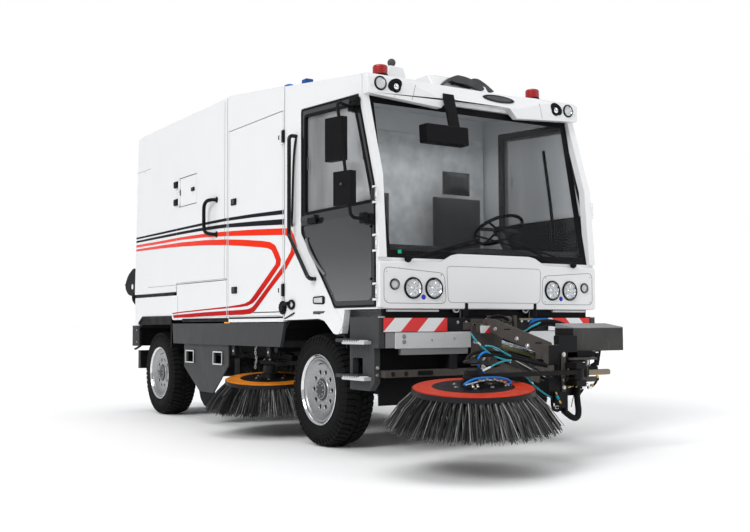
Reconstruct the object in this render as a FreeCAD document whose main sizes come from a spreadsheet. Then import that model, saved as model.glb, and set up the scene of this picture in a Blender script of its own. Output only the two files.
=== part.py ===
import FreeCAD, Part
import math
import os
import Sketcher
from FreeCAD import Placement, Rotation, Vector

# Compact truck street sweeper: cab over the front axle, engine bay behind it, tipping hopper
# at the rear, one long-reach brush ahead of the bumper and one gutter brush on each side.
# The truck faces -Y, its left side is +X, up is +Z, and the ground is at height zero.
# Places along the truck are measured from the cab's front face, and the finished pieces are
# moved by origin_back so that the origin lies under the middle of the whole machine.

os.makedirs("parts", exist_ok=True)
doc = FreeCAD.newDocument("StreetSweeper")
sheet = doc.addObject("Spreadsheet::Sheet", "Sizes")

LENGTHS = {
    # whole machine
    "origin_back": 2006.4, "overrun": 10, "joint_gap": 6, "slip_gap": 0.3, "pin_gap": 0.05,
    "body_half": 1030, "wall": 40, "plate": 12,
    # wheels and axles
    "tyre_radius": 433, "tyre_width": 265, "tyre_shoulder": 45, "rim_seat_radius": 247,
    "rim_well_radius": 225, "track_inset": 162, "front_axle_back": 910, "wheelbase": 3410,
    "disc_inset": 48, "disc_thick": 14, "hub_radius": 68, "hub_face": 22, "hand_hole_radius": 17,
    "hand_hole_ring": 138, "stub_radius": 42, "stub_gap": 0.06, "hub_bore_depth": 120,
    "kingpin_inset": 390, "kingpin_radius": 20, "kingpin_boss": 46, "fork_gap": 0.5,
    "beam_half_height": 48, "beam_half_depth": 48, "fork_plate": 34, "fork_back": 62,
    "axle_tube_radius": 62, "case_radius": 165,
    # frame
    "rail_outer": 420, "rail_inner": 350, "rail_floor": 610, "rail_top": 800, "rail_tail": 640,
    "cross_half": 45, "spring_half": 440, "spring_thick": 45, "hanger_half": 40,
    "jack_pad_half": 42, "jack_pad_deep": 12, "jack_pad_out": 300,
    # cab
    "cab_rear": 1394, "cab_floor": 985, "sole_thick": 65, "front_lift": 1040, "sill": 1400,
    "glass_top": 2595, "brow": 2735, "roof_rear": 2882, "glass_back": 210, "glass_mid": 24,
    "glass_mid_rise": 590, "front_depth": 60, "panel_depth": 26, "panel_nose": 20,
    "panel_round": 60, "glass_inset": 62, "glass_thick": 8, "arch_rise": 566, "arch_foot": 490,
    "arch_drop": 866, "arch_back": 780, "roof_thick": 95, "door_thick": 50, "door_gap": 8,
    "door_slack": 8,
    # cab doors
    "door_foot": 1058, "door_front": 30, "door_lean_front": 36, "lean_drop": 90,
    "door_top_front": 256, "door_top_lift": 2590, "door_rear": 1112, "door_rear_top": 2634,
    "door_rear_knee": 1656, "door_heel_back": 648, "door_heel": 1128, "door_toe_back": 600,
    "window_rise": 400, "window_edge": 60, "hinge_out": 8, "hinge_radius": 14, "hinge_pin": 6,
    "hinge_tall": 90, "hinge_ear": 14, "hinge_step": 3, "hinge_low_rise": 102,
    "hinge_middle_rise": 100, "hinge_high_rise": 440, "handle_rise": 335, "handle_long": 210,
    "handle_tall": 42, "handle_proud": 24,
    # cab roof, lamps and mirrors
    "visor_inset": 12, "visor_proud": 70, "visor_foot": 2545, "visor_rise": 7,
    "visor_end_rise": 42, "visor_face_top": 2712, "notch_half": 300, "notch_rise": 72,
    "notch_slope": 70, "ac_half": 280, "ac_front": 350, "ac_rear": 940, "ac_rise": 140,
    "ac_round": 45, "ac_cover_half": 210, "ac_cover_rise": 20, "beacon_inset": 278,
    "beacon_back": 390, "beacon_radius": 52, "beacon_tall": 75, "beacon_foot_radius": 60,
    "beacon_rise": 23, "lamp_radius": 70, "lamp_proud": 12, "lamp_outer_inset": 282,
    "lamp_inner_inset": 464, "lamp_lift": 1188, "marker_inset": 125, "marker_lift": 1212,
    "marker_radius": 36, "roof_lamp_radius": 45, "roof_lamp_outer_inset": 118,
    "roof_lamp_inner_inset": 244, "roof_lamp_lift": 2665, "mirror_arm_radius": 12,
    "mirror_outset": 190, "mirror_half": 26, "mirror_wide": 160, "mirror_turn_in": 20,
    "mirror_high_top": 2400, "mirror_high_foot": 2088, "mirror_high_back": 166,
    "mirror_low_top": 2000, "mirror_low_foot": 1760, "mirror_low_back": 50, "mirror_arm_back": 46,
    "mirror_arm_lift": 1668, "mirror_top_back": 232, "mirror_top": 2516, "mirror_bend": 40,
    "mirror_root_back": 290, "mirror_root_lift": 2494, "mirror_clamp_rear": 86,
    "nose_mirror_half": 190, "nose_mirror_right": 430, "nose_mirror_top": 2405,
    "nose_mirror_foot": 2270, "nose_mirror_deep": 70, "nose_stem_right": 310,
    "nose_stem_half": 48, "nose_stem_thick": 18, "wiper_inset": 240, "wiper_drop": 18,
    "wiper_tip": 60, "wiper_sweep": 160, "wiper_thick": 12, "wiper_pivot_radius": 22,
    # cab inside
    "seat_half": 260, "seat_front": 560, "seat_depth": 480, "seat_base": 1330, "cushion": 110,
    "seat_back_top": 2120, "seat_back_thick": 120, "seat_inset": 550, "pedestal_half": 190,
    "dash_rear": 420, "dash_rise": 100, "dash_thick": 180, "wheel_grip_radius": 205,
    "wheel_grip_tube": 15, "wheel_grip_rise": 300, "wheel_grip_back": 520, "column_radius": 30,
    "inner_gap": 12,
    # engine bay
    "bay_front": 1412, "bay_rear": 2524, "bay_foot": 985, "bay_roof_front": 2890,
    "bay_roof_rear": 3022, "bay_door_top": 2684, "bay_door_front": 1436, "bay_door_rear": 2496,
    "bay_door_thick": 40, "bay_hinge_low": 1211, "bay_hinge_high": 2471, "engine_inset": 650,
    "engine_front": 1560, "engine_rear": 2380, "engine_top": 1800,
    # hopper
    "hopper_front": 2538, "hopper_tail": 688, "hopper_tail_top": 602, "hopper_top": 3010,
    "hopper_slope_tail": 448, "hopper_slope_drop": 20, "hopper_floor": 1270,
    "hopper_step_ahead": 544, "hopper_step_lift": 1345, "tail_thick": 46, "tail_foot": 1330,
    "tail_hinge_radius": 16, "tail_inset": 100, "tail_hinge_drop": 70, "tail_hinge_in": 20,
    "tail_pin_long": 24, "hatch_front": 3255, "hatch_rear": 3690, "hatch_foot": 2123,
    "hatch_top": 2403, "hatch_thick": 24, "hook_tail": 1075, "hook_top": 1560, "hook_foot": 1240,
    "hook_pin": 30, "hook_lift": 1365, "hook_pin_tail": 810, "hook_thick": 24, "hook_inset": 12,
    "hook_boss": 58, "post_thick": 26, "post_tail": 560, "rest_half": 60, "rest_ahead": 460,
    "rest_tail": 440, "rest_out": 500,
    # lower rear body
    "base_front": 2538, "base_tail": 670, "base_foot": 985, "base_split_ahead": 568,
    "base_low_top": 1232, "base_high_top": 1338, "base_deck_top": 1230, "base_deck_thick": 50,
    "wheel_arch_reach": 415, "wheel_arch_tail": 415, "wheel_arch_top": 1010,
    "wheel_arch_slope": 60,
    # skirts, steps, bumpers
    "skirt_foot": 750, "skirt_top": 948, "skirt_front_top": 1395, "skirt_front_foot": 1465,
    "skirt_ahead": 505, "skirt_thick": 30, "guard_rear": 3600, "guard_front": 2540,
    "guard_thick": 14, "guard_knee": 525, "guard_tip_lift": 300, "guard_tip_rear": 3210,
    "guard_tip_front": 2880, "guard_inset": 8, "guard_hole_half": 95, "guard_hole_foot": 575,
    "guard_hole_top": 680, "guard_hole_one": 3420, "guard_hole_two": 2750,
    "tail_guard_start": 530, "tail_guard_end": 755, "tail_guard_foot": 705, "tail_guard_top": 930,
    "underrun_tail": 755, "underrun_start": 685, "underrun_foot": 455, "underrun_top": 655,
    "underrun_inset": 70, "eye_half": 15, "eye_tall": 50, "eye_long": 85, "eye_bore": 20,
    "board_foot": 877, "board_top": 978, "board_inset": 29, "board_inner": 456,
    "bumper_front": -20, "bumper_deep": 110, "steel_foot": 730, "steel_inset": 150,
    "steel_inner": 240, "beam_foot": 560, "beam_top": 610, "beam_front": -5, "beam_rear": 90,
    "corner_width": 50, "corner_rear": 380, "corner_foot": 466, "corner_top": 985,
    "corner_thick": 12, "corner_knee": 765, "corner_hole_top": 694, "corner_toe": 60,
    "tread_outset": 62, "tread_front": 165, "tread_rear": 480, "tread_thick": 26,
    "tread_high": 805, "tread_low": 552,
    # handrails
    "rail_tube": 16, "rail_outset": 62, "rail_high": 2440, "rail_back": 1206,
    "rail_knee_lift": 1640, "rail_low_back": 960, "rail_low_lift": 1366, "rail_end_back": 885,
    "rail_end_lift": 1282, "grip_back": 2915, "grip_top": 2114, "grip_foot": 1787,
    "grip_outset": 55, "grip_tube": 10,
    # front brush arm
    "arm_middle": -60, "arm_base_half": 170, "link_back": -95, "link_front": -700,
    "high_link_lift": 905, "link_drop": 180, "low_link_lift": 690, "link_pin": 15, "link_eye": 32,
    "high_link_half": 105, "low_link_half": 62, "ear_thick": 18, "column_half": 132,
    "column_bar_half": 38, "column_front": -800, "column_rear": -750, "column_foot": 345,
    "column_top": 850, "box_inner": 60, "box_outer": 540, "box_front": -775, "box_rear": -592,
    "box_foot": 742, "box_top": 904, "swing_pivot_x": -10, "swing_pivot_y": -876, "swing_pin": 22,
    "swing_boss": 45, "swing_foot": 560, "swing_top": 625, "swing_deep": 40, "swing_half": 34,
    "front_brush_x": -870, "front_brush_y": -850, "front_brush_z": 530,
    # brushes
    "brush_disc": 380, "brush_disc_thick": 22, "brush_tip": 556, "brush_drop": 250,
    "brush_root": 370, "brush_wall": 70, "brush_shaft": 24, "brush_shaft_long": 46,
    "motor_radius": 58, "motor_tall": 110, "motor_gap": 8, "side_brush_x": -870,
    "side_brush_y": 1970, "side_brush_z": 466, "side_pivot_x": -470, "side_pivot_y": 2290,
    "side_arm_deep": 34,
    # roller brush
    "roller_back": 3080, "roller_lift": 300, "roller_radius": 255, "roller_half": 640,
    "roller_shaft": 22, "roller_arm_half": 60, "roller_arm_thick": 20,
}

# Angles in degrees, with the lean of each brush towards the front and the outside.
BRUSH_LEAN = 5.5
BRUSH_LEAN_HEADING = 32.6
STEERING_WHEEL_TILT = -30
HAND_HOLES = 10

# The dashboard hood starts this share of the way from the cab's floor to its sill.
HOOD_SHARE = 0.39

SIDES = (("right", -1), ("left", 1))


class Size:
    """A length or a place that knows its value and the sheet expression that drives it."""

    def __init__(self, value, text):
        self.value = value
        self.text = text

    def __add__(self, other):
        return Size(self.value + value_of(other), "(%s + %s)" % (self.text, text_of(other)))

    def __radd__(self, other):
        return Size(value_of(other) + self.value, "(%s + %s)" % (text_of(other), self.text))

    def __sub__(self, other):
        return Size(self.value - value_of(other), "(%s - %s)" % (self.text, text_of(other)))

    def __rsub__(self, other):
        return Size(value_of(other) - self.value, "(%s - %s)" % (text_of(other), self.text))

    def __mul__(self, share):
        return Size(self.value * share, "(%s * %s)" % (self.text, text_of(share)))

    def __rmul__(self, share):
        return self * share

    def __truediv__(self, share):
        return Size(self.value / share, "(%s / %s)" % (self.text, text_of(share)))

    def __neg__(self):
        return Size(-self.value, "(-%s)" % self.text)


def value_of(size):
    return size.value if isinstance(size, Size) else size


def text_of(size):
    return size.text if isinstance(size, Size) else repr(float(size))


class Names:
    """Each driving length of the sheet, by its alias."""


s = Names()
for row, (alias, length) in enumerate(LENGTHS.items(), 1):
    sheet.set("A%d" % row, alias)
    sheet.set("B%d" % row, str(length))
    sheet.setAlias("B%d" % row, alias)
    setattr(s, alias, Size(float(length), "Sizes." + alias))
doc.recompute()

# Places that follow the cab's width, the rear axle, the window sill and the brow.
rear_axle_back = s.front_axle_back + s.wheelbase
s.glass_half = s.body_half - s.glass_inset
s.visor_half = s.body_half - s.visor_inset
s.track_half = s.body_half - s.track_inset
s.kingpin_half = s.body_half - s.kingpin_inset
s.lamp_outer = s.body_half - s.lamp_outer_inset
s.lamp_inner = s.body_half - s.lamp_inner_inset
s.marker_half = s.body_half - s.marker_inset
s.roof_lamp_outer = s.body_half - s.roof_lamp_outer_inset
s.roof_lamp_inner = s.body_half - s.roof_lamp_inner_inset
s.beacon_half = s.body_half - s.beacon_inset
s.wiper_pivot = s.body_half - s.wiper_inset
s.underrun_half = s.body_half - s.underrun_inset
s.tail_half = s.body_half - s.tail_inset
s.board_outer = s.body_half - s.board_inset
s.steel_outer = s.body_half - s.steel_inset
s.corner_inner = s.body_half - s.corner_width
s.tread_out = s.body_half + s.tread_outset
s.rail_out = s.body_half + s.rail_outset
s.grip_out = s.body_half + s.grip_outset
s.seat_middle = s.body_half - s.seat_inset
s.engine_half = s.body_half - s.engine_inset
s.rail_rear = rear_axle_back + s.rail_tail
s.base_rear = rear_axle_back + s.base_tail
s.wheel_arch_front = rear_axle_back - s.wheel_arch_reach
s.wheel_arch_rear = rear_axle_back + s.wheel_arch_tail
s.tail_guard_front = rear_axle_back + s.tail_guard_start
s.tail_guard_rear = rear_axle_back + s.tail_guard_end
s.underrun_rear = rear_axle_back + s.underrun_tail
s.underrun_front = rear_axle_back + s.underrun_start
s.hopper_rear = rear_axle_back + s.hopper_tail
s.hopper_rear_top = rear_axle_back + s.hopper_tail_top
s.hopper_slope = rear_axle_back + s.hopper_slope_tail
s.hook_rear = rear_axle_back + s.hook_tail
s.hook_back = rear_axle_back + s.hook_pin_tail
s.post_foot_front = rear_axle_back + s.post_tail
s.rest_two = rear_axle_back + s.rest_tail
s.rest_one = rear_axle_back - s.rest_ahead
s.hopper_step_back = rear_axle_back - s.hopper_step_ahead
s.base_split = rear_axle_back - s.base_split_ahead
s.skirt_rear = rear_axle_back - s.skirt_ahead
s.dash_top = s.sill + s.dash_rise
s.wheel_grip_lift = s.sill + s.wheel_grip_rise
s.wiper_lift = s.sill - s.wiper_drop
s.wiper_rise = s.sill + s.wiper_sweep
s.glass_mid_lift = s.sill + s.glass_mid_rise
s.door_lean_lift = s.glass_mid_lift - s.lean_drop
s.window_foot = s.sill + s.window_rise
s.handle_lift = s.sill + s.handle_rise
s.hinge_low = s.door_foot + s.hinge_low_rise
s.hinge_middle = s.sill + s.hinge_middle_rise
s.hinge_high = s.sill + s.hinge_high_rise
s.ac_top = s.brow + s.ac_rise
s.visor_top = s.brow + s.visor_rise
s.beacon_foot = s.brow + s.beacon_rise

PLANES = {
    "side": Rotation(Vector(0, 1, 0), Vector(0, 0, 1), Vector(1, 0, 0), "ZXY"),
    "front": Rotation(Vector(1, 0, 0), Vector(0, 0, 1), Vector(0, -1, 0), "ZXY"),
    "top": Rotation(),
}
NORMALS = {"side": Vector(1, 0, 0), "front": Vector(0, 1, 0), "top": Vector(0, 0, 1)}
LIES_ALONG = {
    "x": Rotation(Vector(0, 1, 0), 90),
    "y": Rotation(Vector(1, 0, 0), -90),
    "z": Rotation(),
}
nodes = []


def drive(thing, path, size):
    """Bind one property of a document object to its sheet expression."""
    thing.setExpression(path, text_of(size))


def put(thing, x=0, y=0, z=0, turn=None):
    """Set an object's turn and bind the three parts of its place."""
    place = Placement(Vector(value_of(x), value_of(y), value_of(z)), turn or Rotation())
    thing.Placement = place
    for letter, size in zip("xyz", (x, y, z)):
        if isinstance(size, Size):
            drive(thing, "Placement.Base." + letter, size)


def block(name, x, y, z):
    """A box between two places on each axis."""
    thing = doc.addObject("Part::Box", name)
    drive(thing, "Length", x[1] - x[0])
    drive(thing, "Width", y[1] - y[0])
    drive(thing, "Height", z[1] - z[0])
    put(thing, x[0], y[0], z[0])
    return thing


def rod(name, along, radius, span, at):
    """A round bar along an axis, from span[0] to span[1], at a place on the other two axes."""
    thing = doc.addObject("Part::Cylinder", name)
    drive(thing, "Radius", radius)
    drive(thing, "Height", span[1] - span[0])
    start = {"x": (span[0], at[0], at[1]), "y": (at[0], span[0], at[1]),
             "z": (at[0], at[1], span[0])}[along]
    put(thing, *start, turn=LIES_ALONG[along])
    return thing


def sketch(name, corners, plane):
    """A closed outline of straight edges, each corner held to the sheet."""
    thing = doc.addObject("Sketcher::SketchObject", name)
    places = [Vector(value_of(u), value_of(v), 0) for u, v in corners]
    count = len(corners)
    lines = [Part.LineSegment(places[k], places[(k + 1) % count]) for k in range(count)]
    thing.addGeometry(lines, False)
    for k in range(count):
        thing.addConstraint(Sketcher.Constraint("Coincident", k, 2, (k + 1) % count, 1))
    for k, corner in enumerate(corners):
        for kind, size in zip(("DistanceX", "DistanceY"), corner):
            held = Sketcher.Constraint(kind, -1, 1, k, 1, float(value_of(size)))
            index = thing.addConstraint(held)
            drive(thing, "Constraints[%d]" % index, size)
    thing.Placement = Placement(Vector(), PLANES[plane])
    return thing


def outline(name, plane, corners, span):
    """An outline drawn in the side, front or top plane, made solid from span[0] to span[1]."""
    drawn = sketch(name + "_outline", corners, plane)
    axis = {"side": "x", "front": "y", "top": "z"}[plane]
    drive(drawn, "Placement.Base." + axis, span[0])
    thing = doc.addObject("Part::Extrusion", name)
    thing.Base = drawn
    thing.DirMode = "Custom"
    thing.Dir = NORMALS[plane]
    thing.Solid = True
    drive(thing, "LengthFwd", span[1] - span[0])
    return thing


def turned(name, corners, along, at, lean=None):
    """An outline of (along the axis, radius) corners turned round an axis."""
    drawn = sketch(name + "_profile", corners, "front")
    thing = doc.addObject("Part::Revolution", name)
    thing.Source = drawn
    thing.Axis = Vector(1, 0, 0)
    thing.Base = Vector(0, 0, 0)
    thing.Angle = 360
    thing.Solid = True
    to_axis = {"x": Rotation(), "y": Rotation(Vector(0, 0, 1), 90),
               "z": Rotation(Vector(0, 1, 0), -90)}[along]
    put(thing, *at, turn=(lean or Rotation()) * to_axis)
    return thing


def tube(name, points, radius, bend):
    """A round tube along straight runs, with an arc at each inner point."""
    places = [Vector(*[value_of(part) for part in point]) for point in points]
    edges = []
    start = places[0]
    for before, corner, after in zip(places, places[1:], places[2:]):
        into = (corner - before).normalize()
        out = (after - corner).normalize()
        half_turn = into.getAngle(out) / 2
        setback = value_of(bend) * math.tan(half_turn)
        first = corner - into * setback
        last = corner + out * setback
        towards = (out - into).normalize()
        middle = corner + towards * value_of(bend) * (1 / math.cos(half_turn) - 1)
        edges.append(Part.LineSegment(start, first).toShape())
        edges.append(Part.Arc(first, middle, last).toShape())
        start = last
    edges.append(Part.LineSegment(start, places[-1]).toShape())
    path = Part.Wire(edges)
    ring = Part.Wire(Part.makeCircle(value_of(radius), places[0], places[1] - places[0]))
    thing = doc.addObject("Part::Feature", name)
    thing.Shape = path.makePipeShell([ring], True, False)
    thing.Placement = Placement()
    return thing


def fuse(name, *pieces):
    thing = doc.addObject("Part::MultiFuse", name)
    thing.Shapes = list(pieces)
    thing.Refine = True
    return thing


def cut(name, base, *tools):
    thing = doc.addObject("Part::Cut", name)
    thing.Base = base
    thing.Tool = tools[0] if len(tools) == 1 else fuse(name + "_tools", *tools)
    thing.Refine = True
    return thing


def mirrored(name, source):
    """The same piece on the other side of the truck's middle plane."""
    thing = doc.addObject("Part::Mirroring", name)
    thing.Source = source
    thing.Base = Vector(0, 0, 0)
    thing.Normal = Vector(1, 0, 0)
    return thing


def both(name, source):
    """A piece and its mirror image."""
    return [source, mirrored(name + "_left", source)]


def node(label, *pieces):
    """Close a sub-part: its solids in one compound with a label and the machine's offset."""
    thing = doc.addObject("Part::Compound", "node_" + label)
    thing.Links = list(pieces)
    thing.Label = label
    put(thing, 0, -s.origin_back, 0)
    nodes.append(thing)
    return thing


# Places that several pieces share
body_inner = s.body_half - s.wall
bumper_rear = s.bumper_front + s.bumper_deep
right_wall = (-s.body_half, -body_inner)
rail_middle = (s.rail_outer + s.rail_inner) / 2
cab_sole = s.front_lift + s.sole_thick
cab_hinge_lifts = (s.hinge_low, s.hinge_middle, s.hinge_high)
bay_hinge_lifts = (s.bay_hinge_low, s.bay_hinge_high)
hatch_hinge_lifts = (s.hatch_foot + s.hinge_tall * 0.7, s.hatch_top - s.hinge_tall * 0.7)
windscreen_points = ((-s.panel_nose, s.sill), (s.glass_mid, s.glass_mid_lift),
                     (s.glass_back, s.glass_top))


def make_wheel(label, side, back):
    """One tyre and one rim; side is -1 on the right and 1 on the left."""
    half = s.tyre_width / 2
    shoulder = s.tyre_radius - s.tyre_shoulder
    tyre = [
        (-half * 0.86, s.rim_seat_radius), (-half, s.rim_seat_radius + s.tyre_shoulder),
        (-half, shoulder), (-half * 0.8, s.tyre_radius), (half * 0.8, s.tyre_radius),
        (half, shoulder), (half, s.rim_seat_radius + s.tyre_shoulder),
        (half * 0.86, s.rim_seat_radius),
    ]
    centre = (s.track_half * side, back, s.tyre_radius)
    node("tyre_" + label, turned("tyre_%s_solid" % label, tyre, "x", centre))
    seat = s.rim_seat_radius
    thick = s.disc_thick
    edge = half * 0.86
    face = half - s.disc_inset
    bore = s.stub_radius + s.stub_gap
    deep = face - s.hub_bore_depth
    barrel = [
        (-edge, seat), (-edge, seat - thick), (-edge * 0.6, s.rim_well_radius - thick),
        (face - thick, s.rim_well_radius - thick), (face - thick, s.hub_radius * 1.5),
        (deep, s.hub_radius * 1.5), (deep, bore), (face - s.hub_face, bore),
        (face - s.hub_face, s.stub_radius / 4), (face + s.hub_face, s.stub_radius / 4),
        (face + s.hub_face, s.hub_radius), (face, s.hub_radius * 1.35),
        (face, s.hand_hole_ring + s.hand_hole_radius * 2), (edge - thick, seat - thick * 2),
        (edge, seat - thick), (edge, seat),
    ]
    outward = [(u * side, v) for u, v in barrel]
    rim = turned("rim_%s_solid" % label, outward, "x", centre)
    holes = []
    for k in range(HAND_HOLES):
        angle = 2 * math.pi * k / HAND_HOLES
        at = (back + s.hand_hole_ring * math.cos(angle),
              s.tyre_radius + s.hand_hole_ring * math.sin(angle))
        reach = (face - thick - s.overrun, face + s.overrun)
        ends = sorted((s.track_half * side + end * side for end in reach), key=value_of)
        holes.append(rod("hand_hole_%s_%d" % (label, k), "x", s.hand_hole_radius, ends, at))
    node("rim_" + label, cut("rim_%s_drilled" % label, rim, *holes))


def make_knuckle(label, side):
    """The fork, kingpin and stub axle that carry a front wheel."""
    back = s.front_axle_back
    reach = s.beam_half_height + s.fork_gap
    pin_x = s.kingpin_half * side
    web_inner = s.kingpin_half + s.fork_back
    web = sorted((web_inner * side, (web_inner + s.fork_plate) * side), key=value_of)
    ear = sorted(((s.kingpin_half - s.kingpin_boss * 0.7) * side, web_inner * side),
                 key=value_of)
    deep = (back - s.beam_half_depth, back + s.beam_half_depth)
    low = s.tyre_radius - reach - s.fork_plate
    high = s.tyre_radius + reach + s.fork_plate
    stub_end = s.track_half + s.tyre_width / 2 - s.disc_inset - s.hub_face - s.joint_gap
    stub = sorted((web_inner * side, stub_end * side), key=value_of)
    pieces = [
        block("web_" + label, web, deep, (low, high)),
        block("lower_ear_" + label, ear, deep, (low, low + s.fork_plate)),
        block("upper_ear_" + label, ear, deep, (high - s.fork_plate, high)),
        rod("kingpin_" + label, "z", s.kingpin_radius, (low, high), (pin_x, back)),
        rod("stub_" + label, "x", s.stub_radius, stub, (back, s.tyre_radius)),
    ]
    node("knuckle_" + label, fuse("knuckle_%s_solid" % label, *pieces))


def make_axles():
    """The front beam with its kingpin eyes, the driven rear axle and the leaf springs."""
    back = s.front_axle_back
    low = s.tyre_radius - s.beam_half_height
    high = s.tyre_radius + s.beam_half_height
    beam = block("front_beam", (-s.kingpin_half, s.kingpin_half),
                 (back - s.beam_half_depth, back + s.beam_half_depth), (low, high))
    eyes = [rod("kingpin_eye_%d" % k, "z", s.kingpin_boss, (low, high), (x, back))
            for k, x in enumerate((-s.kingpin_half, s.kingpin_half))]
    bores = [rod("kingpin_bore_%d" % k, "z", s.kingpin_radius + s.pin_gap,
                 (low - s.overrun, high + s.overrun), (x, back))
             for k, x in enumerate((-s.kingpin_half, s.kingpin_half))]
    pads = [block("jack_pad_%d" % k, (x - s.jack_pad_half, x + s.jack_pad_half),
                  (back - s.jack_pad_half, back + s.jack_pad_half),
                  (low - s.jack_pad_deep, low))
            for k, x in enumerate((-s.jack_pad_out, s.jack_pad_out))]
    front = cut("front_beam_bored", fuse("front_beam_eyes", beam, *(eyes + pads)), *bores)
    springs = []
    half = (s.rail_outer - s.rail_inner) / 2
    for name, axle in (("front", back), ("rear", rear_axle_back)):
        for end, x in (("right", -rail_middle), ("left", rail_middle)):
            leaf = block("spring_%s_%s" % (name, end), (x - half, x + half),
                         (axle - s.spring_half, axle + s.spring_half),
                         (high, high + s.spring_thick))
            hangers = [block("spring_hanger_%s_%s_%d" % (name, end, k), (x - half, x + half),
                             (axle + place - s.hanger_half, axle + place + s.hanger_half),
                             (high + s.spring_thick, s.rail_floor))
                       for k, place in enumerate((-s.spring_half + s.hanger_half,
                                                  s.spring_half - s.hanger_half))]
            springs.append((leaf, *hangers))
    spindle_end = s.track_half + s.tyre_width / 2 - s.disc_inset - s.hub_face - s.joint_gap
    tube_end = s.track_half + s.tyre_width / 2 - s.disc_inset - s.hub_bore_depth - s.joint_gap
    casing = [
        (-spindle_end, 0), (-spindle_end, s.stub_radius), (-tube_end, s.stub_radius),
        (-tube_end, s.axle_tube_radius), (-s.case_radius, s.axle_tube_radius),
        (-s.case_radius * 0.6, s.case_radius), (s.case_radius * 0.6, s.case_radius),
        (s.case_radius, s.axle_tube_radius), (tube_end, s.axle_tube_radius),
        (tube_end, s.stub_radius), (spindle_end, s.stub_radius), (spindle_end, 0),
    ]
    housing = turned("rear_housing", casing, "x", (0, rear_axle_back, s.tyre_radius))
    pads = [block("rear_pad_%d" % k, (x - s.hanger_half, x + s.hanger_half),
                  (rear_axle_back - s.hanger_half, rear_axle_back + s.hanger_half),
                  (s.tyre_radius, high))
            for k, x in enumerate((-rail_middle, rail_middle))]
    front_axle = fuse("front_axle", front, *(springs[0] + springs[1]))
    rear_axle = fuse("rear_axle", housing, *(tuple(pads) + springs[2] + springs[3]))
    node("axles", front_axle, rear_axle)


def make_frame():
    """Two rails, cross members and the brackets that carry the bodies."""
    rails = [block("rail_%d" % k, ends, (bumper_rear, s.rail_rear), (s.rail_floor, s.rail_top))
             for k, ends in enumerate(((s.rail_inner, s.rail_outer),
                                       (-s.rail_outer, -s.rail_inner)))]
    stations = (bumper_rear + s.cross_half, s.arch_back + s.sole_thick,
                s.bay_front + s.cross_half, s.bay_rear, s.base_split,
                s.rail_rear - s.cross_half)
    crosses = [block("cross_%d" % k, (-s.rail_inner, s.rail_inner),
                     (back - s.cross_half, back + s.cross_half),
                     (s.rail_floor + s.wall, s.rail_top - s.wall))
               for k, back in enumerate(stations)]
    deck_foot = s.base_deck_top - s.base_deck_thick
    mounts = [block("frame_mount_%d" % k, (-half, half),
                    (back - s.cross_half, back + s.cross_half), (s.rail_top, top))
              for k, (half, back, top) in enumerate((
                  (body_inner, s.bay_front + s.cross_half * 3, s.bay_foot),
                  (body_inner, s.bay_rear - s.cross_half, s.bay_foot),
                  (s.rail_outer, s.front_axle_back, s.cab_floor),
                  (s.rail_outer, s.cab_rear - s.cross_half * 2, s.cab_floor),
                  (s.rail_outer, s.base_front + s.cross_half * 2, deck_foot),
                  (s.rail_outer, s.base_rear - s.cross_half * 2, deck_foot)))]
    node("frame_rails", *rails)
    node("frame_crosses", *crosses)
    node("frame_mounts", *mounts)


def cab_outline(name, span):
    """The cab's outer side outline, with the windscreen line leaning back to the roof."""
    nose, middle, brow = windscreen_points
    step = s.panel_depth - s.panel_nose
    return outline(name, "side", [
        (s.cab_rear, s.cab_floor), (s.arch_back, s.cab_floor), (s.arch_rise, s.arch_drop),
        (s.arch_foot, s.arch_drop), (s.arch_foot - s.wall, s.front_lift), (step, s.front_lift),
        (step, s.sill), (nose[0], s.sill), middle, brow, (brow[0], s.brow),
        (s.cab_rear, s.roof_rear)], span)


def room_outline(name, span):
    """The hollow inside of the cab, one front wall, rear wall, floor and roof thick inwards."""
    nose, middle, brow = windscreen_points
    step = s.panel_depth - s.panel_nose + s.front_depth
    deep = s.front_depth
    return outline(name, "side", [
        (s.cab_rear - deep, cab_sole), (step, cab_sole), (step, s.sill),
        (nose[0] + deep, s.sill), (middle[0] + deep, middle[1]),
        (brow[0] + deep, brow[1]), (brow[0] + deep, s.brow - s.roof_thick),
        (s.cab_rear - deep, s.roof_rear - s.roof_thick)], span)


def door_outline(grow):
    """The cab door's corners; grow widens it to the opening that it closes."""
    return [
        (s.door_front - grow, s.door_foot - grow), (s.door_front - grow, s.sill),
        (s.door_lean_front - grow, s.door_lean_lift),
        (s.door_top_front - grow, s.door_top_lift + grow),
        (s.door_rear + grow, s.door_rear_top + grow),
        (s.door_rear + grow, s.door_rear_knee - grow),
        (s.door_heel_back + grow, s.door_heel - grow),
        (s.door_toe_back + grow, s.door_foot - grow),
    ]


def window_outline():
    """The upper window of the cab door."""
    edge = s.window_edge
    return [
        (s.door_lean_front + edge * 0.6, s.window_foot),
        (s.door_lean_front + edge, s.door_lean_lift),
        (s.door_top_front + edge * 0.8, s.door_top_lift - edge),
        (s.door_rear - edge, s.door_rear_top - edge), (s.door_rear - edge, s.window_foot),
    ]


def on_side(side, inner, outer):
    """A span across the truck, low end first; side is -1 on the right and 1 on the left."""
    return (inner, outer) if side > 0 else (-outer, -inner)


def hinge_axis(side, edge, away):
    """The place of a hinge's axis: edge is the panel's edge, away its side of the edge."""
    return (s.body_half + s.hinge_out) * side, edge + s.hinge_radius * away


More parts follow.
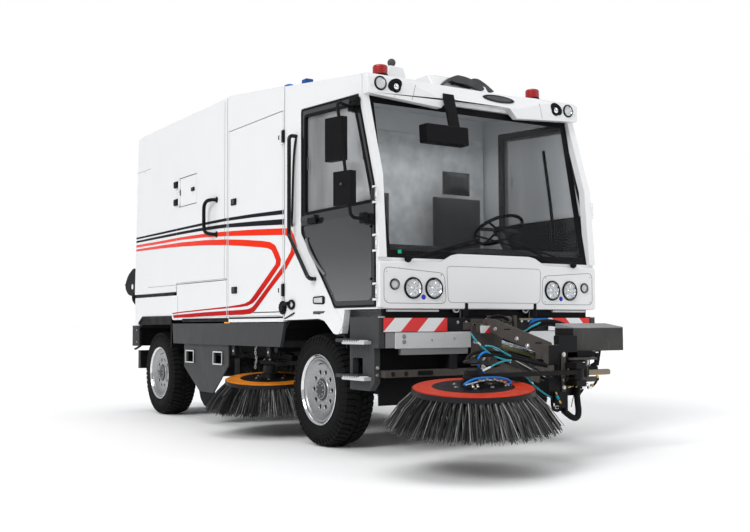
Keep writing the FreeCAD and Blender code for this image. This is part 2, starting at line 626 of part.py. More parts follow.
def panel_knuckles(name, side, edge, away, lifts):
    """The round knuckles on a hinged panel and the bores of their pins.

    away is 1 where the panel lies behind its hinged edge, else -1.
    """
    half = s.hinge_tall / 2
    axis = hinge_axis(side, edge, away)
    knuckles = [rod("knuckle_of_%s_%d" % (name, k), "z", s.hinge_radius,
                    (lift - half, lift + half), axis) for k, lift in enumerate(lifts)]
    bores = [rod("bore_of_%s_%d" % (name, k), "z", s.hinge_pin + s.pin_gap,
                 (lift - half - s.overrun, lift + half + s.overrun), axis)
             for k, lift in enumerate(lifts)]
    return knuckles, bores


def frame_pins(name, side, edge, away, lifts):
    """The pins of a panel's hinges with the ears that hold them to the frame round it."""
    half = s.hinge_tall / 2
    reach = half + s.hinge_step + s.hinge_ear
    axis = hinge_axis(side, edge, away)
    root = edge - (s.door_gap + s.hinge_ear) * away
    shore = edge - s.door_gap * away
    tip = axis[1] + s.hinge_pin * away
    pins = []
    for k, lift in enumerate(lifts):
        label = "%s_%d" % (name, k)
        pins.append(rod("pin_of_" + label, "z", s.hinge_pin, (lift - reach, lift + reach), axis))
        for n, foot in enumerate((lift - reach, lift + half + s.hinge_step)):
            tall = (foot, foot + s.hinge_ear)
            pins.append(block("root_of_%s_%d" % (label, n),
                              on_side(side, s.body_half, s.body_half + s.hinge_radius),
                              ordered(root, shore), tall))
            pins.append(block("ear_of_%s_%d" % (label, n),
                              on_side(side, s.body_half + s.hinge_pin,
                                      s.body_half + s.hinge_radius),
                              ordered(shore, tip), tall))
    return pins


def ordered(one, two):
    """Two places, the lower one first."""
    return (one, two) if value_of(one) < value_of(two) else (two, one)


def make_cab():
    """The hollow cab shell with its hinge pins, its glass, front panel and visor."""
    outer = cab_outline("cab_outer", (-s.body_half, s.body_half))
    inside = s.body_half - s.door_thick
    room = room_outline("cab_room", (-inside, inside))
    screen = block("screen_opening", (-s.glass_half, s.glass_half),
                   (-s.panel_nose - s.overrun, s.glass_back + s.front_depth * 2),
                   (s.sill, s.glass_top))
    tools = [room, screen]
    pins = []
    for label, side in SIDES:
        span = on_side(side, inside - s.door_slack, s.body_half + s.overrun)
        tools.append(outline("doorway_" + label, "side", door_outline(s.door_gap), span))
        pins += frame_pins("cab_%s" % label, side, s.door_front, 1, cab_hinge_lifts)
    tools.append(block("wheel_well", (-inside, inside), (s.arch_foot - s.wall, s.arch_back),
                       (s.arch_drop - s.overrun, s.front_lift)))
    node("cab_shell", fuse("cab_shell_solid", cut("cab_shell_walls", outer, *tools), *pins))
    half = s.body_half
    rear = s.panel_depth - s.panel_nose
    panel = outline("front_panel_solid", "top", [
        (-half, rear), (-half, rear - s.panel_depth * 0.4),
        (-half + s.panel_round * 0.3, rear - s.panel_depth * 0.75),
        (-half + s.panel_round, -s.panel_nose), (half - s.panel_round, -s.panel_nose),
        (half - s.panel_round * 0.3, rear - s.panel_depth * 0.75),
        (half, rear - s.panel_depth * 0.4), (half, rear),
    ], (s.front_lift, s.sill))
    node("front_panel", panel)
    nose, middle, brow = windscreen_points
    deep = s.front_depth / 2
    pane = outline("windscreen_solid", "side", [
        (nose[0] + deep, s.sill), (middle[0] + deep, middle[1]), (brow[0] + deep, s.glass_top),
        (brow[0] + deep + s.glass_thick, s.glass_top),
        (middle[0] + deep + s.glass_thick, middle[1]), (nose[0] + deep + s.glass_thick, s.sill),
    ], (-s.glass_half, s.glass_half))
    node("windscreen", pane)
    front = s.glass_back - s.visor_proud
    visor = outline("visor_profile", "side", [
        (front, s.visor_foot), (front, s.visor_face_top), (front + s.wall, s.visor_top),
        (s.glass_back, s.visor_top), (s.glass_back, s.glass_top), (brow_at(s.visor_foot),
                                                                  s.visor_foot),
    ], (-s.visor_half, s.visor_half))
    notch = outline("visor_notch", "front", [
        (-s.body_half, s.visor_foot - s.overrun), (-s.body_half, s.visor_foot + s.visor_end_rise),
        (-s.notch_half - s.notch_slope, s.visor_foot),
        (-s.notch_half, s.visor_foot + s.notch_rise), (s.notch_half, s.visor_foot + s.notch_rise),
        (s.notch_half + s.notch_slope, s.visor_foot),
        (s.body_half, s.visor_foot + s.visor_end_rise), (s.body_half, s.visor_foot - s.overrun),
    ], (front - s.overrun, s.glass_back + s.overrun))
    node("roof_visor", cut("roof_visor_solid", visor, notch))
    unit = outline("ac_profile", "side", [
        (s.ac_front, roof_height(s.ac_front)), (s.ac_front + s.ac_round * 2, s.ac_top),
        (s.ac_rear - s.ac_round, s.ac_top), (s.ac_rear, roof_height(s.ac_rear)),
    ], (-s.ac_half, s.ac_half))
    cover = outline("ac_cover", "side", [
        (s.ac_front + s.ac_round * 2, s.ac_top),
        (s.ac_front + s.ac_round * 3, s.ac_top + s.ac_cover_rise),
        (s.ac_rear - s.ac_round * 2, s.ac_top + s.ac_cover_rise),
        (s.ac_rear - s.ac_round, s.ac_top),
    ], (-s.ac_cover_half, s.ac_cover_half))
    node("air_conditioner", fuse("air_conditioner_solid", unit, cover))


def brow_at(lift):
    """The windscreen line's place at a height between its upper two corners."""
    middle, brow = windscreen_points[1:]
    share = (value_of(lift) - value_of(middle[1])) / value_of(brow[1] - middle[1])
    return middle[0] + (brow[0] - middle[0]) * share


def roof_height(back):
    """The cab roof's height at a place behind the windscreen's top."""
    run = s.cab_rear - s.glass_back
    share = (value_of(back) - value_of(s.glass_back)) / value_of(run)
    return s.brow + (s.roof_rear - s.brow) * share


def make_door(label, side):
    """One cab door with its window opening, hinge knuckles, handle and glass."""
    slab = outline("door_slab_" + label, "side", door_outline(0),
                   on_side(side, s.body_half - s.door_thick, s.body_half))
    gap = outline("door_window_" + label, "side", window_outline(),
                  on_side(side, s.body_half - s.door_thick * 2, s.body_half + s.wall))
    knuckles, bores = panel_knuckles("door_%s" % label, side, s.door_front, 1, cab_hinge_lifts)
    rear = s.door_rear - s.window_edge / 2
    handle = block("door_handle_" + label,
                   on_side(side, s.body_half, s.body_half + s.handle_proud),
                   (rear - s.handle_long, rear), (s.handle_lift, s.handle_lift + s.handle_tall))
    mirrors = side_mirrors() if side < 0 else []
    body = fuse("cab_door_%s_body" % label, slab, handle, *(knuckles + mirrors))
    node("cab_door_" + label, cut("cab_door_%s_solid" % label, body, gap, *bores))
    middle = s.body_half - s.door_thick / 2
    pane_half = s.glass_thick / 2
    node("door_glass_" + label, outline("door_pane_" + label, "side", window_outline(),
                                        on_side(side, middle - pane_half, middle + pane_half)))


def make_cab_inside():
    """Two seats, the dashboard, the column and the steering wheel."""
    seats = []
    rear = s.seat_front + s.seat_depth
    for k, x in enumerate((-s.seat_middle, s.seat_middle)):
        seats.append(fuse(
            "seat_%d" % k,
            block("pedestal_%d" % k, (x - s.pedestal_half, x + s.pedestal_half),
                  (s.seat_front + s.cushion, rear), (cab_sole, s.seat_base)),
            block("cushion_%d" % k, (x - s.seat_half, x + s.seat_half),
                  (s.seat_front, rear + s.seat_back_thick),
                  (s.seat_base, s.seat_base + s.cushion)),
            block("backrest_%d" % k, (x - s.seat_half, x + s.seat_half),
                  (rear, rear + s.seat_back_thick), (s.seat_base, s.seat_back_top))))
    node("seats", *seats)
    wide = s.body_half - s.door_thick - s.inner_gap
    front = s.panel_depth - s.panel_nose + s.front_depth
    knee = s.dash_rear - s.dash_thick
    dash = block("dash_body", (-wide, wide), (front, knee), (cab_sole, s.sill))
    hood = block("dash_hood", (-wide, wide), (front, s.dash_rear),
                 (cab_sole + (s.sill - cab_sole) * HOOD_SHARE, s.dash_top))
    grip = doc.addObject("Part::Torus", "steering_grip")
    drive(grip, "Radius1", s.wheel_grip_radius)
    drive(grip, "Radius2", s.wheel_grip_tube)
    put(grip, s.seat_middle, s.wheel_grip_back, s.wheel_grip_lift,
        Rotation(Vector(1, 0, 0), STEERING_WHEEL_TILT))
    spoke = rod("steering_spoke", "x", s.wheel_grip_tube,
                (s.seat_middle - s.wheel_grip_radius, s.seat_middle + s.wheel_grip_radius),
                (s.wheel_grip_back, s.wheel_grip_lift))
    column = tube("steering_column", [
        (s.seat_middle, s.wheel_grip_back, s.wheel_grip_lift),
        (s.seat_middle, s.dash_rear - s.dash_thick / 2, s.sill)], s.column_radius, s.wall)
    node("dashboard", fuse("dashboard_solid", dash, hood, grip, spoke, column))


def make_engine_bay():
    """The hollow body behind the cab, with a service door each side, and the engine."""
    outer = outline("bay_outer", "side", [
        (s.bay_front, s.bay_foot), (s.bay_rear, s.bay_foot), (s.bay_rear, s.bay_roof_rear),
        (s.bay_front, s.bay_roof_front)], (-s.body_half, s.body_half))
    inner = outline("bay_room", "side", [
        (s.bay_front + s.wall, s.bay_foot + s.wall), (s.bay_rear - s.wall, s.bay_foot + s.wall),
        (s.bay_rear - s.wall, s.bay_roof_rear - s.wall),
        (s.bay_front + s.wall, s.bay_roof_front - s.wall)], (-body_inner, body_inner))
    gap = s.door_gap
    sill = s.bay_foot + s.wall + gap * 2
    tools = [inner]
    pins = []
    for label, side in SIDES:
        tools.append(block("bay_doorway_" + label,
                           on_side(side, body_inner - s.door_slack, s.body_half + s.overrun),
                           (s.bay_door_front - gap, s.bay_door_rear + gap),
                           (sill - gap, s.bay_door_top + gap)))
        pins += frame_pins("bay_%s" % label, side, s.bay_door_front, 1, bay_hinge_lifts)
    node("engine_bay", fuse("engine_bay_solid", cut("engine_bay_walls", outer, *tools), *pins))
    for label, side in SIDES:
        slab = block("bay_door_slab_" + label,
                     on_side(side, s.body_half - s.bay_door_thick, s.body_half),
                     (s.bay_door_front, s.bay_door_rear), (sill, s.bay_door_top))
        knuckles, bores = panel_knuckles("service_%s" % label, side, s.bay_door_front, 1,
                                         bay_hinge_lifts)
        body = fuse("service_door_%s_body" % label, slab, *knuckles)
        node("service_door_" + label, cut("service_door_%s_solid" % label, body, *bores))
    node("engine", block("engine_block", (-s.engine_half, s.engine_half),
                         (s.engine_front, s.engine_rear), (s.bay_foot + s.wall, s.engine_top)))


def make_hopper():
    """The tipping hopper, its tail door, side hatch, pivot brackets and grab handle."""
    step = s.hopper_step_back
    outer = outline("hopper_outer", "side", [
        (s.hopper_front, s.hopper_step_lift), (step, s.hopper_step_lift),
        (step, s.hopper_floor), (s.hopper_rear, s.hopper_floor),
        (s.hopper_rear_top, s.hopper_top - s.hopper_slope_drop), (s.hopper_slope, s.hopper_top),
        (s.hopper_front, s.hopper_top)], (-s.body_half, s.body_half))
    ceiling = s.hopper_top - s.wall
    front = s.hopper_front + s.wall
    room = outline("hopper_room", "side", [
        (front, s.hopper_step_lift + s.wall), (step + s.wall, s.hopper_step_lift + s.wall),
        (step + s.wall, s.hopper_floor + s.wall),
        (s.hopper_rear - s.tail_thick * 2, s.hopper_floor + s.wall),
        (s.hopper_rear - s.tail_thick * 2, s.tail_foot - s.door_gap),
        (s.hopper_rear_top - s.tail_thick * 2, ceiling - s.hopper_slope_drop),
        (front, ceiling - s.hopper_slope_drop)], (-body_inner, body_inner))
    frame_top = ceiling - s.hopper_slope_drop
    mouth = outline("hopper_mouth", "side", [
        (s.hopper_rear - s.tail_thick * 3, s.tail_foot - s.door_gap),
        (s.hopper_rear + s.overrun, s.tail_foot - s.door_gap),
        (s.hopper_rear + s.overrun, frame_top), (s.hopper_rear_top - s.tail_thick * 3, frame_top),
    ], (-s.tail_half - s.door_gap, s.tail_half + s.door_gap))
    gap = s.door_gap
    skin = -s.body_half + s.hatch_thick + gap
    hatchway = block("hatchway", (-s.body_half - s.overrun, skin),
                     (s.hatch_front - gap, s.hatch_rear + gap),
                     (s.hatch_foot - gap, s.hatch_top + gap))
    inlet = block("hatch_inlet", (-s.body_half - s.overrun, -body_inner + s.overrun),
                  (s.hatch_front + s.wall, s.hatch_rear - s.wall),
                  (s.hatch_foot + s.wall, s.hatch_top - s.wall))
    hinge_lift = frame_top - s.tail_hinge_drop
    hinge_back = s.hopper_rear_top - s.tail_hinge_in
    hinge_end = s.tail_half + s.door_gap + s.tail_pin_long
    sockets = rod("tail_socket", "x", s.tail_hinge_radius + s.pin_gap,
                  (-hinge_end - s.slip_gap, hinge_end + s.slip_gap), (hinge_back, hinge_lift))
    shell = cut("hopper_shell", outer, room, mouth, hatchway, inlet, sockets)
    bracket = outline("pivot_bracket", "side", [
        (s.hopper_rear - s.tail_thick, s.hopper_floor), (s.hopper_rear, s.hook_foot),
        (s.hook_back, s.hook_foot + s.wall), (s.hook_rear, s.hook_lift + s.hook_pin),
        (s.hook_back, s.hook_top - s.wall * 2), (s.hopper_rear - s.hook_pin / 2, s.hook_top),
        (s.hopper_rear - s.tail_thick, s.hook_top - s.wall)],
        (-s.body_half + s.hook_inset, -s.body_half + s.hook_inset + s.hook_thick))
    eye = rod("pivot_eye", "x", s.hook_pin + s.pin_gap,
              (-s.body_half - s.overrun, -body_inner + s.overrun), (s.hook_back, s.hook_lift))
    brackets = both("pivot_bracket", cut("pivot_bracket_bored", bracket, eye))
    grip = tube("grab_handle", [
        (-s.body_half + s.plate, s.grip_back, s.grip_top), (-s.grip_out, s.grip_back, s.grip_top),
        (-s.grip_out, s.grip_back, s.grip_foot),
        (-s.body_half + s.plate, s.grip_back, s.grip_foot)], s.grip_tube, s.grip_tube * 2)
    knuckles, bores = panel_knuckles("hatch", -1, s.hatch_rear, -1, hatch_hinge_lifts)
    pins = frame_pins("hatch", -1, s.hatch_rear, -1, hatch_hinge_lifts)
    node("hopper", fuse("hopper_solid", shell, grip, *(brackets + pins)))
    lid = block("hatch_lid", (-s.body_half, -s.body_half + s.hatch_thick),
                (s.hatch_front, s.hatch_rear), (s.hatch_foot, s.hatch_top))
    node("side_hatch", cut("side_hatch_solid", fuse("side_hatch_body", lid, *knuckles), *bores))
    tail = outline("tail_slab", "side", [
        (tail_face(s.tail_foot) - s.tail_thick, s.tail_foot),
        (tail_face(s.tail_foot), s.tail_foot),
        (tail_face(frame_top - gap), frame_top - gap),
        (tail_face(frame_top - gap) - s.tail_thick, frame_top - gap)],
        (-s.tail_half, s.tail_half))
    pin = rod("tail_pin", "x", s.tail_hinge_radius, (-hinge_end, hinge_end),
              (hinge_back, hinge_lift))
    node("tail_door", fuse("tail_door_solid", tail, pin))


def tail_face(lift):
    """The place of the hopper's leaning rear face at a height."""
    low = (s.hopper_rear, s.hopper_floor)
    high = (s.hopper_rear_top, s.hopper_top - s.hopper_slope_drop)
    share = (value_of(lift) - value_of(low[1])) / value_of(high[1] - low[1])
    return low[0] + (high[0] - low[0]) * share


def make_rear_base():
    """The lower rear body: side covers, wheel arches, deck, hopper rests and pivot posts."""
    corners = [
        (s.base_front, s.base_foot), (s.wheel_arch_front - s.wheel_arch_slope, s.base_foot),
        (s.wheel_arch_front, s.wheel_arch_top), (s.wheel_arch_rear, s.wheel_arch_top),
        (s.wheel_arch_rear + s.wheel_arch_slope * 2, s.tail_guard_top),
        (s.base_rear, s.tail_guard_top), (s.base_rear, s.base_low_top),
        (s.base_split, s.base_low_top), (s.base_split, s.base_high_top),
        (s.base_front, s.base_high_top),
    ]
    cover = outline("base_side", "side", corners, right_wall)
    deck_foot = s.base_deck_top - s.base_deck_thick
    deck = block("base_deck", (-body_inner, body_inner), (s.base_front, s.base_rear),
                 (deck_foot, s.base_deck_top))
    rests = [block("rest_%d_%d" % (k, n), (x - s.rest_half, x + s.rest_half),
                   (back - s.rest_half, back + s.rest_half),
                   (s.base_deck_top, s.hopper_floor - s.slip_gap))
             for k, x in enumerate((-s.rest_out, s.rest_out))
             for n, back in enumerate((s.rest_one, s.rest_two))]
    post_outer = -s.body_half + s.hook_inset + s.hook_thick + s.joint_gap
    post_span = (post_outer, post_outer + s.post_thick)
    boss = s.hook_boss
    post = outline("pivot_post", "side", [
        (s.post_foot_front, s.base_deck_top), (s.base_rear, deck_foot),
        (s.hook_back + boss, s.hook_lift - boss), (s.hook_back + boss, s.hook_lift + boss / 2),
        (s.hopper_rear + s.overrun, s.hook_lift + boss / 2), (s.hopper_rear + s.overrun,
                                                             s.base_deck_top)], post_span)
    pin = rod("pivot_pin", "x", s.hook_pin, (-s.body_half + s.hook_inset, post_span[1]),
              (s.hook_back, s.hook_lift))
    posts = both("pivot_post", fuse("pivot_post_solid", post, pin))
    node("rear_base", fuse("rear_base_solid", deck, *(both("base_side", cover) + rests
                                                      + posts)))


def make_skirts():
    """Grey side skirts and the tapered guard plates below them."""
    skin = -s.body_half - s.guard_inset
    behind = skin + s.skirt_thick
    skirt = outline("skirt_plate", "side", [
        (s.skirt_front_top, s.skirt_top), (s.skirt_front_foot, s.skirt_foot),
        (s.skirt_rear, s.skirt_foot), (s.skirt_rear + s.skirt_thick, s.skirt_top)],
        (skin, behind))
    plate = outline("guard_plate", "side", [
        (s.guard_front, s.skirt_foot + s.wall), (s.guard_front, s.guard_knee + s.wall),
        (s.guard_tip_front, s.guard_tip_lift), (s.guard_tip_rear, s.guard_tip_lift),
        (s.guard_rear, s.guard_knee), (s.guard_rear, s.skirt_foot + s.wall)],
        (behind, behind + s.guard_thick))
    holes = [block("step_hole_%d" % k, (behind - s.overrun, behind + s.guard_thick + s.overrun),
                   (back - s.guard_hole_half, back + s.guard_hole_half),
                   (s.guard_hole_foot, s.guard_hole_top))
             for k, back in enumerate((s.guard_hole_one, s.guard_hole_two))]
    drilled = cut("guard_drilled", plate, *holes)
    stays = [block("skirt_stay_%d" % k, (behind, -s.rail_outer), (back - s.plate, back + s.plate),
                   (s.skirt_foot + s.wall, s.rail_top))
             for k, back in enumerate((s.guard_front + s.wall, s.guard_rear - s.wall))]
    node("side_skirts", *both("side_skirt", fuse("side_skirt", skirt, drilled, *stays)))


def make_tail_bumper():
    """The rear underrun beam and the grey corner guards."""
    beam = block("underrun_beam", (-s.underrun_half, s.underrun_half),
                 (s.underrun_front, s.underrun_rear), (s.underrun_foot, s.underrun_top))
    stays = [block("underrun_stay_%d" % k, ends, (s.rail_rear, s.underrun_front),
                   (s.underrun_foot, s.rail_top))
             for k, ends in enumerate(((-s.rail_outer, -s.rail_inner),
                                       (s.rail_inner, s.rail_outer)))]
    guard = block("corner_guard", (-s.body_half, -s.body_half + s.skirt_thick),
                  (s.tail_guard_front, s.tail_guard_rear), (s.tail_guard_foot, s.tail_guard_top))
    shelf = block("corner_shelf", (-s.body_half + s.skirt_thick, s.body_half - s.skirt_thick),
                  (s.underrun_front, s.tail_guard_rear), (s.tail_guard_foot, s.rail_top))
    lift = (s.underrun_foot + s.underrun_top) / 2
    lug = block("tow_lug", (-s.eye_half, s.eye_half),
                (s.underrun_rear, s.underrun_rear + s.eye_long), (lift - s.eye_tall,
                                                                 lift + s.eye_tall))
    hole = rod("tow_hole", "x", s.eye_bore, (-s.eye_half - s.overrun, s.eye_half + s.overrun),
               (s.underrun_rear + s.eye_long / 2, lift))
    node("rear_bumper", fuse("rear_bumper_solid", beam, shelf, cut("tow_eye", lug, hole),
                             *(stays + both("corner_guard", guard))))


def make_front_bumper():
    """The bumper beam, the striped boards, the steel plate and the lower cross beam."""
    face = s.bumper_front + s.plate
    beam = block("bumper_beam", (-s.corner_inner, s.corner_inner), (face, bumper_rear),
                 (s.board_foot, s.board_top))
    boards = [block("board_%d" % k, ends, (s.bumper_front, face), (s.board_foot, s.board_top))
              for k, ends in enumerate(((-s.board_outer, -s.board_inner),
                                        (s.board_inner, s.board_outer)))]
    steel = block("steel_plate", (-s.steel_outer, -s.steel_inner), (s.bumper_front, face),
                  (s.steel_foot, s.board_foot + s.plate))
    low = block("low_beam", (-s.corner_inner, s.corner_inner), (s.beam_front, s.beam_rear),
                (s.beam_foot, s.beam_top))
    posts = [block("bumper_post_%d" % k, ends, (s.beam_front, bumper_rear),
                   (s.beam_foot, s.board_foot))
             for k, ends in enumerate(((-s.rail_outer, -s.rail_inner),
                                       (s.rail_inner, s.rail_outer)))]
    node("front_bumper", fuse("front_bumper_solid", beam, steel, low, *(boards + posts)))


def make_corner_steps():
    """The grey corner boxes of the bumper with their two treads each."""
    face = s.bumper_front + s.plate
    box = outline("corner_box", "side", [
        (face, s.corner_top), (face, s.corner_knee), (face + s.corner_toe, s.corner_knee),
        (face + s.corner_toe, s.corner_foot + s.corner_toe),
        (face + s.corner_toe * 2, s.corner_foot), (s.corner_rear, s.corner_foot),
        (s.corner_rear, s.corner_top)], (-s.body_half, -s.corner_inner))
    hollow = block("corner_hollow", (-s.body_half - s.overrun, -s.corner_inner + s.overrun),
                   (s.tread_front + s.wall, s.corner_rear - s.wall),
                   (s.tread_low + s.tread_thick, s.corner_hole_top))
    treads = []
    for k, lift in enumerate((s.tread_high, s.tread_low)):
        treads.append(outline("tread_%d" % k, "top", [
            (-s.body_half + s.corner_thick, s.tread_front), (-s.tread_out, s.tread_front),
            (-s.tread_out, s.tread_rear), (-s.body_half, s.tread_rear - s.wall),
            (-s.body_half + s.corner_thick, s.corner_rear - s.wall)],
            (lift, lift + s.tread_thick)))
    node("corner_steps", *both("corner_step", fuse(
        "corner_step", cut("corner_box_open", box, hollow), *treads)))


def make_handrails():
    """The long black handrail behind each cab door."""
    inside = -s.body_half + s.plate
    rail = tube("cab_handrail", [
        (inside, s.rail_back, s.rail_high), (-s.rail_out, s.rail_back, s.rail_high),
        (-s.rail_out, s.rail_back, s.rail_knee_lift),
        (-s.rail_out, s.rail_low_back, s.rail_low_lift),
        (-s.rail_out, s.rail_end_back, s.rail_end_lift),
        (inside, s.rail_end_back, s.rail_end_lift)], s.rail_tube, s.rail_tube * 2)
    trimmed = cut("cab_handrail_trimmed", rail,
                  cab_outline("handrail_wall", (-s.body_half, -s.body_half + s.wall)))
    node("cab_handrails", *both("cab_handrail", trimmed))


def make_lamps():
    """Headlamps, marker lamps, roof lamps and beacons."""
    lamps = []
    front = (-s.panel_nose - s.lamp_proud, -s.panel_nose)
    for k, (x, z, radius) in enumerate(((s.lamp_outer, s.lamp_lift, s.lamp_radius),
                                        (s.lamp_inner, s.lamp_lift, s.lamp_radius),
                                        (s.marker_half, s.marker_lift, s.marker_radius))):
        lamps += both("front_lamp_%d" % k, rod("front_lamp_%d" % k, "y", radius, front, (-x, z)))
    high = (s.glass_back - s.visor_proud - s.lamp_proud, s.glass_back - s.visor_proud)
    for k, x in enumerate((s.roof_lamp_outer, s.roof_lamp_inner)):
        lamps += both("roof_lamp_%d" % k, rod("roof_lamp_%d" % k, "y", s.roof_lamp_radius, high,
                                              (-x, s.roof_lamp_lift)))
    node("lamps", *lamps)
    at = (-s.beacon_half, s.beacon_back)
    foot = roof_height(s.beacon_back - s.beacon_foot_radius)
    lens_foot = s.beacon_foot + s.wall
    body = fuse("beacon_body", rod("beacon_foot", "z", s.beacon_foot_radius, (foot, lens_foot), at),
                rod("beacon_lens", "z", s.beacon_radius, (lens_foot, lens_foot + s.beacon_tall),
                    at))
    beacon = cut("beacon_seated", body, cab_outline("beacon_roof", (-s.body_half, s.body_half)))
    node("beacons", *both("beacon", beacon))


def make_wipers():
    """Two wipers with their pivots on the front panel's top edge."""
    thick = s.wiper_thick
    face = -s.panel_nose
    layer = (face - thick * 3, face - thick * 2)
    wipers = []
    for k, side in enumerate((-1, 1)):
        foot = (s.wiper_pivot * side, s.wiper_lift)
        tip = (s.wiper_tip * side, s.wiper_rise)
        arm = outline("wiper_arm_%d" % k, "front", [
            (foot[0], foot[1] - thick), (tip[0], tip[1] - thick), (tip[0], tip[1] + thick),
            (foot[0], foot[1] + thick)], layer)
        pivot = rod("wiper_pivot_%d" % k, "y", s.wiper_pivot_radius, (layer[0], face), foot)
        wipers.append(fuse("wiper_%d" % k, arm, pivot))
    node("wipers", *wipers)


def side_mirrors():
    """The arm with two mirrors that stands out from the right cab door."""
    skin = -s.body_half
    reach = skin - s.mirror_outset
    pad = s.mirror_arm_radius * 2
    low_clamp = block("mirror_low_clamp", (skin - pad * 2, skin),
                      (s.mirror_arm_back - s.mirror_arm_radius, s.mirror_clamp_rear),
                      (s.mirror_arm_lift - pad, s.mirror_arm_lift + pad))
    high_clamp = block("mirror_high_clamp", (skin - pad * 1.5, skin),
                       (s.mirror_root_back - pad, s.mirror_root_back + pad),
                       (s.mirror_root_lift - pad * 1.5, s.mirror_root_lift + pad))
    arm = tube("mirror_arm", [
        (skin - pad, s.mirror_arm_back, s.mirror_arm_lift),
        (reach, s.mirror_arm_back, s.mirror_arm_lift),
        (reach, s.mirror_top_back, s.mirror_top),
        (skin - pad, s.mirror_root_back, s.mirror_root_lift)],
        s.mirror_arm_radius, s.mirror_bend)
    heads = []
    for k, (back, foot, top) in enumerate((
            (s.mirror_high_back, s.mirror_high_foot, s.mirror_high_top),
            (s.mirror_low_back, s.mirror_low_foot, s.mirror_low_top))):
        turn_in = s.mirror_turn_in
        heads.append(outline("mirror_head_%d" % k, "top", [
            (reach - s.mirror_half + turn_in, back), (reach + s.mirror_half + turn_in, back),
            (reach + s.mirror_half - turn_in, back + s.mirror_wide),
            (reach - s.mirror_half - turn_in, back + s.mirror_wide)], (foot, top)))
    return [low_clamp, high_clamp, arm] + heads


def make_nose_mirror():
    """The mirror that hangs from the brow in front of the windscreen."""
    face = s.glass_back - s.visor_proud
    root = s.visor_foot + s.notch_rise
    middle = -s.nose_mirror_right
    stem_x = -s.nose_stem_right
    stem = outline("nose_stem", "side", [
        (face, root), (face, root + s.wall), (face - s.nose_stem_thick, root + s.wall),
        (face - s.nose_stem_thick - s.nose_mirror_deep, s.nose_mirror_top),
        (face - s.nose_mirror_deep, s.nose_mirror_top)],
        (stem_x - s.nose_stem_half, stem_x + s.nose_stem_half))
    rear = face - s.nose_stem_thick
    head = block("nose_head", (middle - s.nose_mirror_half, middle + s.nose_mirror_half),
                 (rear - s.nose_mirror_deep * 2, rear - s.nose_mirror_deep / 2),
                 (s.nose_mirror_foot, s.nose_mirror_top))
    node("nose_mirror", fuse("nose_mirror_solid", stem, head))


def lean_towards(side):
    """The turn that leans a brush forward and outward; side is -1 on the right."""
    heading = math.radians(BRUSH_LEAN_HEADING)
    axis = Vector(math.cos(heading), side * math.sin(heading), 0)
    return Rotation(axis, BRUSH_LEAN)


def make_brush(label, at, side):
    """A disc brush: hub, disc and the flared ring of bristles, leaning on its shaft."""
    disc = s.brush_disc
    low = -s.brush_disc_thick
    profile = [
        (s.brush_shaft_long, 0), (s.brush_shaft_long, s.brush_shaft), (0, s.brush_shaft),
        (0, disc), (low, disc), (low - s.brush_drop, s.brush_tip),
        (low - s.brush_drop, s.brush_tip - s.brush_wall),
        (low, s.brush_root - s.brush_wall), (low, 0),
    ]
    return turned("brush_%s_solid" % label, profile, "z", at, lean_towards(side))


def make_motor(name, at, side):
    """The brush's motor housing, bored for the shaft, on the same leaning axis."""
    low = s.motor_gap
    bore = s.brush_shaft + s.pin_gap
    profile = [
        (low, bore), (low, s.motor_radius), (low + s.motor_tall, s.motor_radius),
        (low + s.motor_tall, 0), (s.brush_shaft_long + s.motor_gap, 0),
        (s.brush_shaft_long + s.motor_gap, bore),
    ]
    return turned(name, profile, "z", at, lean_towards(side))


def make_front_arm():
    """The long-reach arm: base, two parallel links, column, swing arm and brush."""
    x = s.arm_middle
    ear = s.ear_thick
    bumper_face = s.bumper_front + s.plate
    high = s.high_link_lift
    low = s.low_link_lift
    pin = s.link_pin
    eye = s.link_eye
    ears = []
    for k, (lift, half) in enumerate(((high, s.high_link_half), (low, s.low_link_half))):
        for n, place in enumerate((x - half - ear - s.joint_gap, x + half + s.joint_gap)):
            ears.append(block("base_ear_%d_%d" % (k, n), (place, place + ear),
                              (s.link_back - eye, bumper_face), (lift - eye, lift + eye)))
        ears.append(rod("base_pin_%d" % k, "x", pin,
                        (x - half - ear - s.joint_gap, x + half + ear + s.joint_gap),
                        (s.link_back, lift)))
    back_plate = block("arm_back_plate", (x - s.arm_base_half, x + s.arm_base_half),
                       (bumper_face - s.plate, bumper_face), (low - eye * 2, high + eye * 2))
    node("arm_base", fuse("arm_base_solid", back_plate, *ears))
    for name, lift, drop, half in (("high", high, s.link_drop, s.high_link_half),
                                   ("low", low, s.link_drop, s.low_link_half)):
        ends = ((s.link_back, lift), (s.link_front, lift - drop))
        web = outline("%s_web" % name, "side", [
            (ends[0][0], ends[0][1] - eye * 0.8), (ends[0][0], ends[0][1] + eye * 0.8),
            (ends[1][0], ends[1][1] + eye * 0.8), (ends[1][0], ends[1][1] - eye * 0.8)],
            (x - half, x + half))
        eyes = [rod("%s_eye_%d" % (name, k), "x", eye, (x - half, x + half), end)
                for k, end in enumerate(ends)]
        bores = [rod("%s_bore_%d" % (name, k), "x", pin + s.pin_gap,
                     (x - half - s.overrun, x + half + s.overrun), end)
                 for k, end in enumerate(ends)]
        node("%s_link" % name, cut("%s_link_solid" % name,
                                   fuse("%s_link_body" % name, web, *eyes), *bores))


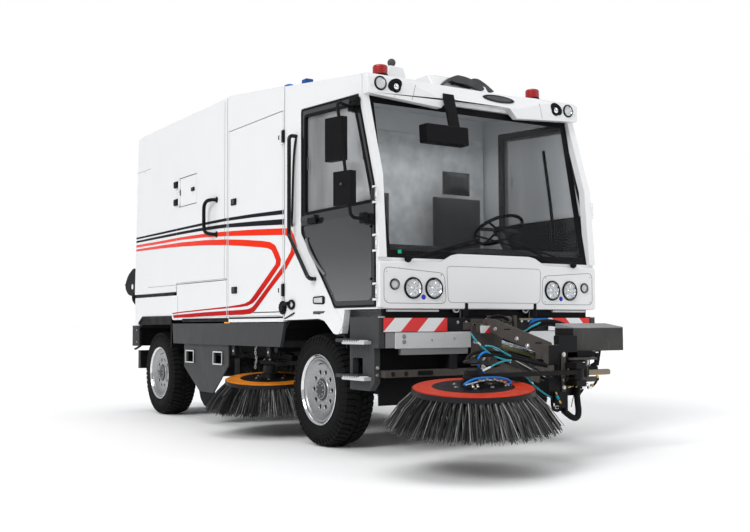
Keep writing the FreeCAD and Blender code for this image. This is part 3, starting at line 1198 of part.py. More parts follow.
def make_column():
    """The upright that the links carry, with the grey box and the swing arm's pivot."""
    x = s.arm_middle
    ear = s.ear_thick
    eye = s.link_eye
    lifts = (s.high_link_lift - s.link_drop, s.low_link_lift - s.link_drop)
    pieces = [block("column_bar", (x - s.column_bar_half, x + s.column_bar_half),
                    (s.column_front, s.column_rear), (s.column_foot, s.column_top))]
    pieces += [block("column_plate_%d" % k, (x - s.column_half, x + s.column_half),
                     (s.column_front, s.column_rear), (lift - eye * 2, lift + eye * 2))
               for k, lift in enumerate(lifts)]
    pieces.append(block("box_bracket", (x - s.column_bar_half, s.box_inner + s.plate),
                        (s.column_front, s.column_rear), (s.column_top - eye * 2, s.column_top)))
    for k, (lift, half) in enumerate(zip(lifts, (s.high_link_half, s.low_link_half))):
        for n, place in enumerate((x - half - ear - s.joint_gap, x + half + s.joint_gap)):
            pieces.append(block("column_ear_%d_%d" % (k, n), (place, place + ear),
                                (s.column_rear, s.link_front + eye), (lift - eye, lift + eye)))
        pieces.append(rod("column_pin_%d" % k, "x", s.link_pin,
                          (x - half - ear - s.joint_gap, x + half + ear + s.joint_gap),
                          (s.link_front, lift)))
    pieces.append(block("grey_box", (s.box_inner, s.box_outer), (s.box_front, s.box_rear),
                        (s.box_foot, s.box_top)))
    lug_low = s.swing_foot - s.joint_gap - s.swing_deep
    lug_high = s.swing_top + s.joint_gap
    for k, low in enumerate((lug_low, lug_high)):
        pieces.append(block("swing_lug_%d" % k, (s.swing_pivot_x - s.swing_boss,
                                                s.swing_pivot_x + s.swing_boss),
                            (s.swing_pivot_y - s.swing_boss, s.column_front),
                            (low, low + s.swing_deep)))
    pieces.append(rod("swing_pin", "z", s.swing_pin, (lug_low, lug_high + s.swing_deep),
                      (s.swing_pivot_x, s.swing_pivot_y)))
    node("arm_column", fuse("arm_column_solid", *pieces))


def make_swing_arm():
    """The arm that carries the front brush's motor."""
    middle = (s.swing_foot + s.swing_top) / 2
    px, py = s.swing_pivot_x, s.swing_pivot_y
    bx, by = s.front_brush_x, s.front_brush_y
    half = s.swing_half
    bar = outline("swing_bar", "top", [(px, py - half), (px, py + half), (bx, by + half),
                                       (bx, by - half)],
                  (middle, middle + s.swing_deep * 0.7))
    boss = rod("swing_boss", "z", s.swing_boss, (s.swing_foot, s.swing_top), (px, py))
    bore = rod("swing_bore", "z", s.swing_pin + s.pin_gap,
               (s.swing_foot - s.overrun, s.swing_top + s.overrun), (px, py))
    at = (s.front_brush_x, s.front_brush_y, s.front_brush_z)
    motor = make_motor("front_motor", at, -1)
    shaft_room = turned("front_shaft_room", [(-s.overrun, 0), (-s.overrun, s.brush_shaft
                                                               + s.pin_gap),
                                             (s.brush_shaft_long + s.motor_gap, s.brush_shaft
                                              + s.pin_gap),
                                             (s.brush_shaft_long + s.motor_gap, 0)],
                        "z", at, lean_towards(-1))
    node("swing_arm", cut("swing_arm_solid", fuse("swing_arm_body", bar, boss, motor),
                          bore, shaft_room))
    node("front_brush", make_brush("front", at, -1))


def make_side_brush(label, side):
    """A gutter brush between the axles, on an arm that swings from the frame."""
    px, py = s.side_pivot_x * -side, s.side_pivot_y
    at = (s.side_brush_x * -side, s.side_brush_y, s.side_brush_z)
    top = s.rail_floor - s.joint_gap
    low = top - s.side_arm_deep
    half = s.swing_half
    dx = s.side_brush_x.value - s.side_pivot_x.value
    dy = s.side_brush_y.value - s.side_pivot_y.value
    run = math.hypot(dx, dy)
    nx, ny = -dy / run * -side, dx / run
    bar = outline("side_bar_" + label, "top", [
        (px + half * nx, py + half * ny), (at[0] + half * nx, at[1] + half * ny),
        (at[0] - half * nx, at[1] - half * ny), (px - half * nx, py - half * ny)], (low, top))
    boss = rod("side_boss_" + label, "z", s.swing_boss, (low, top), (px, py))
    bore = rod("side_bore_" + label, "z", s.swing_pin + s.pin_gap,
               (low - s.overrun, top + s.overrun), (px, py))
    motor = make_motor("side_motor_" + label, at, side)
    node("side_arm_" + label, cut("side_arm_%s_solid" % label,
                                  fuse("side_arm_%s_body" % label, bar, boss, motor), bore))
    node("side_brush_" + label, make_brush("side_" + label, at, side))
    outer = s.rail_outer * side
    pad = sorted((outer, (-s.side_pivot_x + s.swing_boss) * side), key=value_of)
    return fuse("side_bracket_" + label,
                block("side_pad_" + label, pad, (py - s.swing_boss, py + s.swing_boss),
                      (s.rail_floor, s.rail_floor + s.wall)),
                rod("side_pin_" + label, "z", s.swing_pin, (low - s.plate, s.rail_floor + s.wall),
                    (px, py)))


def make_roller():
    """The wide roller brush under the hopper and the hanger that holds its shaft."""
    back = s.roller_back
    core = rod("roller_core", "x", s.roller_radius, (-s.roller_half, s.roller_half),
               (back, s.roller_lift))
    reach = s.roller_half + s.joint_gap * 2 + s.roller_arm_thick
    shaft = rod("roller_shaft", "x", s.roller_shaft, (-reach, reach), (back, s.roller_lift))
    node("roller_brush", fuse("roller_solid", core, shaft))
    inner = s.roller_half + s.joint_gap * 2
    outer = inner + s.roller_arm_thick
    half = s.roller_arm_half
    arm = block("hanger_arm", (-outer, -inner), (back - half, back + half),
                (s.roller_lift - half, s.rail_floor))
    beam = block("hanger_beam", (-outer, outer), (back - half, back + half),
                 (s.rail_floor - s.plate * 2, s.rail_floor))
    hole = rod("hanger_bore", "x", s.roller_shaft + s.pin_gap, (-outer - s.overrun,
                                                              outer + s.overrun),
               (back, s.roller_lift))
    hanger = cut("hanger_bored", fuse("hanger_body", beam, *both("hanger_arm", arm)), hole)
    node("roller_hanger", hanger)


for label, side in SIDES:
    make_wheel("front_" + label, side, s.front_axle_back)
    make_wheel("rear_" + label, side, rear_axle_back)
    make_knuckle(label, side)
    make_door(label, side)
make_axles()
make_frame()
make_cab()
make_cab_inside()
make_engine_bay()
make_hopper()
make_rear_base()
make_skirts()
make_tail_bumper()
make_front_bumper()
make_corner_steps()
make_handrails()
make_lamps()
make_wipers()
make_nose_mirror()
make_front_arm()
make_column()
make_swing_arm()
node("side_brush_brackets", *[make_side_brush(label, side) for label, side in SIDES])
make_roller()

doc.recompute()
for thing in doc.Objects:
    if "Invalid" in thing.State or "Error" in thing.State:
        raise RuntimeError("%s did not compute: %s" % (thing.Name, thing.State))
for thing in nodes:
    shape = thing.Shape
    if shape.isNull() or not shape.isValid():
        raise RuntimeError("%s has no valid shape" % thing.Label)
    shape.exportStep("parts/%s.step" % thing.Label)
    print("%-22s %2d solids %12.0f mm3" % (thing.Label, len(shape.Solids), shape.Volume))
print("%d nodes" % len(nodes))
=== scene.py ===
"""Looks of a compact street sweeper truck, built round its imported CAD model."""

import math
import random

import bmesh
import bpy
from bpy.props import FloatProperty, FloatVectorProperty, IntProperty, PointerProperty
from mathutils import Matrix, Vector


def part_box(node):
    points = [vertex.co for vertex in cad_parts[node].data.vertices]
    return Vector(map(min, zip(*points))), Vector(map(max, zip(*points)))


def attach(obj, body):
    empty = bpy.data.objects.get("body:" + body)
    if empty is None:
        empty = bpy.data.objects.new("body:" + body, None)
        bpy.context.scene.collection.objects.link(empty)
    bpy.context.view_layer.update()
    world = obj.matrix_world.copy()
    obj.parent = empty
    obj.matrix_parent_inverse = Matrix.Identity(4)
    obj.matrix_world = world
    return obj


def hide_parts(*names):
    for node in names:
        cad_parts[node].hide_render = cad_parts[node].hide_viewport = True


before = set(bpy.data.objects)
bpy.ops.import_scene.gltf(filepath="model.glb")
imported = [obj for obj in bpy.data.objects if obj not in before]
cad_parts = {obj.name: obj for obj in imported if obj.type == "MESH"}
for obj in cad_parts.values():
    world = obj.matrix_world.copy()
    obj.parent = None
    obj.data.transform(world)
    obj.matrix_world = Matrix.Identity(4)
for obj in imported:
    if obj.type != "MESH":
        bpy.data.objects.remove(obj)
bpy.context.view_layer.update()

bl_info = {
    "name": "Street sweeper truck",
    "version": (1, 0, 0),
    "blender": (4, 5, 0),
    "location": "View3D > Sidebar > Sweeper",
    "description": "Dresses the packed street sweeper with its visible pieces and finishes",
    "category": "Object",
}

# The cab's front face stands 20 mm behind the front panel's foremost point.
CAB_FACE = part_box("front_panel")[0].y + 0.020
SIDES = (("right", -1), ("left", 1))


def at(x, y, z):
    """A place given from the cab's front face, the truck's middle and the ground."""
    return Vector((x, y + CAB_FACE, z))


def tone_choice(name, description, default):
    """A colour that the panel shows."""
    return FloatVectorProperty(name=name, description=description, subtype="COLOR", size=3,
                               default=default, min=0, max=1)


def length_choice(name, description, default, low, high):
    """A length in metres that the panel shows."""
    return FloatProperty(name=name, description=description, subtype="DISTANCE", unit="LENGTH",
                         default=default, min=low, max=high)


class SweeperColours(bpy.types.PropertyGroup):
    """Colours of the truck's finishes."""

    body_white: tone_choice("Body white", "Paint of the cab, hopper and doors",
                            (0.80, 0.81, 0.82))
    skirt_grey: tone_choice("Skirt grey", "Paint of the skirts, guard plates and corner steps",
                            (0.046, 0.047, 0.049))
    frame_black: tone_choice("Frame black", "Paint of the frame and of the brush arms",
                             (0.011, 0.011, 0.013))
    stripe_navy: tone_choice("Stripe navy", "The two upper stripes", (0.005, 0.005, 0.011))
    stripe_bright: tone_choice("Stripe red", "The upper run of the two red stripes",
                               (0.80, 0.024, 0.002))
    stripe_deep: tone_choice("Stripe deep red", "The lower run of the two red stripes",
                             (0.44, 0.0, 0.0))
    brush_disc_red: tone_choice("Front disc red", "Plate of the front brush",
                                (0.56, 0.036, 0.008))
    brush_disc_amber: tone_choice("Side disc orange", "Plate of the gutter brushes",
                                  (0.85, 0.26, 0.015))
    bristle_grey: tone_choice("Bristle grey", "Brush bristles", (0.050, 0.050, 0.050))
    hose_blue: tone_choice("Hose blue", "Water hoses of the front brush", (0.0, 0.16, 0.55))


class SweeperSizes(bpy.types.PropertyGroup):
    """Sizes of the dressed pieces."""

    panel_edge: length_choice("Panel edge", "Rounding of the painted panels' edges",
                              0.007, 0.001, 0.03)
    plate_edge: length_choice("Plate edge", "Rounding of the steel plates' edges",
                              0.003, 0.0005, 0.01)
    decal_lift: length_choice("Stripe height", "How far the stripes stand off the paint",
                              0.0012, 0.0002, 0.004)
    bristle_rows: IntProperty(
        name="Bristles in a sector", description="Strands in each of a brush's twelve sectors",
        default=190, min=20, max=400)
    tread_pitches: IntProperty(
        name="Tread pitches", description="Repeats of the tread pattern round a tyre",
        default=54, min=20, max=90)


def colours():
    return bpy.context.scene.sweeper_colours


def sizes():
    return bpy.context.scene.sweeper_sizes


# Finishes

NOISE, WAVE, CELLS = "ShaderNodeTexNoise", "ShaderNodeTexWave", "ShaderNodeTexVoronoi"
THIN_GLASS_IOR = 1.12  # bends the view behind a pane less than solid glass would


def shader_of(name):
    """A new material with its node tree and its surface shader."""
    finish = bpy.data.materials.new(name.replace(" ", "_"))
    finish.use_nodes = True
    tree = finish.node_tree
    return finish, tree, tree.nodes["Principled BSDF"]


def feed(shader, **sources):
    """Gives a shader's inputs, named with _ for a space, a value or a socket each."""
    for name, source in sources.items():
        socket = shader.inputs[name.replace("_", " ")]
        if isinstance(source, bpy.types.NodeSocket):
            shader.id_data.links.new(source, socket)
        else:
            socket.default_value = source


def pattern(tree, kind, scale, stretch=(1, 1, 1), detail=4.0, turn=(0, 0, 0), out="Fac"):
    """A noise, wave or cell texture over the piece's own coordinates in metres."""
    coordinates = tree.nodes.new("ShaderNodeTexCoord")
    mapping = tree.nodes.new("ShaderNodeMapping")
    mapping.inputs["Scale"].default_value = stretch
    mapping.inputs["Rotation"].default_value = turn
    tree.links.new(coordinates.outputs["Object"], mapping.inputs["Vector"])
    texture = tree.nodes.new(kind)
    texture.inputs["Scale"].default_value = scale
    if "Detail" in texture.inputs:
        texture.inputs["Detail"].default_value = detail
    tree.links.new(mapping.outputs["Vector"], texture.inputs["Vector"])
    return texture.outputs[out]


def ramp(tree, source, stops):
    """A colour ramp over a texture's value; stops are (place, colour) pairs."""
    node = tree.nodes.new("ShaderNodeValToRGB")
    elements = node.color_ramp.elements
    while len(elements) < len(stops):
        elements.new(0.5)
    for element, (place, colour) in zip(elements, stops):
        element.position = place
        element.color = (*colour, 1)
    tree.links.new(source, node.inputs["Fac"])
    return node.outputs["Color"]


def grey_ramp(tree, source, low, high, start=0.3, end=0.7):
    return ramp(tree, source, [(start, (low,) * 3), (end, (high,) * 3)])


def shade(colour, share):
    return tuple(min(1.0, part * share) for part in colour)


def product(tree, one, two):
    node = tree.nodes.new("ShaderNodeMath")
    node.operation = "MULTIPLY"
    tree.links.new(one, node.inputs[0])
    tree.links.new(two, node.inputs[1])
    return node.outputs[0]


def bumped(tree, shader, height, strength, distance):
    bump = tree.nodes.new("ShaderNodeBump")
    bump.inputs["Strength"].default_value = strength
    bump.inputs["Distance"].default_value = distance
    tree.links.new(height, bump.inputs["Height"])
    tree.links.new(bump.outputs["Normal"], shader.inputs["Normal"])


def blended(tree, factor, first, second):
    """One colour over another by a factor; a colour may be a socket."""
    mix = tree.nodes.new("ShaderNodeMix")
    mix.data_type = "RGBA"
    tree.links.new(factor, mix.inputs[0])
    for socket, value in ((mix.inputs[6], first), (mix.inputs[7], second)):
        if isinstance(value, bpy.types.NodeSocket):
            tree.links.new(value, socket)
        else:
            socket.default_value = (*value, 1)
    return mix.outputs[2]


def height_share(tree, low, high, axis="Z"):
    """0 at low metres up an axis and 1 at high, from the piece's own coordinates."""
    coordinates = tree.nodes.new("ShaderNodeTexCoord")
    parts = tree.nodes.new("ShaderNodeSeparateXYZ")
    tree.links.new(coordinates.outputs["Object"], parts.inputs["Vector"])
    reach = tree.nodes.new("ShaderNodeMapRange")
    reach.inputs["From Min"].default_value = low
    reach.inputs["From Max"].default_value = high
    tree.links.new(parts.outputs[axis], reach.inputs["Value"])
    return reach.outputs["Result"]


def gloss_paint(name, colour, rough=0.24, dust=0.03):
    """Clear-coated paint with a faint ripple and a little road dust low down."""
    finish, tree, shader = shader_of(name)
    clouds = pattern(tree, NOISE, 3.0)
    tone = ramp(tree, clouds, [(0.3, shade(colour, 0.99)), (0.7, colour)])
    specks = grey_ramp(tree, pattern(tree, NOISE, 38.0, detail=6.0), 0.0, dust, 0.45, 0.75)
    share = product(tree, height_share(tree, 1.5, 0.6), specks)
    feed(shader, Base_Color=blended(tree, share, tone, (0.30, 0.28, 0.25)),
         Roughness=grey_ramp(tree, clouds, rough, rough + 0.02), Coat_Weight=0.35,
         Coat_Roughness=0.08)
    bumped(tree, shader, pattern(tree, NOISE, 220.0, detail=1.0), 0.03, 0.0004)
    return finish


def satin_paint(name, colour, rough=0.45, metallic=0.0, grain=420.0):
    """Powder-coated steel: a fine grain, scuffs and slightly rubbed patches."""
    finish, tree, shader = shader_of(name)
    clouds = pattern(tree, NOISE, 5.0, detail=8.0)
    scuffs = pattern(tree, NOISE, 26.0, stretch=(1, 1, 0.25), detail=10.0)
    tone = ramp(tree, clouds, [(0.35, shade(colour, 0.85)), (0.7, shade(colour, 1.12))])
    rubbed = grey_ramp(tree, scuffs, 0.0, 0.25, 0.56, 0.75)
    feed(shader, Base_Color=blended(tree, rubbed, tone, shade(colour, 2.2)),
         Roughness=grey_ramp(tree, clouds, rough - 0.08, rough + 0.12), Metallic=metallic,
         Specular_IOR_Level=0.18)
    bumped(tree, shader, pattern(tree, NOISE, grain, detail=2.0), 0.12, 0.0006)
    return finish


def bare_metal(name, colour, rough=0.28, stretch=(1, 1, 1), scratch=0.18, metallic=1.0):
    """Brushed or machined metal with fine lines along one direction."""
    finish, tree, shader = shader_of(name)
    lines = pattern(tree, NOISE, 60.0, stretch=stretch, detail=8.0)
    feed(shader, Base_Color=ramp(tree, lines, [(0.3, shade(colour, 0.82)), (0.7, colour)]),
         Roughness=grey_ramp(tree, lines, rough - 0.06, rough + scratch), Metallic=metallic)
    bumped(tree, shader, lines, 0.08, 0.0005)
    return finish


def moulded(name, colour, rough=0.5, grain=900.0, bump=0.2, coat=0.0):
    """Moulded plastic or rubber with a fine grain and faint mottling."""
    finish, tree, shader = shader_of(name)
    clouds = pattern(tree, NOISE, 9.0, detail=6.0)
    feed(shader, Base_Color=ramp(tree, clouds, [(0.3, shade(colour, 0.8)),
                                                (0.75, shade(colour, 1.15))]),
         Roughness=grey_ramp(tree, clouds, rough - 0.05, rough + 0.12), Coat_Weight=coat,
         Specular_IOR_Level=0.10)
    bumped(tree, shader, pattern(tree, NOISE, grain, detail=3.0), bump, 0.0005)
    return finish


def tinted_glass(name, tint):
    """Glass with a body tint and barely visible smears."""
    finish, tree, shader = shader_of(name)
    smears = pattern(tree, NOISE, 2.5, detail=5.0)
    feed(shader, Base_Color=ramp(tree, smears, [(0.3, shade(tint, 0.94)), (0.7, tint)]),
         Roughness=grey_ramp(tree, smears, 0.02, 0.05), Transmission_Weight=1.0,
         IOR=THIN_GLASS_IOR)
    return finish


def graded_pane(name):
    """The door's lower pane, near black above and paler low down, where painted light stands in
    for the lit step showing through.
    """
    finish, tree, shader = shader_of(name)
    share = height_share(tree, 1.75, 1.10)
    feed(shader, Base_Color=ramp(tree, share, [
        (0.0, (0.016, 0.017, 0.018)), (0.45, (0.035, 0.037, 0.039)), (1.0, (0.11, 0.115, 0.12))]),
        Coat_Weight=0.6,
        Roughness=grey_ramp(tree, pattern(tree, NOISE, 4.0, detail=6.0), 0.06, 0.14))
    return finish


def film(name, low, high, far):
    """Printed film of the stripes: one colour low on the side, others above and far back."""
    finish, tree, shader = shader_of(name)
    share = height_share(tree, 1.15, 1.62)
    back = height_share(tree, 2.4 + CAB_FACE, 4.6 + CAB_FACE, "Y")
    above = blended(tree, back, tuple(high), tuple(far))
    cloud = pattern(tree, NOISE, 12.0, detail=2.0)
    feed(shader, Base_Color=blended(tree, share, tuple(low), above), Specular_IOR_Level=0.06,
         Roughness=grey_ramp(tree, cloud, 0.38, 0.46))
    bumped(tree, shader, pattern(tree, NOISE, 220.0, detail=1.0), 0.03, 0.0004)
    return finish


def worn_disc(name, colour):
    """A brush plate's paint, scratched in rings by its use."""
    finish, tree, shader = shader_of(name)
    scratches = pattern(tree, NOISE, 16.0, stretch=(1, 1, 0.1), detail=12.0)
    tone = ramp(tree, scratches, [(0.35, shade(colour, 0.72)), (0.65, colour)])
    chips = pattern(tree, CELLS, 90.0, out="Distance")
    worn = grey_ramp(tree, chips, 0.5, 0.0, 0.02, 0.08)
    feed(shader, Base_Color=blended(tree, worn, tone, (0.06, 0.05, 0.045)),
         Roughness=grey_ramp(tree, scratches, 0.32, 0.55), Specular_IOR_Level=0.15)
    bumped(tree, shader, scratches, 0.1, 0.0008)
    return finish


def bristle_finish(name, colour):
    """Plastic strands from near black to worn grey, one tone to a strand."""
    finish, tree, shader = shader_of(name)
    tone = tree.nodes.new("ShaderNodeAttribute")
    tone.attribute_name = STRAND_TONE
    streaks = pattern(tree, NOISE, 45.0, stretch=(1, 1, 0.2), detail=6.0)
    strand = ramp(tree, tone.outputs["Fac"], [(0.0, shade(colour, 0.35)), (0.6, colour),
                                              (1.0, shade(colour, 6.5))])
    feed(shader, Base_Color=blended(tree, grey_ramp(tree, streaks, 0.0, 0.5), strand,
                                    shade(colour, 0.5)), Roughness=0.5, Specular_IOR_Level=0.2)
    return finish


def tyre_finish(name):
    """Tread and sidewall rubber with dust settled in patches."""
    finish, tree, shader = shader_of(name)
    dust = pattern(tree, NOISE, 14.0, detail=9.0)
    feed(shader, Base_Color=ramp(tree, dust, [(0.35, (0.0045, 0.0045, 0.005)),
                                              (0.75, (0.011, 0.0108, 0.0105))]),
         Roughness=grey_ramp(tree, dust, 0.6, 0.85), Specular_IOR_Level=0.10)
    bumped(tree, shader, pattern(tree, NOISE, 350.0), 0.25, 0.0008)
    return finish


def lens_finish(name, colour):
    """A coloured lens moulded with fine vertical flutes."""
    finish, tree, shader = shader_of(name)
    flutes = pattern(tree, WAVE, 70.0, detail=0.0)
    feed(shader, Base_Color=ramp(tree, flutes, [(0.0, shade(colour, 0.7)), (1.0, colour)]),
         Roughness=0.25, Coat_Weight=0.4)
    bumped(tree, shader, flutes, 0.4, 0.001)
    return finish


def cloth_finish(name, colour):
    """A close woven seat cloth."""
    finish, tree, shader = shader_of(name)
    weave = product(tree, pattern(tree, WAVE, 260.0, stretch=(1, 0.2, 1), detail=2.0),
                    pattern(tree, WAVE, 260.0, turn=(0, 1.5708, 0), detail=2.0))
    feed(shader, Base_Color=ramp(tree, weave, [(0.0, shade(colour, 0.6)),
                                               (1.0, shade(colour, 1.6))]),
         Roughness=0.9, Sheen_Weight=0.3)
    bumped(tree, shader, weave, 0.5, 0.0008)
    return finish


def sheen_painted_glass(name):
    """Side glass with a painted film of light that grows paler towards the front."""
    finish, tree, shader = shader_of(name)
    share = height_share(tree, CAB_FACE + 0.90, CAB_FACE + 0.15, "Y")
    streaks = pattern(tree, NOISE, 1.6, stretch=(1, 3.0, 0.5), detail=3.0)
    pale = ramp(tree, share, [(0.0, (0.34, 0.345, 0.35)), (0.55, (0.52, 0.53, 0.54)),
                              (1.0, (0.86, 0.87, 0.88))])
    feed(shader, Base_Color=blended(tree, grey_ramp(tree, streaks, 0.0, 0.35), pale,
                                    (0.95, 0.96, 0.97)), Transmission_Weight=0.62,
         Roughness=0.03, IOR=THIN_GLASS_IOR)
    return finish


def board_finish(name, way, spread, red_at):
    """Slanting red and white reflecting bars; a red one meets the board's top at a place."""
    finish, tree, shader = shader_of(name)
    bars = pattern(tree, WAVE, 1.0, detail=0.0)
    mapping = tree.nodes["Mapping"]
    mapping.inputs["Scale"].default_value = (spread, 0, -spread * way)
    mapping.inputs["Location"].default_value = (-spread * (red_at[0] - way * red_at[1]), 0, 0)
    bars.node.wave_profile = "SIN"
    bars.node.bands_direction = "DIAGONAL"
    edge = ramp(tree, bars, [(0.49, (0.72, 0.001, 0.002)), (0.51, (0.78, 0.79, 0.80))])
    cells = grey_ramp(tree, pattern(tree, CELLS, 260.0, out="Distance"), 0.0, 0.05, 0.2, 0.6)
    feed(shader, Base_Color=blended(tree, cells, edge, (0.25, 0.25, 0.26)), Roughness=0.35,
         Coat_Weight=0.2)
    return finish


# Each finish's maker and its values; a name in them is one of the panel's colours.
RECIPES = {
    "body white": (gloss_paint, "body_white"),
    "door black": (gloss_paint, (0.016, 0.017, 0.018), 0.12, 0.02),
    "skirt grey": (satin_paint, "skirt_grey", 0.48),
    "frame black": (satin_paint, "frame_black", 0.42),
    "arm grey": (satin_paint, (0.070, 0.062, 0.056)),
    "arm black": (satin_paint, (0.005, 0.005, 0.006)),
    # a darker copy of the box grey: painted shade for the box's right-facing side
    "box side": (satin_paint, (0.013, 0.013, 0.013), 0.5),
    "box grey": (satin_paint, (0.052, 0.052, 0.050), 0.5),
    "box lid": (satin_paint, (0.26, 0.26, 0.26), 0.5),
    "column grey": (satin_paint, (0.11, 0.107, 0.10), 0.5),
    "hub grey": (satin_paint, (0.07, 0.072, 0.075), 0.5),
    "olive paint": (satin_paint, (0.10, 0.10, 0.045), 0.40),
    "cast iron": (satin_paint, (0.035, 0.034, 0.033), 0.62, 0.2, 180),
    "stripe navy": (film, "stripe_navy", "stripe_navy", "stripe_navy"),
    "stripe red": (film, "stripe_deep", "stripe_bright", (0.78, 0.075, 0.06)),
    "disc red": (worn_disc, "brush_disc_red"),
    "disc orange": (worn_disc, "brush_disc_amber"),
    "bristles": (bristle_finish, "bristle_grey"),
    "tyre rubber": (tyre_finish,),
    "hose blue": (moulded, "hose_blue", 0.3, 300, 0.05, 0.3),
    "hose teal": (moulded, (0.02, 0.30, 0.38), 0.3, 300, 0.05, 0.3),
    "hose black": (moulded, (0.007, 0.007, 0.008), 0.45, 500, 0.1),
    "black plastic": (moulded, (0.006, 0.006, 0.007), 0.45),
    "black gloss": (moulded, (0.008, 0.008, 0.009), 0.15, 500, 0.02, 0.5),
    "seal rubber": (moulded, (0.007, 0.007, 0.008), 0.65),
    "tap yellow": (moulded, (0.80, 0.48, 0.01), 0.35, 300, 0.02, 0.3),
    "blue dot": (moulded, (0.02, 0.03, 0.55), 0.3, 300, 0.02, 0.4),
    "blue cap": (moulded, (0.01, 0.08, 0.30), 0.35, 300, 0.05, 0.3),
    "green mark": (moulded, (0.02, 0.45, 0.22), 0.4, 300, 0.02),
    "dash plastic": (moulded, (0.06, 0.062, 0.065), 0.6, 500, 0.3),
    "lining grey": (moulded, (0.80, 0.81, 0.82), 0.7, 300, 0.2),
    "door bar": (moulded, (0.20, 0.205, 0.21), 0.4),
    "amber glass": (moulded, (0.42, 0.40, 0.36), 0.2, 200, 0.1, 0.5),
    "dark cover": (moulded, (0.075, 0.077, 0.080), 0.4, 500, 0.1),
    "lamp shell": (moulded, (0.6, 0.61, 0.62), 0.2, 200, 0.05, 0.4),
    # grey of the strip set inside the hopper's gap: painted shade of the gap
    "seam grey": (moulded, (0.15, 0.152, 0.155), 0.6, 300, 0.05),
    "seam light": (moulded, (0.42, 0.42, 0.43), 0.6, 300, 0.05),
    "groove": (moulded, (0.12, 0.122, 0.125), 0.6, 300, 0.05),
    "rim silver": (bare_metal, (0.40, 0.41, 0.42), 0.30, (1, 1, 1), 0.2),
    "steel": (bare_metal, (0.70, 0.71, 0.72), 0.34, (1, 1, 14), 0.18, 0.45),
    "dark steel": (bare_metal, (0.30, 0.30, 0.30), 0.36, (1, 1, 14), 0.18, 0.6),
    "bronze": (bare_metal, (0.30, 0.25, 0.19), 0.40),
    "ram steel": (bare_metal, (0.36, 0.42, 0.50), 0.25),
    "zinc": (bare_metal, (0.70, 0.70, 0.68), 0.25),
    "chrome": (bare_metal, (0.88, 0.89, 0.90), 0.10, (1, 1, 1), 0.04),
    "brass": (bare_metal, (0.62, 0.42, 0.16), 0.28),
    "mirror face": (bare_metal, (0.80, 0.82, 0.84), 0.05, (1, 1, 1), 0.02),
    "screen glass": (tinted_glass, (0.84, 0.86, 0.87)),
    "lamp glass": (tinted_glass, (0.93, 0.95, 0.97)),
    "door glass": (sheen_painted_glass,),
    "door low pane": (graded_pane,),
    "beacon lens": (lens_finish, (0.42, 0.001, 0.001)),
    "amber lens": (lens_finish, (0.95, 0.36, 0.01)),
    "red lens": (lens_finish, (0.55, 0.01, 0.01)),
    "seat cloth": (cloth_finish, (0.055, 0.056, 0.06)),
    "board right": (board_finish, 1, 2.2, (-0.694, 0.976)),
    "board left": (board_finish, -1, 2.2, (0.627, 0.973)),
    "board middle": (board_finish, 1, 3.4, (-0.120, 0.915)),
}
FINISHES = {}


def finish_of(name):
    """One shared finish by name, made on first use."""
    if name not in FINISHES:
        maker, *values = RECIPES[name]
        FINISHES[name] = maker(name, *(getattr(colours(), value) if isinstance(value, str)
                                       else value for value in values))
    return FINISHES[name]


# Forms


def new_form():
    return bmesh.new()


def tag(faces, mat):
    for face in faces:
        face.material_index = mat


def once(things):
    """Each thing once, in the order of its first place, so that every run is the same."""
    return list(dict.fromkeys(things))


def faces_of(verts):
    return once(face for vert in verts for face in vert.link_faces)


def edges_of(verts):
    return once(edge for vert in verts for edge in vert.link_edges)


def round_edges(form, edges, width, steps=2):
    """Rounds edges; a width of zero leaves them sharp."""
    if width > 0 and edges:
        bmesh.ops.bevel(form, geom=edges, offset=width, offset_type="OFFSET",
                        segments=steps, profile=0.5, affect="EDGES", material=-1,
                        clamp_overlap=True)


def box_in(form, low, high, edge=0.0, mat=0, turn=None, steps=2):
    """A box between two corners, turned about its middle where a turn is given."""
    low, high = Vector(low), Vector(high)
    size = high - low
    matrix = Matrix.Translation((low + high) / 2)
    if turn:
        matrix = matrix @ turn.to_4x4()
    matrix = matrix @ Matrix.Diagonal((size.x, size.y, size.z, 1))
    made = bmesh.ops.create_cube(form, size=1.0, matrix=matrix)
    verts = made["verts"]
    tag(faces_of(verts), mat)
    round_edges(form, edges_of(verts), edge, steps)


def towards(direction):
    """The turn that lays the Z axis along a direction."""
    return Vector(direction).normalized().to_track_quat("Z", "Y").to_matrix().to_4x4()


def bar_in(form, start, end, radius, mat=0, sides=20, edge=0.0):
    """A round bar between two points."""
    start, end = Vector(start), Vector(end)
    run = end - start
    matrix = Matrix.Translation((start + end) / 2) @ towards(run)
    made = bmesh.ops.create_cone(form, cap_ends=True, segments=sides, radius1=radius,
                                 radius2=radius, depth=run.length, matrix=matrix)
    verts = made["verts"]
    tag(faces_of(verts), mat)
    if edge:
        caps = [f for f in faces_of(verts) if len(f.verts) > 4]
        round_edges(form, once(e for f in caps for e in f.edges), edge)


def lathe_in(form, profile, centre, axis, mat=0, steps=48):
    """A profile of (along the axis, radius) places turned about an axis."""
    axis = Vector(axis).normalized()
    centre = Vector(centre)
    matrix = Matrix.Translation(centre) @ towards(axis)
    verts = [form.verts.new(matrix @ Vector((radius, 0, along))) for along, radius in profile]
    edges = [form.edges.new(pair) for pair in zip(verts, verts[1:])]
    before = set(form.faces)
    bmesh.ops.spin(form, geom=verts + edges, cent=centre, axis=axis, angle=math.tau,
                   steps=steps, use_merge=True, use_duplicate=False)
    made = [face for face in form.faces if face not in before]
    bmesh.ops.remove_doubles(form, verts=once(v for f in made for v in f.verts), dist=1e-6)
    made = [face for face in form.faces if face not in before]
    bmesh.ops.recalc_face_normals(form, faces=made)
    tag(made, mat)


def corners_in(form, outline, axis, depth):
    """An outline's corners as verts, with their depth put in along x, y or z."""
    number = "xyz".index(axis)
    return [form.verts.new((*corner[:number], depth, *corner[number:])) for corner in outline]


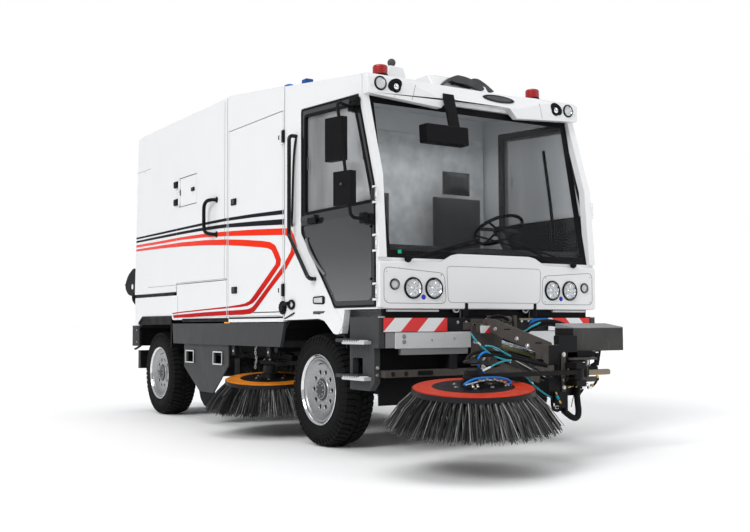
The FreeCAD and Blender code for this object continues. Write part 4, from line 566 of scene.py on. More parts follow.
def thickened(form, flat, faces, axis, span, mat):
    """Makes flat faces solid along an axis; gives their verts, old and new."""
    made = bmesh.ops.extrude_face_region(form, geom=faces)
    moved = [g for g in made["geom"] if isinstance(g, bmesh.types.BMVert)]
    push = Vector((0, 0, 0))
    push["xyz".index(axis)] = span[1] - span[0]
    bmesh.ops.translate(form, verts=moved, vec=push)
    whole = flat + moved
    bmesh.ops.recalc_face_normals(form, faces=faces_of(whole))
    tag(faces_of(whole), mat)
    return whole


def plate_in(form, outline, axis, span, edge=0.0, mat=0, steps=2):
    """A flat outline made solid along x, y or z from span[0] to span[1]."""
    verts = corners_in(form, outline, axis, span[0])
    whole = thickened(form, verts, [form.faces.new(verts)], axis, span, mat)
    round_edges(form, edges_of(whole), edge, steps)


def pipe_in(form, points, radius, mat=0, smooth=True, resolution=6, ring=3):
    """A hose or bent tube through points, smoothed into one run where asked."""
    curve = bpy.data.curves.new("run", "CURVE")
    curve.dimensions = "3D"
    curve.bevel_depth = radius
    curve.bevel_resolution = ring
    curve.use_fill_caps = True
    spline = curve.splines.new("NURBS" if smooth else "POLY")
    spline.points.add(len(points) - 1)
    for target, place in zip(spline.points, points):
        target.co = (*place, 1)
    if smooth:
        spline.order_u = min(4, len(points))
        spline.use_endpoint_u = True
        spline.resolution_u = resolution
    holder = bpy.data.objects.new("run", curve)
    mesh = bpy.data.meshes.new_from_object(holder)
    count = len(form.faces)
    form.from_mesh(mesh)
    form.faces.ensure_lookup_table()
    for index in range(count, len(form.faces)):
        form.faces[index].material_index = mat
        form.faces[index].smooth = True
    bpy.data.objects.remove(holder)
    bpy.data.curves.remove(curve)
    bpy.data.meshes.remove(mesh)


def screw_in(form, place, direction, radius=0.008, mat=0, tall=0.005):
    """A six-sided bolt head on a washer, pointing along a direction."""
    place, direction = Vector(place), Vector(direction).normalized()
    bar_in(form, place - direction * 0.002, place + direction * 0.0015, radius * 1.45, mat, 16)
    bar_in(form, place, place + direction * (0.0015 + tall), radius, mat, 6, 0.0006)


def dome_in(form, place, direction, radius, tall, mat=0, steps=24):
    """A low dome such as a rivet or a lens, pointing along a direction."""
    rings = 6
    profile = [(-0.002, radius)]
    for k in range(rings + 1):
        turn = math.pi / 2 * k / rings
        profile.append((tall * math.sin(turn), radius * math.cos(turn)))
    lathe_in(form, profile, place, direction, mat, steps)


def add_form(form, other):
    """Puts a copy of one form into another and frees it."""
    mesh = bpy.data.meshes.new("part")
    other.to_mesh(mesh)
    other.free()
    form.from_mesh(mesh)
    bpy.data.meshes.remove(mesh)


def cad_form(node, flat=1.0):
    """A node's shape as a form, with its flat faces made whole again."""
    form = bmesh.new()
    form.from_mesh(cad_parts[node].data)
    bmesh.ops.remove_doubles(form, verts=form.verts[:], dist=2e-5)
    bmesh.ops.dissolve_limit(form, angle_limit=math.radians(flat), verts=form.verts[:],
                             edges=form.edges[:], use_dissolve_boundaries=False)
    tag(form.faces, 0)
    return form


def soften(form, width, sharp=28.0, steps=2, chosen=None):
    """Rounds a form's hard edges, or only those the test chooses."""
    form.normal_update()
    hard = [e for e in form.edges if len(e.link_faces) == 2
            and e.calc_face_angle(0.0) > math.radians(sharp) and (not chosen or chosen(e))]
    round_edges(form, hard, width, steps)


def piece(name, form, finishes, body, slot, *replaced, sharp=38.0):
    """Puts a form in the scene as one piece that rides on a body of the frame."""
    mesh = bpy.data.meshes.new(name)
    form.to_mesh(mesh)
    form.free()
    for finish in finishes:
        mesh.materials.append(finish_of(finish))
    mesh.shade_smooth()
    mesh.set_sharp_from_angle(angle=math.radians(sharp))
    made = bpy.data.objects.new(name, mesh)
    bpy.context.scene.collection.objects.link(made)
    even = made.modifiers.new("even_shading", "WEIGHTED_NORMAL")
    even.keep_sharp = True
    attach(made, body)
    if replaced:
        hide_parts(*replaced)
    return made


def cad_piece(node, width, finish, body, slot):
    """A node's own shape with soft edges and its finish."""
    form = cad_form(node)
    soften(form, width)
    piece(node + "_dressed", form, [finish], body, slot, node)


def each(shape, form, *rows):
    """Adds one kind of shape to a form several times, each with its own values."""
    for row in rows:
        shape(form, *row)


def side_box(form, side, reach, low, high, *settings):
    """A box on one side: its reach across and its (y, z) corners from the cab's face."""
    near, far = side_x(side, *reach)
    box_in(form, at(near, *low), at(far, *high), *settings)


# Places that several pieces share, in metres

BODY_HALF = 1.030
AXLES = (("front", 0.910), ("rear", 4.320))
TRACK_HALF, WHEEL_RADIUS, TYRE_HALF = 0.868, 0.433, 0.1325
FRONT_BRUSH = at(-0.870, -0.850, 0.530)
DOOR = [(0.030, 1.058), (0.030, 1.400), (0.036, 1.900), (0.256, 2.590), (1.112, 2.634),
        (1.112, 1.656), (0.648, 1.128), (0.600, 1.058)]
WINDOW = [(0.072, 1.800), (0.096, 1.900), (0.304, 2.530), (1.052, 2.574), (1.052, 1.800)]
# The brow's flat cheeks end at BROW_CHEEK_HALF; its middle starts at BROW_MIDDLE_HALF.
BROW_MIDDLE_HALF, BROW_MIDDLE_LIFT = 0.380, 2.626
BROW_CHEEK_HALF, BROW_CHEEK_LIFT = 0.714, 2.712

# The photo's camera: its place, its turns in degrees and its focal length in millimetres.
CAMERA_PLACE = at(-4.784, -5.84, 0.931)
CAMERA_TURNS = ((-32.57, "Z"), (90 + 3.34, "X"), (-0.23, "Z"))
CAMERA_LENS = 48.1
MIRROR_TURN = 14.0  # degrees that the door's mirrors are turned
STRAND_TONE = "strand_tone"  # the colour layer that gives each bristle its own grey


def gutter_brush(side):
    """The middle of a gutter brush."""
    return at(0.870 * side, 1.970, 0.466)


def nose(lift):
    """How far back the cab's front face lies at a height above the sill."""
    low, mid, high = (1.40, -0.005), (1.99, 0.024), (2.595, 0.21)
    one, two = (low, mid) if lift < mid[0] else (mid, high)
    return one[1] + (two[1] - one[1]) * (lift - one[0]) / (two[0] - one[0])


# The truck's surroundings and its pieces


class Stage(bpy.types.Operator):
    """Floor, white surroundings, soft lamps and the photo's camera"""
    bl_idname = "sweeper.stage"
    bl_label = "Studio and camera"

    def execute(self, context):
        scene = context.scene
        scene.view_settings.view_transform = "Standard"
        form = new_form()
        bmesh.ops.create_grid(form, x_segments=1, y_segments=1, size=400)
        mesh = bpy.data.meshes.new("floor")
        form.to_mesh(mesh)
        form.free()
        floor = bpy.data.objects.new("floor", mesh)
        scene.collection.objects.link(floor)
        ground, tree, shader = shader_of("floor white")
        feed(shader, Base_Color=grey_ramp(tree, pattern(tree, NOISE, 0.6), 0.93, 0.95),
             Roughness=0.9, Specular_IOR_Level=0.0)
        mesh.materials.append(ground)

        world = bpy.data.worlds.new("studio")
        world.use_nodes = True
        nodes, links = world.node_tree.nodes, world.node_tree.links
        soft = nodes["Background"]
        soft.inputs["Color"].default_value = (0.82, 0.83, 0.845, 1)
        soft.inputs["Strength"].default_value = 0.62
        clear = nodes.new("ShaderNodeBackground")
        clear.inputs["Color"].default_value = (1, 1, 1, 1)
        clear.inputs["Strength"].default_value = 1.0
        path = nodes.new("ShaderNodeLightPath")
        chosen = nodes.new("ShaderNodeMixShader")
        links.new(path.outputs["Is Camera Ray"], chosen.inputs["Fac"])
        links.new(soft.outputs["Background"], chosen.inputs[1])
        links.new(clear.outputs["Background"], chosen.inputs[2])
        links.new(chosen.outputs["Shader"], nodes["World Output"].inputs["Surface"])
        scene.world = world

        lamp = bpy.data.lights.new("cab_lamp", "AREA")
        lamp.shape = "RECTANGLE"
        lamp.size, lamp.size_y = 1.5, 0.5
        lamp.energy = 5.0
        inner = bpy.data.objects.new("cab_lamp", lamp)
        scene.collection.objects.link(inner)
        inner.matrix_world = Matrix.Translation(at(0, 0.72, 2.52))
        inner.visible_camera = False
        inner.visible_transmission = False
        inner.visible_glossy = False

        for name, place, power, spread in (
                ("key_sun", (-8.0, -3.0, 6.0), 1.55, 24), ("top_sun", (0.5, 0.5, 9.0), 1.0, 60),
                ("fill_sun", (6.0, -6.5, 5.0), 0.3, 40)):
            light = bpy.data.lights.new(name, "SUN")
            light.energy = power
            light.angle = math.radians(spread)
            lamp = bpy.data.objects.new(name, light)
            scene.collection.objects.link(lamp)
            aimed = (-Vector(place)).to_track_quat("-Z", "Y").to_matrix()
            lamp.matrix_world = Matrix.Translation(place) @ aimed.to_4x4()

        lens = bpy.data.cameras.new("photo_camera")
        lens.lens = CAMERA_LENS
        lens.sensor_width = 36.0
        camera = bpy.data.objects.new("photo_camera", lens)
        scene.collection.objects.link(camera)
        stand = Matrix.Translation(CAMERA_PLACE)
        for turn, axis in CAMERA_TURNS:
            stand = stand @ Matrix.Rotation(math.radians(turn), 4, axis)
        camera.matrix_world = stand
        scene.camera = camera
        return {"FINISHED"}


class BodyPanels(bpy.types.Operator):
    """Painted shells of the cab, engine bay, hopper and lower rear body"""
    bl_idname = "sweeper.body_panels"
    bl_label = "Body panels"

    def execute(self, context):
        edge = sizes().panel_edge
        form = cad_form("hopper")
        soften(form, edge * 0.7)
        grip = []
        for face in form.faces:
            spot = face.calc_center_median()
            beside_wall, behind_wall = spot.x < -1.032, spot.y > CAB_FACE + 5.012
            if beside_wall and spot.z < 2.11:
                grip.append(face)
            elif behind_wall and spot.z < 1.62:
                face.material_index = 1
        bmesh.ops.delete(form, geom=grip, context="FACES")
        piece("hopper_dressed", form, ["body white", "black plastic"], "hopper", "body_paint",
              "hopper")
        for node in ("cab_shell", "engine_bay", "rear_base"):
            cad_piece(node, edge * 0.7, "body white", "chassis", "body_paint")
        for node in ("tail_door", "side_hatch", "service_door_right", "service_door_left"):
            share = 0.3 if node == "side_hatch" else 0.7
            cad_piece(node, edge * share, "body white", node, "body_paint")
        return {"FINISHED"}


class Running(bpy.types.Operator):
    """Frame, axles, knuckles, engine and the other under gear"""
    bl_idname = "sweeper.running_gear"
    bl_label = "Frame and axles"

    def execute(self, context):
        edge = sizes().plate_edge
        for node, finish, slot in (
                ("frame_rails", "frame black", "frame_black"),
                ("frame_crosses", "frame black", "frame_black"),
                ("frame_mounts", "frame black", "frame_black"),
                ("axles", "cast iron", "iron"),
                ("engine", "cast iron", "iron"),
                ("roller_hanger", "frame black", "frame_black"),
                ("arm_base", "arm grey", "frame_black"),
                ("side_brush_brackets", "frame black", "frame_black"),
                ("dashboard", "dash plastic", "plastic_black"),
                ("corner_steps", "skirt grey", "grey_paint"),
                ("side_skirts", "skirt grey", "grey_paint"),
                ("rear_bumper", "frame black", "grey_paint"),
                ("cab_handrails", "black gloss", "black_metal")):
            cad_piece(node, edge, finish, "chassis", slot)
        for label, _ in SIDES:
            cad_piece("knuckle_" + label, edge, "cast iron", "knuckle_" + label, "iron")
            cad_piece("side_arm_" + label, edge, "frame black", "side_arm_" + label,
                      "frame_black")
        cad_piece("swing_arm", edge, "arm black", "swing_arm", "frame_black")
        self.links(edge)
        self.column(edge)
        return {"FINISHED"}

    @staticmethod
    def links(edge):
        """The two links, narrowed on the near side so that the ram lies beside them."""
        link_length = 0.66
        for node, keep, finish in (("high_link", 0.62, "arm grey"),
                                   ("low_link", 0.30, "arm black")):
            form = cad_form(node)
            far, back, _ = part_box(node)[1]
            for vert in form.verts:
                share = (back - vert.co.y) / link_length
                narrow = 1 - (1 - keep) * min(1.0, share if node == "high_link" else 1.0)
                vert.co.x = far - (far - vert.co.x) * narrow
            soften(form, edge)
            piece(node + "_dressed", form, [finish], node, "frame_black", node)

    @staticmethod
    def column(edge):
        """The column's tones: bar and box grey, plates and lugs black, and the box's faces turned
        to the truck's right darker as painted shade.
        """
        form = cad_form("arm_column")
        soften(form, edge)
        form.normal_update()
        for face in form.faces:
            spot = face.calc_center_median()
            on_box = spot.x > 0.055 and spot.z > 0.735
            on_bar = spot.x < -0.09 and 0.655 < spot.z < 0.79
            if on_box:
                # faces of the box turned to the truck's right get the darker tone: painted shade
                face.material_index = 2 if face.normal.x < -0.5 else 1
            else:
                face.material_index = 0 if on_bar else 3
        piece("arm_column_dressed", form, ["arm grey", "box grey", "box side", "arm black"],
              "arm_column", "frame_black", "arm_column")


class CabGlass(bpy.types.Operator):
    """Windscreen and side panes with their black bonded borders"""
    bl_idname = "sweeper.cab_glass"
    bl_label = "Cab glass"

    def execute(self, context):
        form = cad_form("windscreen", 0.3)
        bmesh.ops.dissolve_limit(form, angle_limit=math.radians(25), verts=form.verts[:],
                                 edges=form.edges[:])
        form.normal_update()
        border = 0.055
        for way in (-1, 1):
            broad = [f for f in form.faces if f.normal.y * way > 0.5]
            made = bmesh.ops.inset_region(form, faces=broad, thickness=border,
                                          use_even_offset=True)
            tag(made["faces"], 1)
        tag([f for f in form.faces if abs(f.normal.y) <= 0.5], 1)
        piece("windscreen_pane", form, ["screen glass", "black plastic"], "chassis",
              "glass_dark", "windscreen")
        for label, _ in SIDES:
            form = cad_form("door_glass_" + label, 0.3)
            piece("door_pane_" + label, form, ["door glass"], "cab_door_" + label,
                  "glass_dark", "door_glass_" + label)
        return {"FINISHED"}


def outset(outline, grow):
    """A convex-ish outline of (y, z) corners moved outwards by a distance."""
    count = len(outline)
    area = sum(outline[k][0] * outline[(k + 1) % count][1]
               - outline[(k + 1) % count][0] * outline[k][1] for k in range(count))
    way = 1 if area > 0 else -1
    moved = []
    for k in range(count):
        before = Vector(outline[k - 1])
        here = Vector(outline[k])
        after = Vector(outline[(k + 1) % count])
        one = (here - before).normalized()
        two = (after - here).normalized()
        first = Vector((one.y, -one.x)) * way
        second = Vector((two.y, -two.x)) * way
        middle = (first + second).normalized()
        reach = grow / max(0.3, middle.dot(first))
        moved.append(tuple(here + middle * reach))
    return moved


def rounded_outline(outline, radius, steps=4):
    """An outline with each corner turned into a short curve."""
    count = len(outline)
    made = []
    for k in range(count):
        before = Vector(outline[k - 1])
        here = Vector(outline[k])
        after = Vector(outline[(k + 1) % count])
        reach = min(radius, (here - before).length * 0.45, (after - here).length * 0.45)
        start = here + (before - here).normalized() * reach
        end = here + (after - here).normalized() * reach
        for n in range(steps + 1):
            t = n / steps
            made.append(tuple(start * (1 - t) ** 2 + here * 2 * t * (1 - t) + end * t ** 2))
    return made


RING_SHARP = 0.6  # radians between faces above which a ring's edge is rounded


def ring_in(form, outline, width, axis, span, edge=0.0, mat=0):
    """A frame of even width inside an outline, made solid along an axis."""
    loops = [corners_in(form, line, axis, span[0]) for line in (outline, outset(outline, -width))]
    edges = [form.edges.new((loop[k], loop[(k + 1) % len(loop)]))
             for loop in loops for k in range(len(loop))]
    faces = bmesh.ops.bridge_loops(form, edges=edges)["faces"]
    whole = thickened(form, loops[0] + loops[1], faces, axis, span, mat)
    round_edges(form, [e for e in edges_of(whole) if e.calc_face_angle(0.0) > RING_SHARP], edge)


def placed(outline):
    """Outline corners given from the cab's face as corners in the frame."""
    return [(y + CAB_FACE, z) for y, z in outline]


def side_x(side, inner, outer):
    """A span across the truck on one side, low end first."""
    return (inner, outer) if side > 0 else (-outer, -inner)


class CabDoors(bpy.types.Operator):
    """Black glazed cab doors with seals, handle, grab bar and hinge plates"""
    bl_idname = "sweeper.cab_doors"
    bl_label = "Cab doors"

    def execute(self, context):
        for label, side in SIDES:
            body = "cab_door_" + label
            form = cad_form(body)
            outer = -1.06
            soften(form, 0.015, 30.0, 4, lambda e: e.calc_length() > 0.045
                   and max(v.co.x for v in e.verts) < outer)
            soften(form, sizes().panel_edge * 0.5, chosen=lambda e:
                   max(v.co.x for v in e.verts) > outer)
            tag([f for f in form.faces if f.calc_center_median().x < outer], 1)
            piece(body + "_shell", form, ["door black", "black plastic"], body, "body_paint",
                  body)
            form = new_form()
            lower = rounded_outline(placed(outset(
                [(0.034, 1.058), (0.034, 1.765), (1.112, 1.765), (1.112, 1.656),
                 (0.648, 1.128), (0.600, 1.058)], -0.045)), 0.05)
            plate_in(form, lower, "x", side_x(side, 1.0302, 1.0335), 0.001)
            piece(body + "_low_pane", form, ["door low pane"], body, "glass_dark")
            form = new_form()
            ring_in(form, rounded_outline(placed(outset(WINDOW, 0.012)), 0.04), 0.022, "x",
                    side_x(side, 1.012, 1.0345), 0.002)
            ring_in(form, rounded_outline(placed(outset(DOOR, 0.002)), 0.03), 0.014, "x",
                    side_x(side, 1.026, 1.0355), 0.003)
            piece(body + "_seals", form, ["seal rubber"], body, "plastic_black")
            form = new_form()
            x = 1.0335 * side
            out = Vector((side, 0, 0))
            each(side_box, form,
                 (side, (1.0335, 1.050), (0.935, 1.705), (1.090, 1.768), 0.006, 2),
                 (side, (1.048, 1.070), (0.820, 1.708), (0.955, 1.756), 0.008),
                 (side, (1.0335, 1.050), (0.845, 1.715), (0.950, 1.750), 0.004))
            low, high = side_x(side, 1.034, 1.042)
            box_in(form, (low, CAB_FACE + 0.985, 2.140), (high, CAB_FACE + 1.005, 2.240), 0.004, 2)
            for y, z in ((0.085, 1.62), (0.085, 1.25), (0.99, 1.60), (0.62, 1.16)):
                screw_in(form, at(x, y, z), out, 0.007)
            pipe_in(form, [at(x + 0.004 * side, 0.73, 1.305), at(x + 0.012 * side, 0.82, 1.375),
                           at(x + 0.012 * side, 0.92, 1.460), at(x + 0.012 * side, 0.99, 1.545),
                           at(x + 0.004 * side, 1.02, 1.60)], 0.011, 1)
            slot = [(0.205, 2.112), (0.220, 2.112), (0.236, 2.210), (0.221, 2.210)]
            plate_in(form, rounded_outline(placed(slot), 0.006), "x", side_x(side, 1.005, 1.012),
                     0.002)
            piece(body + "_fittings", form, ["black plastic", "door bar", "skirt grey"], body,
                  "plastic_black")
            form = new_form()
            for lift in (1.16, 1.50, 1.84):
                side_box(form, side, (BODY_HALF, 1.0385), (-0.002, lift - 0.042),
                         (0.024, lift + 0.042), 0.003)
                for drop in (-0.026, 0.026):
                    screw_in(form, at(1.0385 * side, 0.010, lift + drop), out, 0.006, 1)
            piece("door_hinge_plates_" + label, form, ["body white", "zinc"], "chassis",
                  "body_paint")
        # the clamps that hold the mirrors' arm on the right door
        form = new_form()
        for x0, x1, drop in ((-1.124, -1.084, 0.0), (-1.078, -1.040, 0.006)):
            box_in(form, at(x0, 0.028, 1.636 - drop), at(x1, 0.100, 1.712 - drop), 0.010, 0, None,
                   3)
        for drop in (-0.022, 0.022):
            screw_in(form, at(-1.081, 0.028, 1.674 + drop), (0, -1, 0), 0.007, 0)
        box_in(form, at(-1.074, 0.212, 2.502), at(-1.036, 0.318, 2.566), 0.006)
        box_in(form, at(-1.086, 0.262, 2.470), at(-1.050, 0.312, 2.512), 0.006)
        for y in (0.235, 0.295):
            screw_in(form, at(-1.074, y, 2.535), (-1, 0, 0), 0.007, 0)
        lathe_in(form, [(-0.004, 0.010), (0.004, 0.009), (0.006, 0.004), (0.006, 0.0)],
                 at(-1.263, 0.110, 1.905), (-0.97, -0.24, 0), 1, 20)
        piece("mirror_clamps", form, ["black plastic", "hub grey"], "cab_door_right",
              "plastic_black")
        return {"FINISHED"}


class FrontPanel(bpy.types.Operator):
    """Front panel with its raised hood line, seams, headlamps and small marks"""
    bl_idname = "sweeper.front_panel"
    bl_label = "Front panel and lamps"

    def execute(self, context):
        low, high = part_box("front_panel")
        half = high.x
        form = new_form()
        outline = [(-half, 1.050), (-half + 0.05, 1.040), (half - 0.05, 1.040), (half, 1.050),
                   (half, 1.372), (0.50, 1.380), (0.40, 1.432), (0.34, 1.444),
                   (-0.34, 1.444), (-0.40, 1.432), (-0.50, 1.380), (-half, 1.372)]
        plate_in(form, outline, "y", (low.y, high.y), 0.009, 0, 3)
        piece("front_panel_skin", form, ["body white"], "chassis", "body_paint", "front_panel",
              "lamps")
        face = low.y
        form = new_form()
        # thin shut lines round each lamp group and along the hood
        for side in (-1, 1):
            group = rounded_outline([(side * 0.995, 1.078), (side * 0.455, 1.078),
                                     (side * 0.470, 1.300), (side * 0.995, 1.335)], 0.05, 5)
            ring_in(form, group, 0.0035, "y", (face - 0.0006, face + 0.003))
        ring_in(form, rounded_outline([(-0.44, 1.086), (0.44, 1.086), (0.452, 1.352),
                                       (-0.452, 1.352)], 0.04, 5), 0.003, "y",
                (face - 0.0006, face + 0.003))
        piece("front_panel_lines", form, ["groove"], "chassis", "body_paint")

        rims, glass, bright = new_form(), new_form(), new_form()
        ahead = Vector((0, -1, 0))
        for side in (-1, 1):
            radius = 0.070
            for x in (0.748, 0.566):
                place = Vector((side * x, face, 1.188))
                lathe_in(rims, [(-0.004, radius + 0.008), (0.008, radius + 0.007),
                                (0.013, radius + 0.002), (0.012, radius - 0.003),
                                (0.004, radius - 0.004)], place, ahead, 0, 48)
                lathe_in(bright, [(-0.030, 0.0), (-0.028, 0.016), (-0.022, 0.030),
                                  (-0.012, 0.046), (0.0, 0.058), (0.006, radius - 0.004)],
                         place, ahead, 0, 24)
                lathe_in(bright, [(-0.020, 0.0), (-0.006, 0.006), (0.002, 0.013),
                                  (-0.004, 0.019), (-0.020, 0.019)], place, ahead, 0, 20)
                for k in range(8):
                    turn = math.radians(45 * k + 22.5)
                    spoke = Vector((math.cos(turn), 0, math.sin(turn)))
                    box_in(bright, place + spoke * 0.041 - Vector((0.012, 0.002, 0.003)),
                           place + spoke * 0.041 + Vector((0.012, 0.003, 0.003)), 0.001, 0,
                           Matrix.Rotation(-turn, 3, "Y"), 1)
                lathe_in(glass, [(0.0105, 0.0), (0.0105, 0.022), (0.0095, 0.045),
                                 (0.006, radius - 0.004)], place, ahead, 0, 40)
            marker = Vector((side * 0.905, face, 1.212))
            lathe_in(rims, [(-0.002, 0.040), (0.009, 0.039), (0.012, 0.036), (0.009, 0.033)],
                     marker, ahead, 0, 36)
            lathe_in(bright, [(-0.004, 0.0), (-0.002, 0.020), (0.004, 0.032)], marker, ahead, 1,
                     24)
            lathe_in(glass, [(0.014, 0.0), (0.013, 0.016), (0.009, 0.034)], marker, ahead, 0, 30)
            for x, z in ((0.97, 1.10), (0.97, 1.30), (0.49, 1.10), (0.50, 1.285), (0.86, 1.325)):
                screw_in(rims, Vector((side * x, face, z)), ahead, 0.004, 1, 0.002)
            dome_in(rims, Vector((side * 0.657, face, 1.125)), ahead, 0.019, 0.006, 2)
        piece("lamp_rims", rims, ["black plastic", "zinc", "blue dot"], "chassis", "lamp_lens")
        piece("lamp_mirrors", bright, ["chrome", "amber glass"], "chassis", "lamp_lens")
        piece("lamp_covers", glass, ["lamp glass"], "chassis", "lamp_lens")

        form = new_form()
        box_in(form, (-0.865, CAB_FACE + nose(1.47) - 0.0045, 1.430),
               (-0.835, CAB_FACE + nose(1.47) - 0.0020, 1.455), 0.0005)
        piece("inspection_mark", form, ["green mark"], "chassis", "body_paint")
        return {"FINISHED"}


class RoofGear(bpy.types.Operator):
    """Brow with its lamp pods, beacons, air intake and the cooling unit's covers"""
    bl_idname = "sweeper.roof_gear"
    bl_label = "Roof gear"

    def execute(self, context):
        self.brow()
        self.lamps()
        self.beacons()
        self.cooling_unit()
        form = new_form()
        outline = [(-0.655, 2.790), (-0.470, 2.790), (-0.482, 2.850), (-0.500, 2.902),
                   (-0.622, 2.908), (-0.642, 2.860)]
        plate_in(form, outline, "y", (CAB_FACE + 0.450, CAB_FACE + 0.640), 0.010, 0, 3)
        place = at(-0.576, 0.500, 2.900)
        size, lift = 0.032, 0.041
        ball = [(lift + size * math.sin(math.radians(turn)), size * math.cos(math.radians(turn)))
                for turn in range(-75, 91, 15)]
        lathe_in(form, [(0.0, 0.014)] + ball, place, (0, 0, 1), 1, 28)
        piece("roof_camera_box", form, ["body white", "dark cover"], "chassis", "body_paint")
        return {"FINISHED"}

    def brow(self):
        """The brow's cheeks slope down to a middle that falls away to the front."""
        whole = cad_form("roof_visor")
        bmesh.ops.triangulate(whole, faces=whole.faces[:])
        low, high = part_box("roof_visor")
        fall = (high.z - BROW_MIDDLE_LIFT) / (high.y - low.y)
        cheek = (BROW_CHEEK_LIFT - BROW_MIDDLE_LIFT) / (BROW_CHEEK_HALF - BROW_MIDDLE_HALF)
        form = new_form()
        for side in (-1, 0, 1):
            part = whole.copy()
            if side:
                self.trimmed(part, (side * BROW_MIDDLE_HALF, 0, 0), (-side, 0, 0))
            else:
                self.trimmed(part, (BROW_MIDDLE_HALF, 0, 0), (1, 0, 0))
                self.trimmed(part, (-BROW_MIDDLE_HALF, 0, 0), (-1, 0, 0))
            self.trimmed(part, (side * BROW_MIDDLE_HALF, low.y, BROW_MIDDLE_LIFT),
                         (-cheek * side, -fall, 1))
            add_form(form, part)
        whole.free()
        inner = [f for f in form.faces
                 if all(abs(abs(v.co.x) - BROW_MIDDLE_HALF) < 1e-5 for v in f.verts)
                 and len({v.co.x > 0 for v in f.verts}) == 1]
        bmesh.ops.delete(form, geom=inner, context="FACES")
        bmesh.ops.remove_doubles(form, verts=form.verts[:], dist=1e-5)
        bmesh.ops.recalc_face_normals(form, faces=form.faces[:])
        bmesh.ops.dissolve_limit(form, angle_limit=math.radians(1.0), verts=form.verts[:],
                                 edges=form.edges[:])
        tag(form.faces, 0)
        soften(form, sizes().panel_edge * 1.6, 12.0, 3)
        for side in (-1, 1):
            ring_in(form, [(side * 0.632, 2.575), (side * 0.636, 2.575),
                           (side * 0.606, 2.690), (side * 0.602, 2.690)], 0.001, "y",
                    (low.y - 0.0006, low.y + 0.002), 0.0, 1)
        for x, z in ((-0.790, 2.585), (-0.985, 2.640), (0.985, 2.640)):
            screw_in(form, Vector((x, low.y, z)), (0, -1, 0), 0.004, 2, 0.002)
        piece("brow_skin", form, ["body white", "groove", "zinc"], "chassis", "body_paint",
              "roof_visor")
        # dark air intake lying on the sloping middle
        mid_x, mid_z, corners = 0.214, 2.690, 28
        intake = [(mid_x + 0.158 * math.cos(math.tau * k / corners),
                   mid_z + 0.034 * math.sin(math.tau * k / corners)) for k in range(corners)]
        inner = [(mid_x + (x - mid_x) * 0.78, mid_z + (z - mid_z) * 0.62) for x, z in intake]
        form = new_form()
        for outline, span, mat in ((intake, (-0.007, 0.010), 0), (inner, (-0.010, -0.004), 1)):
            part = new_form()
            plate_in(part, outline, "y", span, 0.002, mat)
            for vert in part.verts:
                vert.co.y += low.y + (vert.co.z - BROW_MIDDLE_LIFT) / fall
            add_form(form, part)
        piece("brow_intake", form, ["black gloss", "hub grey"], "chassis", "plastic_black")

    @staticmethod
    def trimmed(form, spot, normal):
        """Cuts away what lies on the normal's side of a plane and closes the cut."""
        bmesh.ops.bisect_plane(form, geom=form.verts[:] + form.edges[:] + form.faces[:],
                               plane_co=spot, plane_no=normal, clear_outer=True, dist=1e-6)
        bmesh.ops.holes_fill(form, edges=[e for e in form.edges if e.is_boundary], sides=0)

    def lamps(self):
        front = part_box("roof_visor")[0].y
        ahead = Vector((0, -1, 0))
        rims, bright, glass = new_form(), new_form(), new_form()
        for side in (-1, 1):
            dome_in(bright, Vector((side * 0.778, front - 0.006, 2.656)), ahead, 0.024, 0.009)
            for x, r, drop in ((0.912, 0.045, 0.0), (0.778, 0.036, 0.010)):
                place = Vector((side * x, front, 2.666 - drop))
                lathe_in(rims, [(-0.006, r + 0.008), (0.004, r + 0.008), (0.010, r + 0.003),
                                (0.010, r - 0.002), (-0.002, r - 0.003)], place, ahead, 0, 40)
                lathe_in(bright, [(-0.020, 0.0), (-0.018, 0.012), (-0.010, 0.026),
                                  (0.004, r - 0.003)], place, ahead, 0, 24)
                lathe_in(bright, [(-0.016, 0.0), (-0.002, 0.005), (-0.004, 0.011),
                                  (-0.016, 0.011)], place, ahead, 0, 16)
                lathe_in(glass, [(0.011, 0.0), (0.010, 0.020), (0.006, r - 0.003)], place, ahead,
                         0, 32)
            tilt = math.radians(28)
            oval = []
            for k in range(32):
                turn = math.tau * k / 32
                across, rise = 0.064 * math.cos(turn), 0.044 * math.sin(turn)
                oval.append((side * (0.786 - across * math.cos(tilt) + rise * math.sin(tilt)),
                             2.668 + across * math.sin(tilt) + rise * math.cos(tilt)))
            plate_in(rims, oval, "y", (front - 0.006, front + 0.006), 0.003)
        piece("roof_lamp_rims", rims, ["black plastic"], "chassis", "lamp_lens")
        piece("roof_lamp_mirrors", bright, ["chrome"], "chassis", "lamp_lens")
        piece("roof_lamp_covers", glass, ["lamp glass"], "chassis", "lamp_lens")

    def beacons(self):
        form = new_form()
        low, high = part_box("beacons")
        up = Vector((0, 0, 1))
        for side in (-1, 1):
            foot = at(side * 0.752, 0.390, low.z)
            top = high.z - low.z
            base = top - 0.070
            lathe_in(form, [(0, 0), (0, 0.060), (base - 0.004, 0.060), (base, 0.056), (base, 0)],
                     foot, up, 1, 40)
            lathe_in(form, [(base, 0.0), (base, 0.054), (base + 0.004, 0.056),
                            (top - 0.012, 0.055), (top - 0.004, 0.050), (top, 0.040), (top, 0)],
                     foot, up, 0, 40)
            for lift in (0.015, 0.030, 0.045):
                lathe_in(form, [(base + lift, 0.0550), (base + lift + 0.002, 0.0575),
                                (base + lift + 0.006, 0.0575), (base + lift + 0.008, 0.0550)],
                         foot, up, 0, 40)
        piece("beacon_lights", form, ["beacon lens", "black plastic"], "chassis",
              "beacon_lens", "beacons")

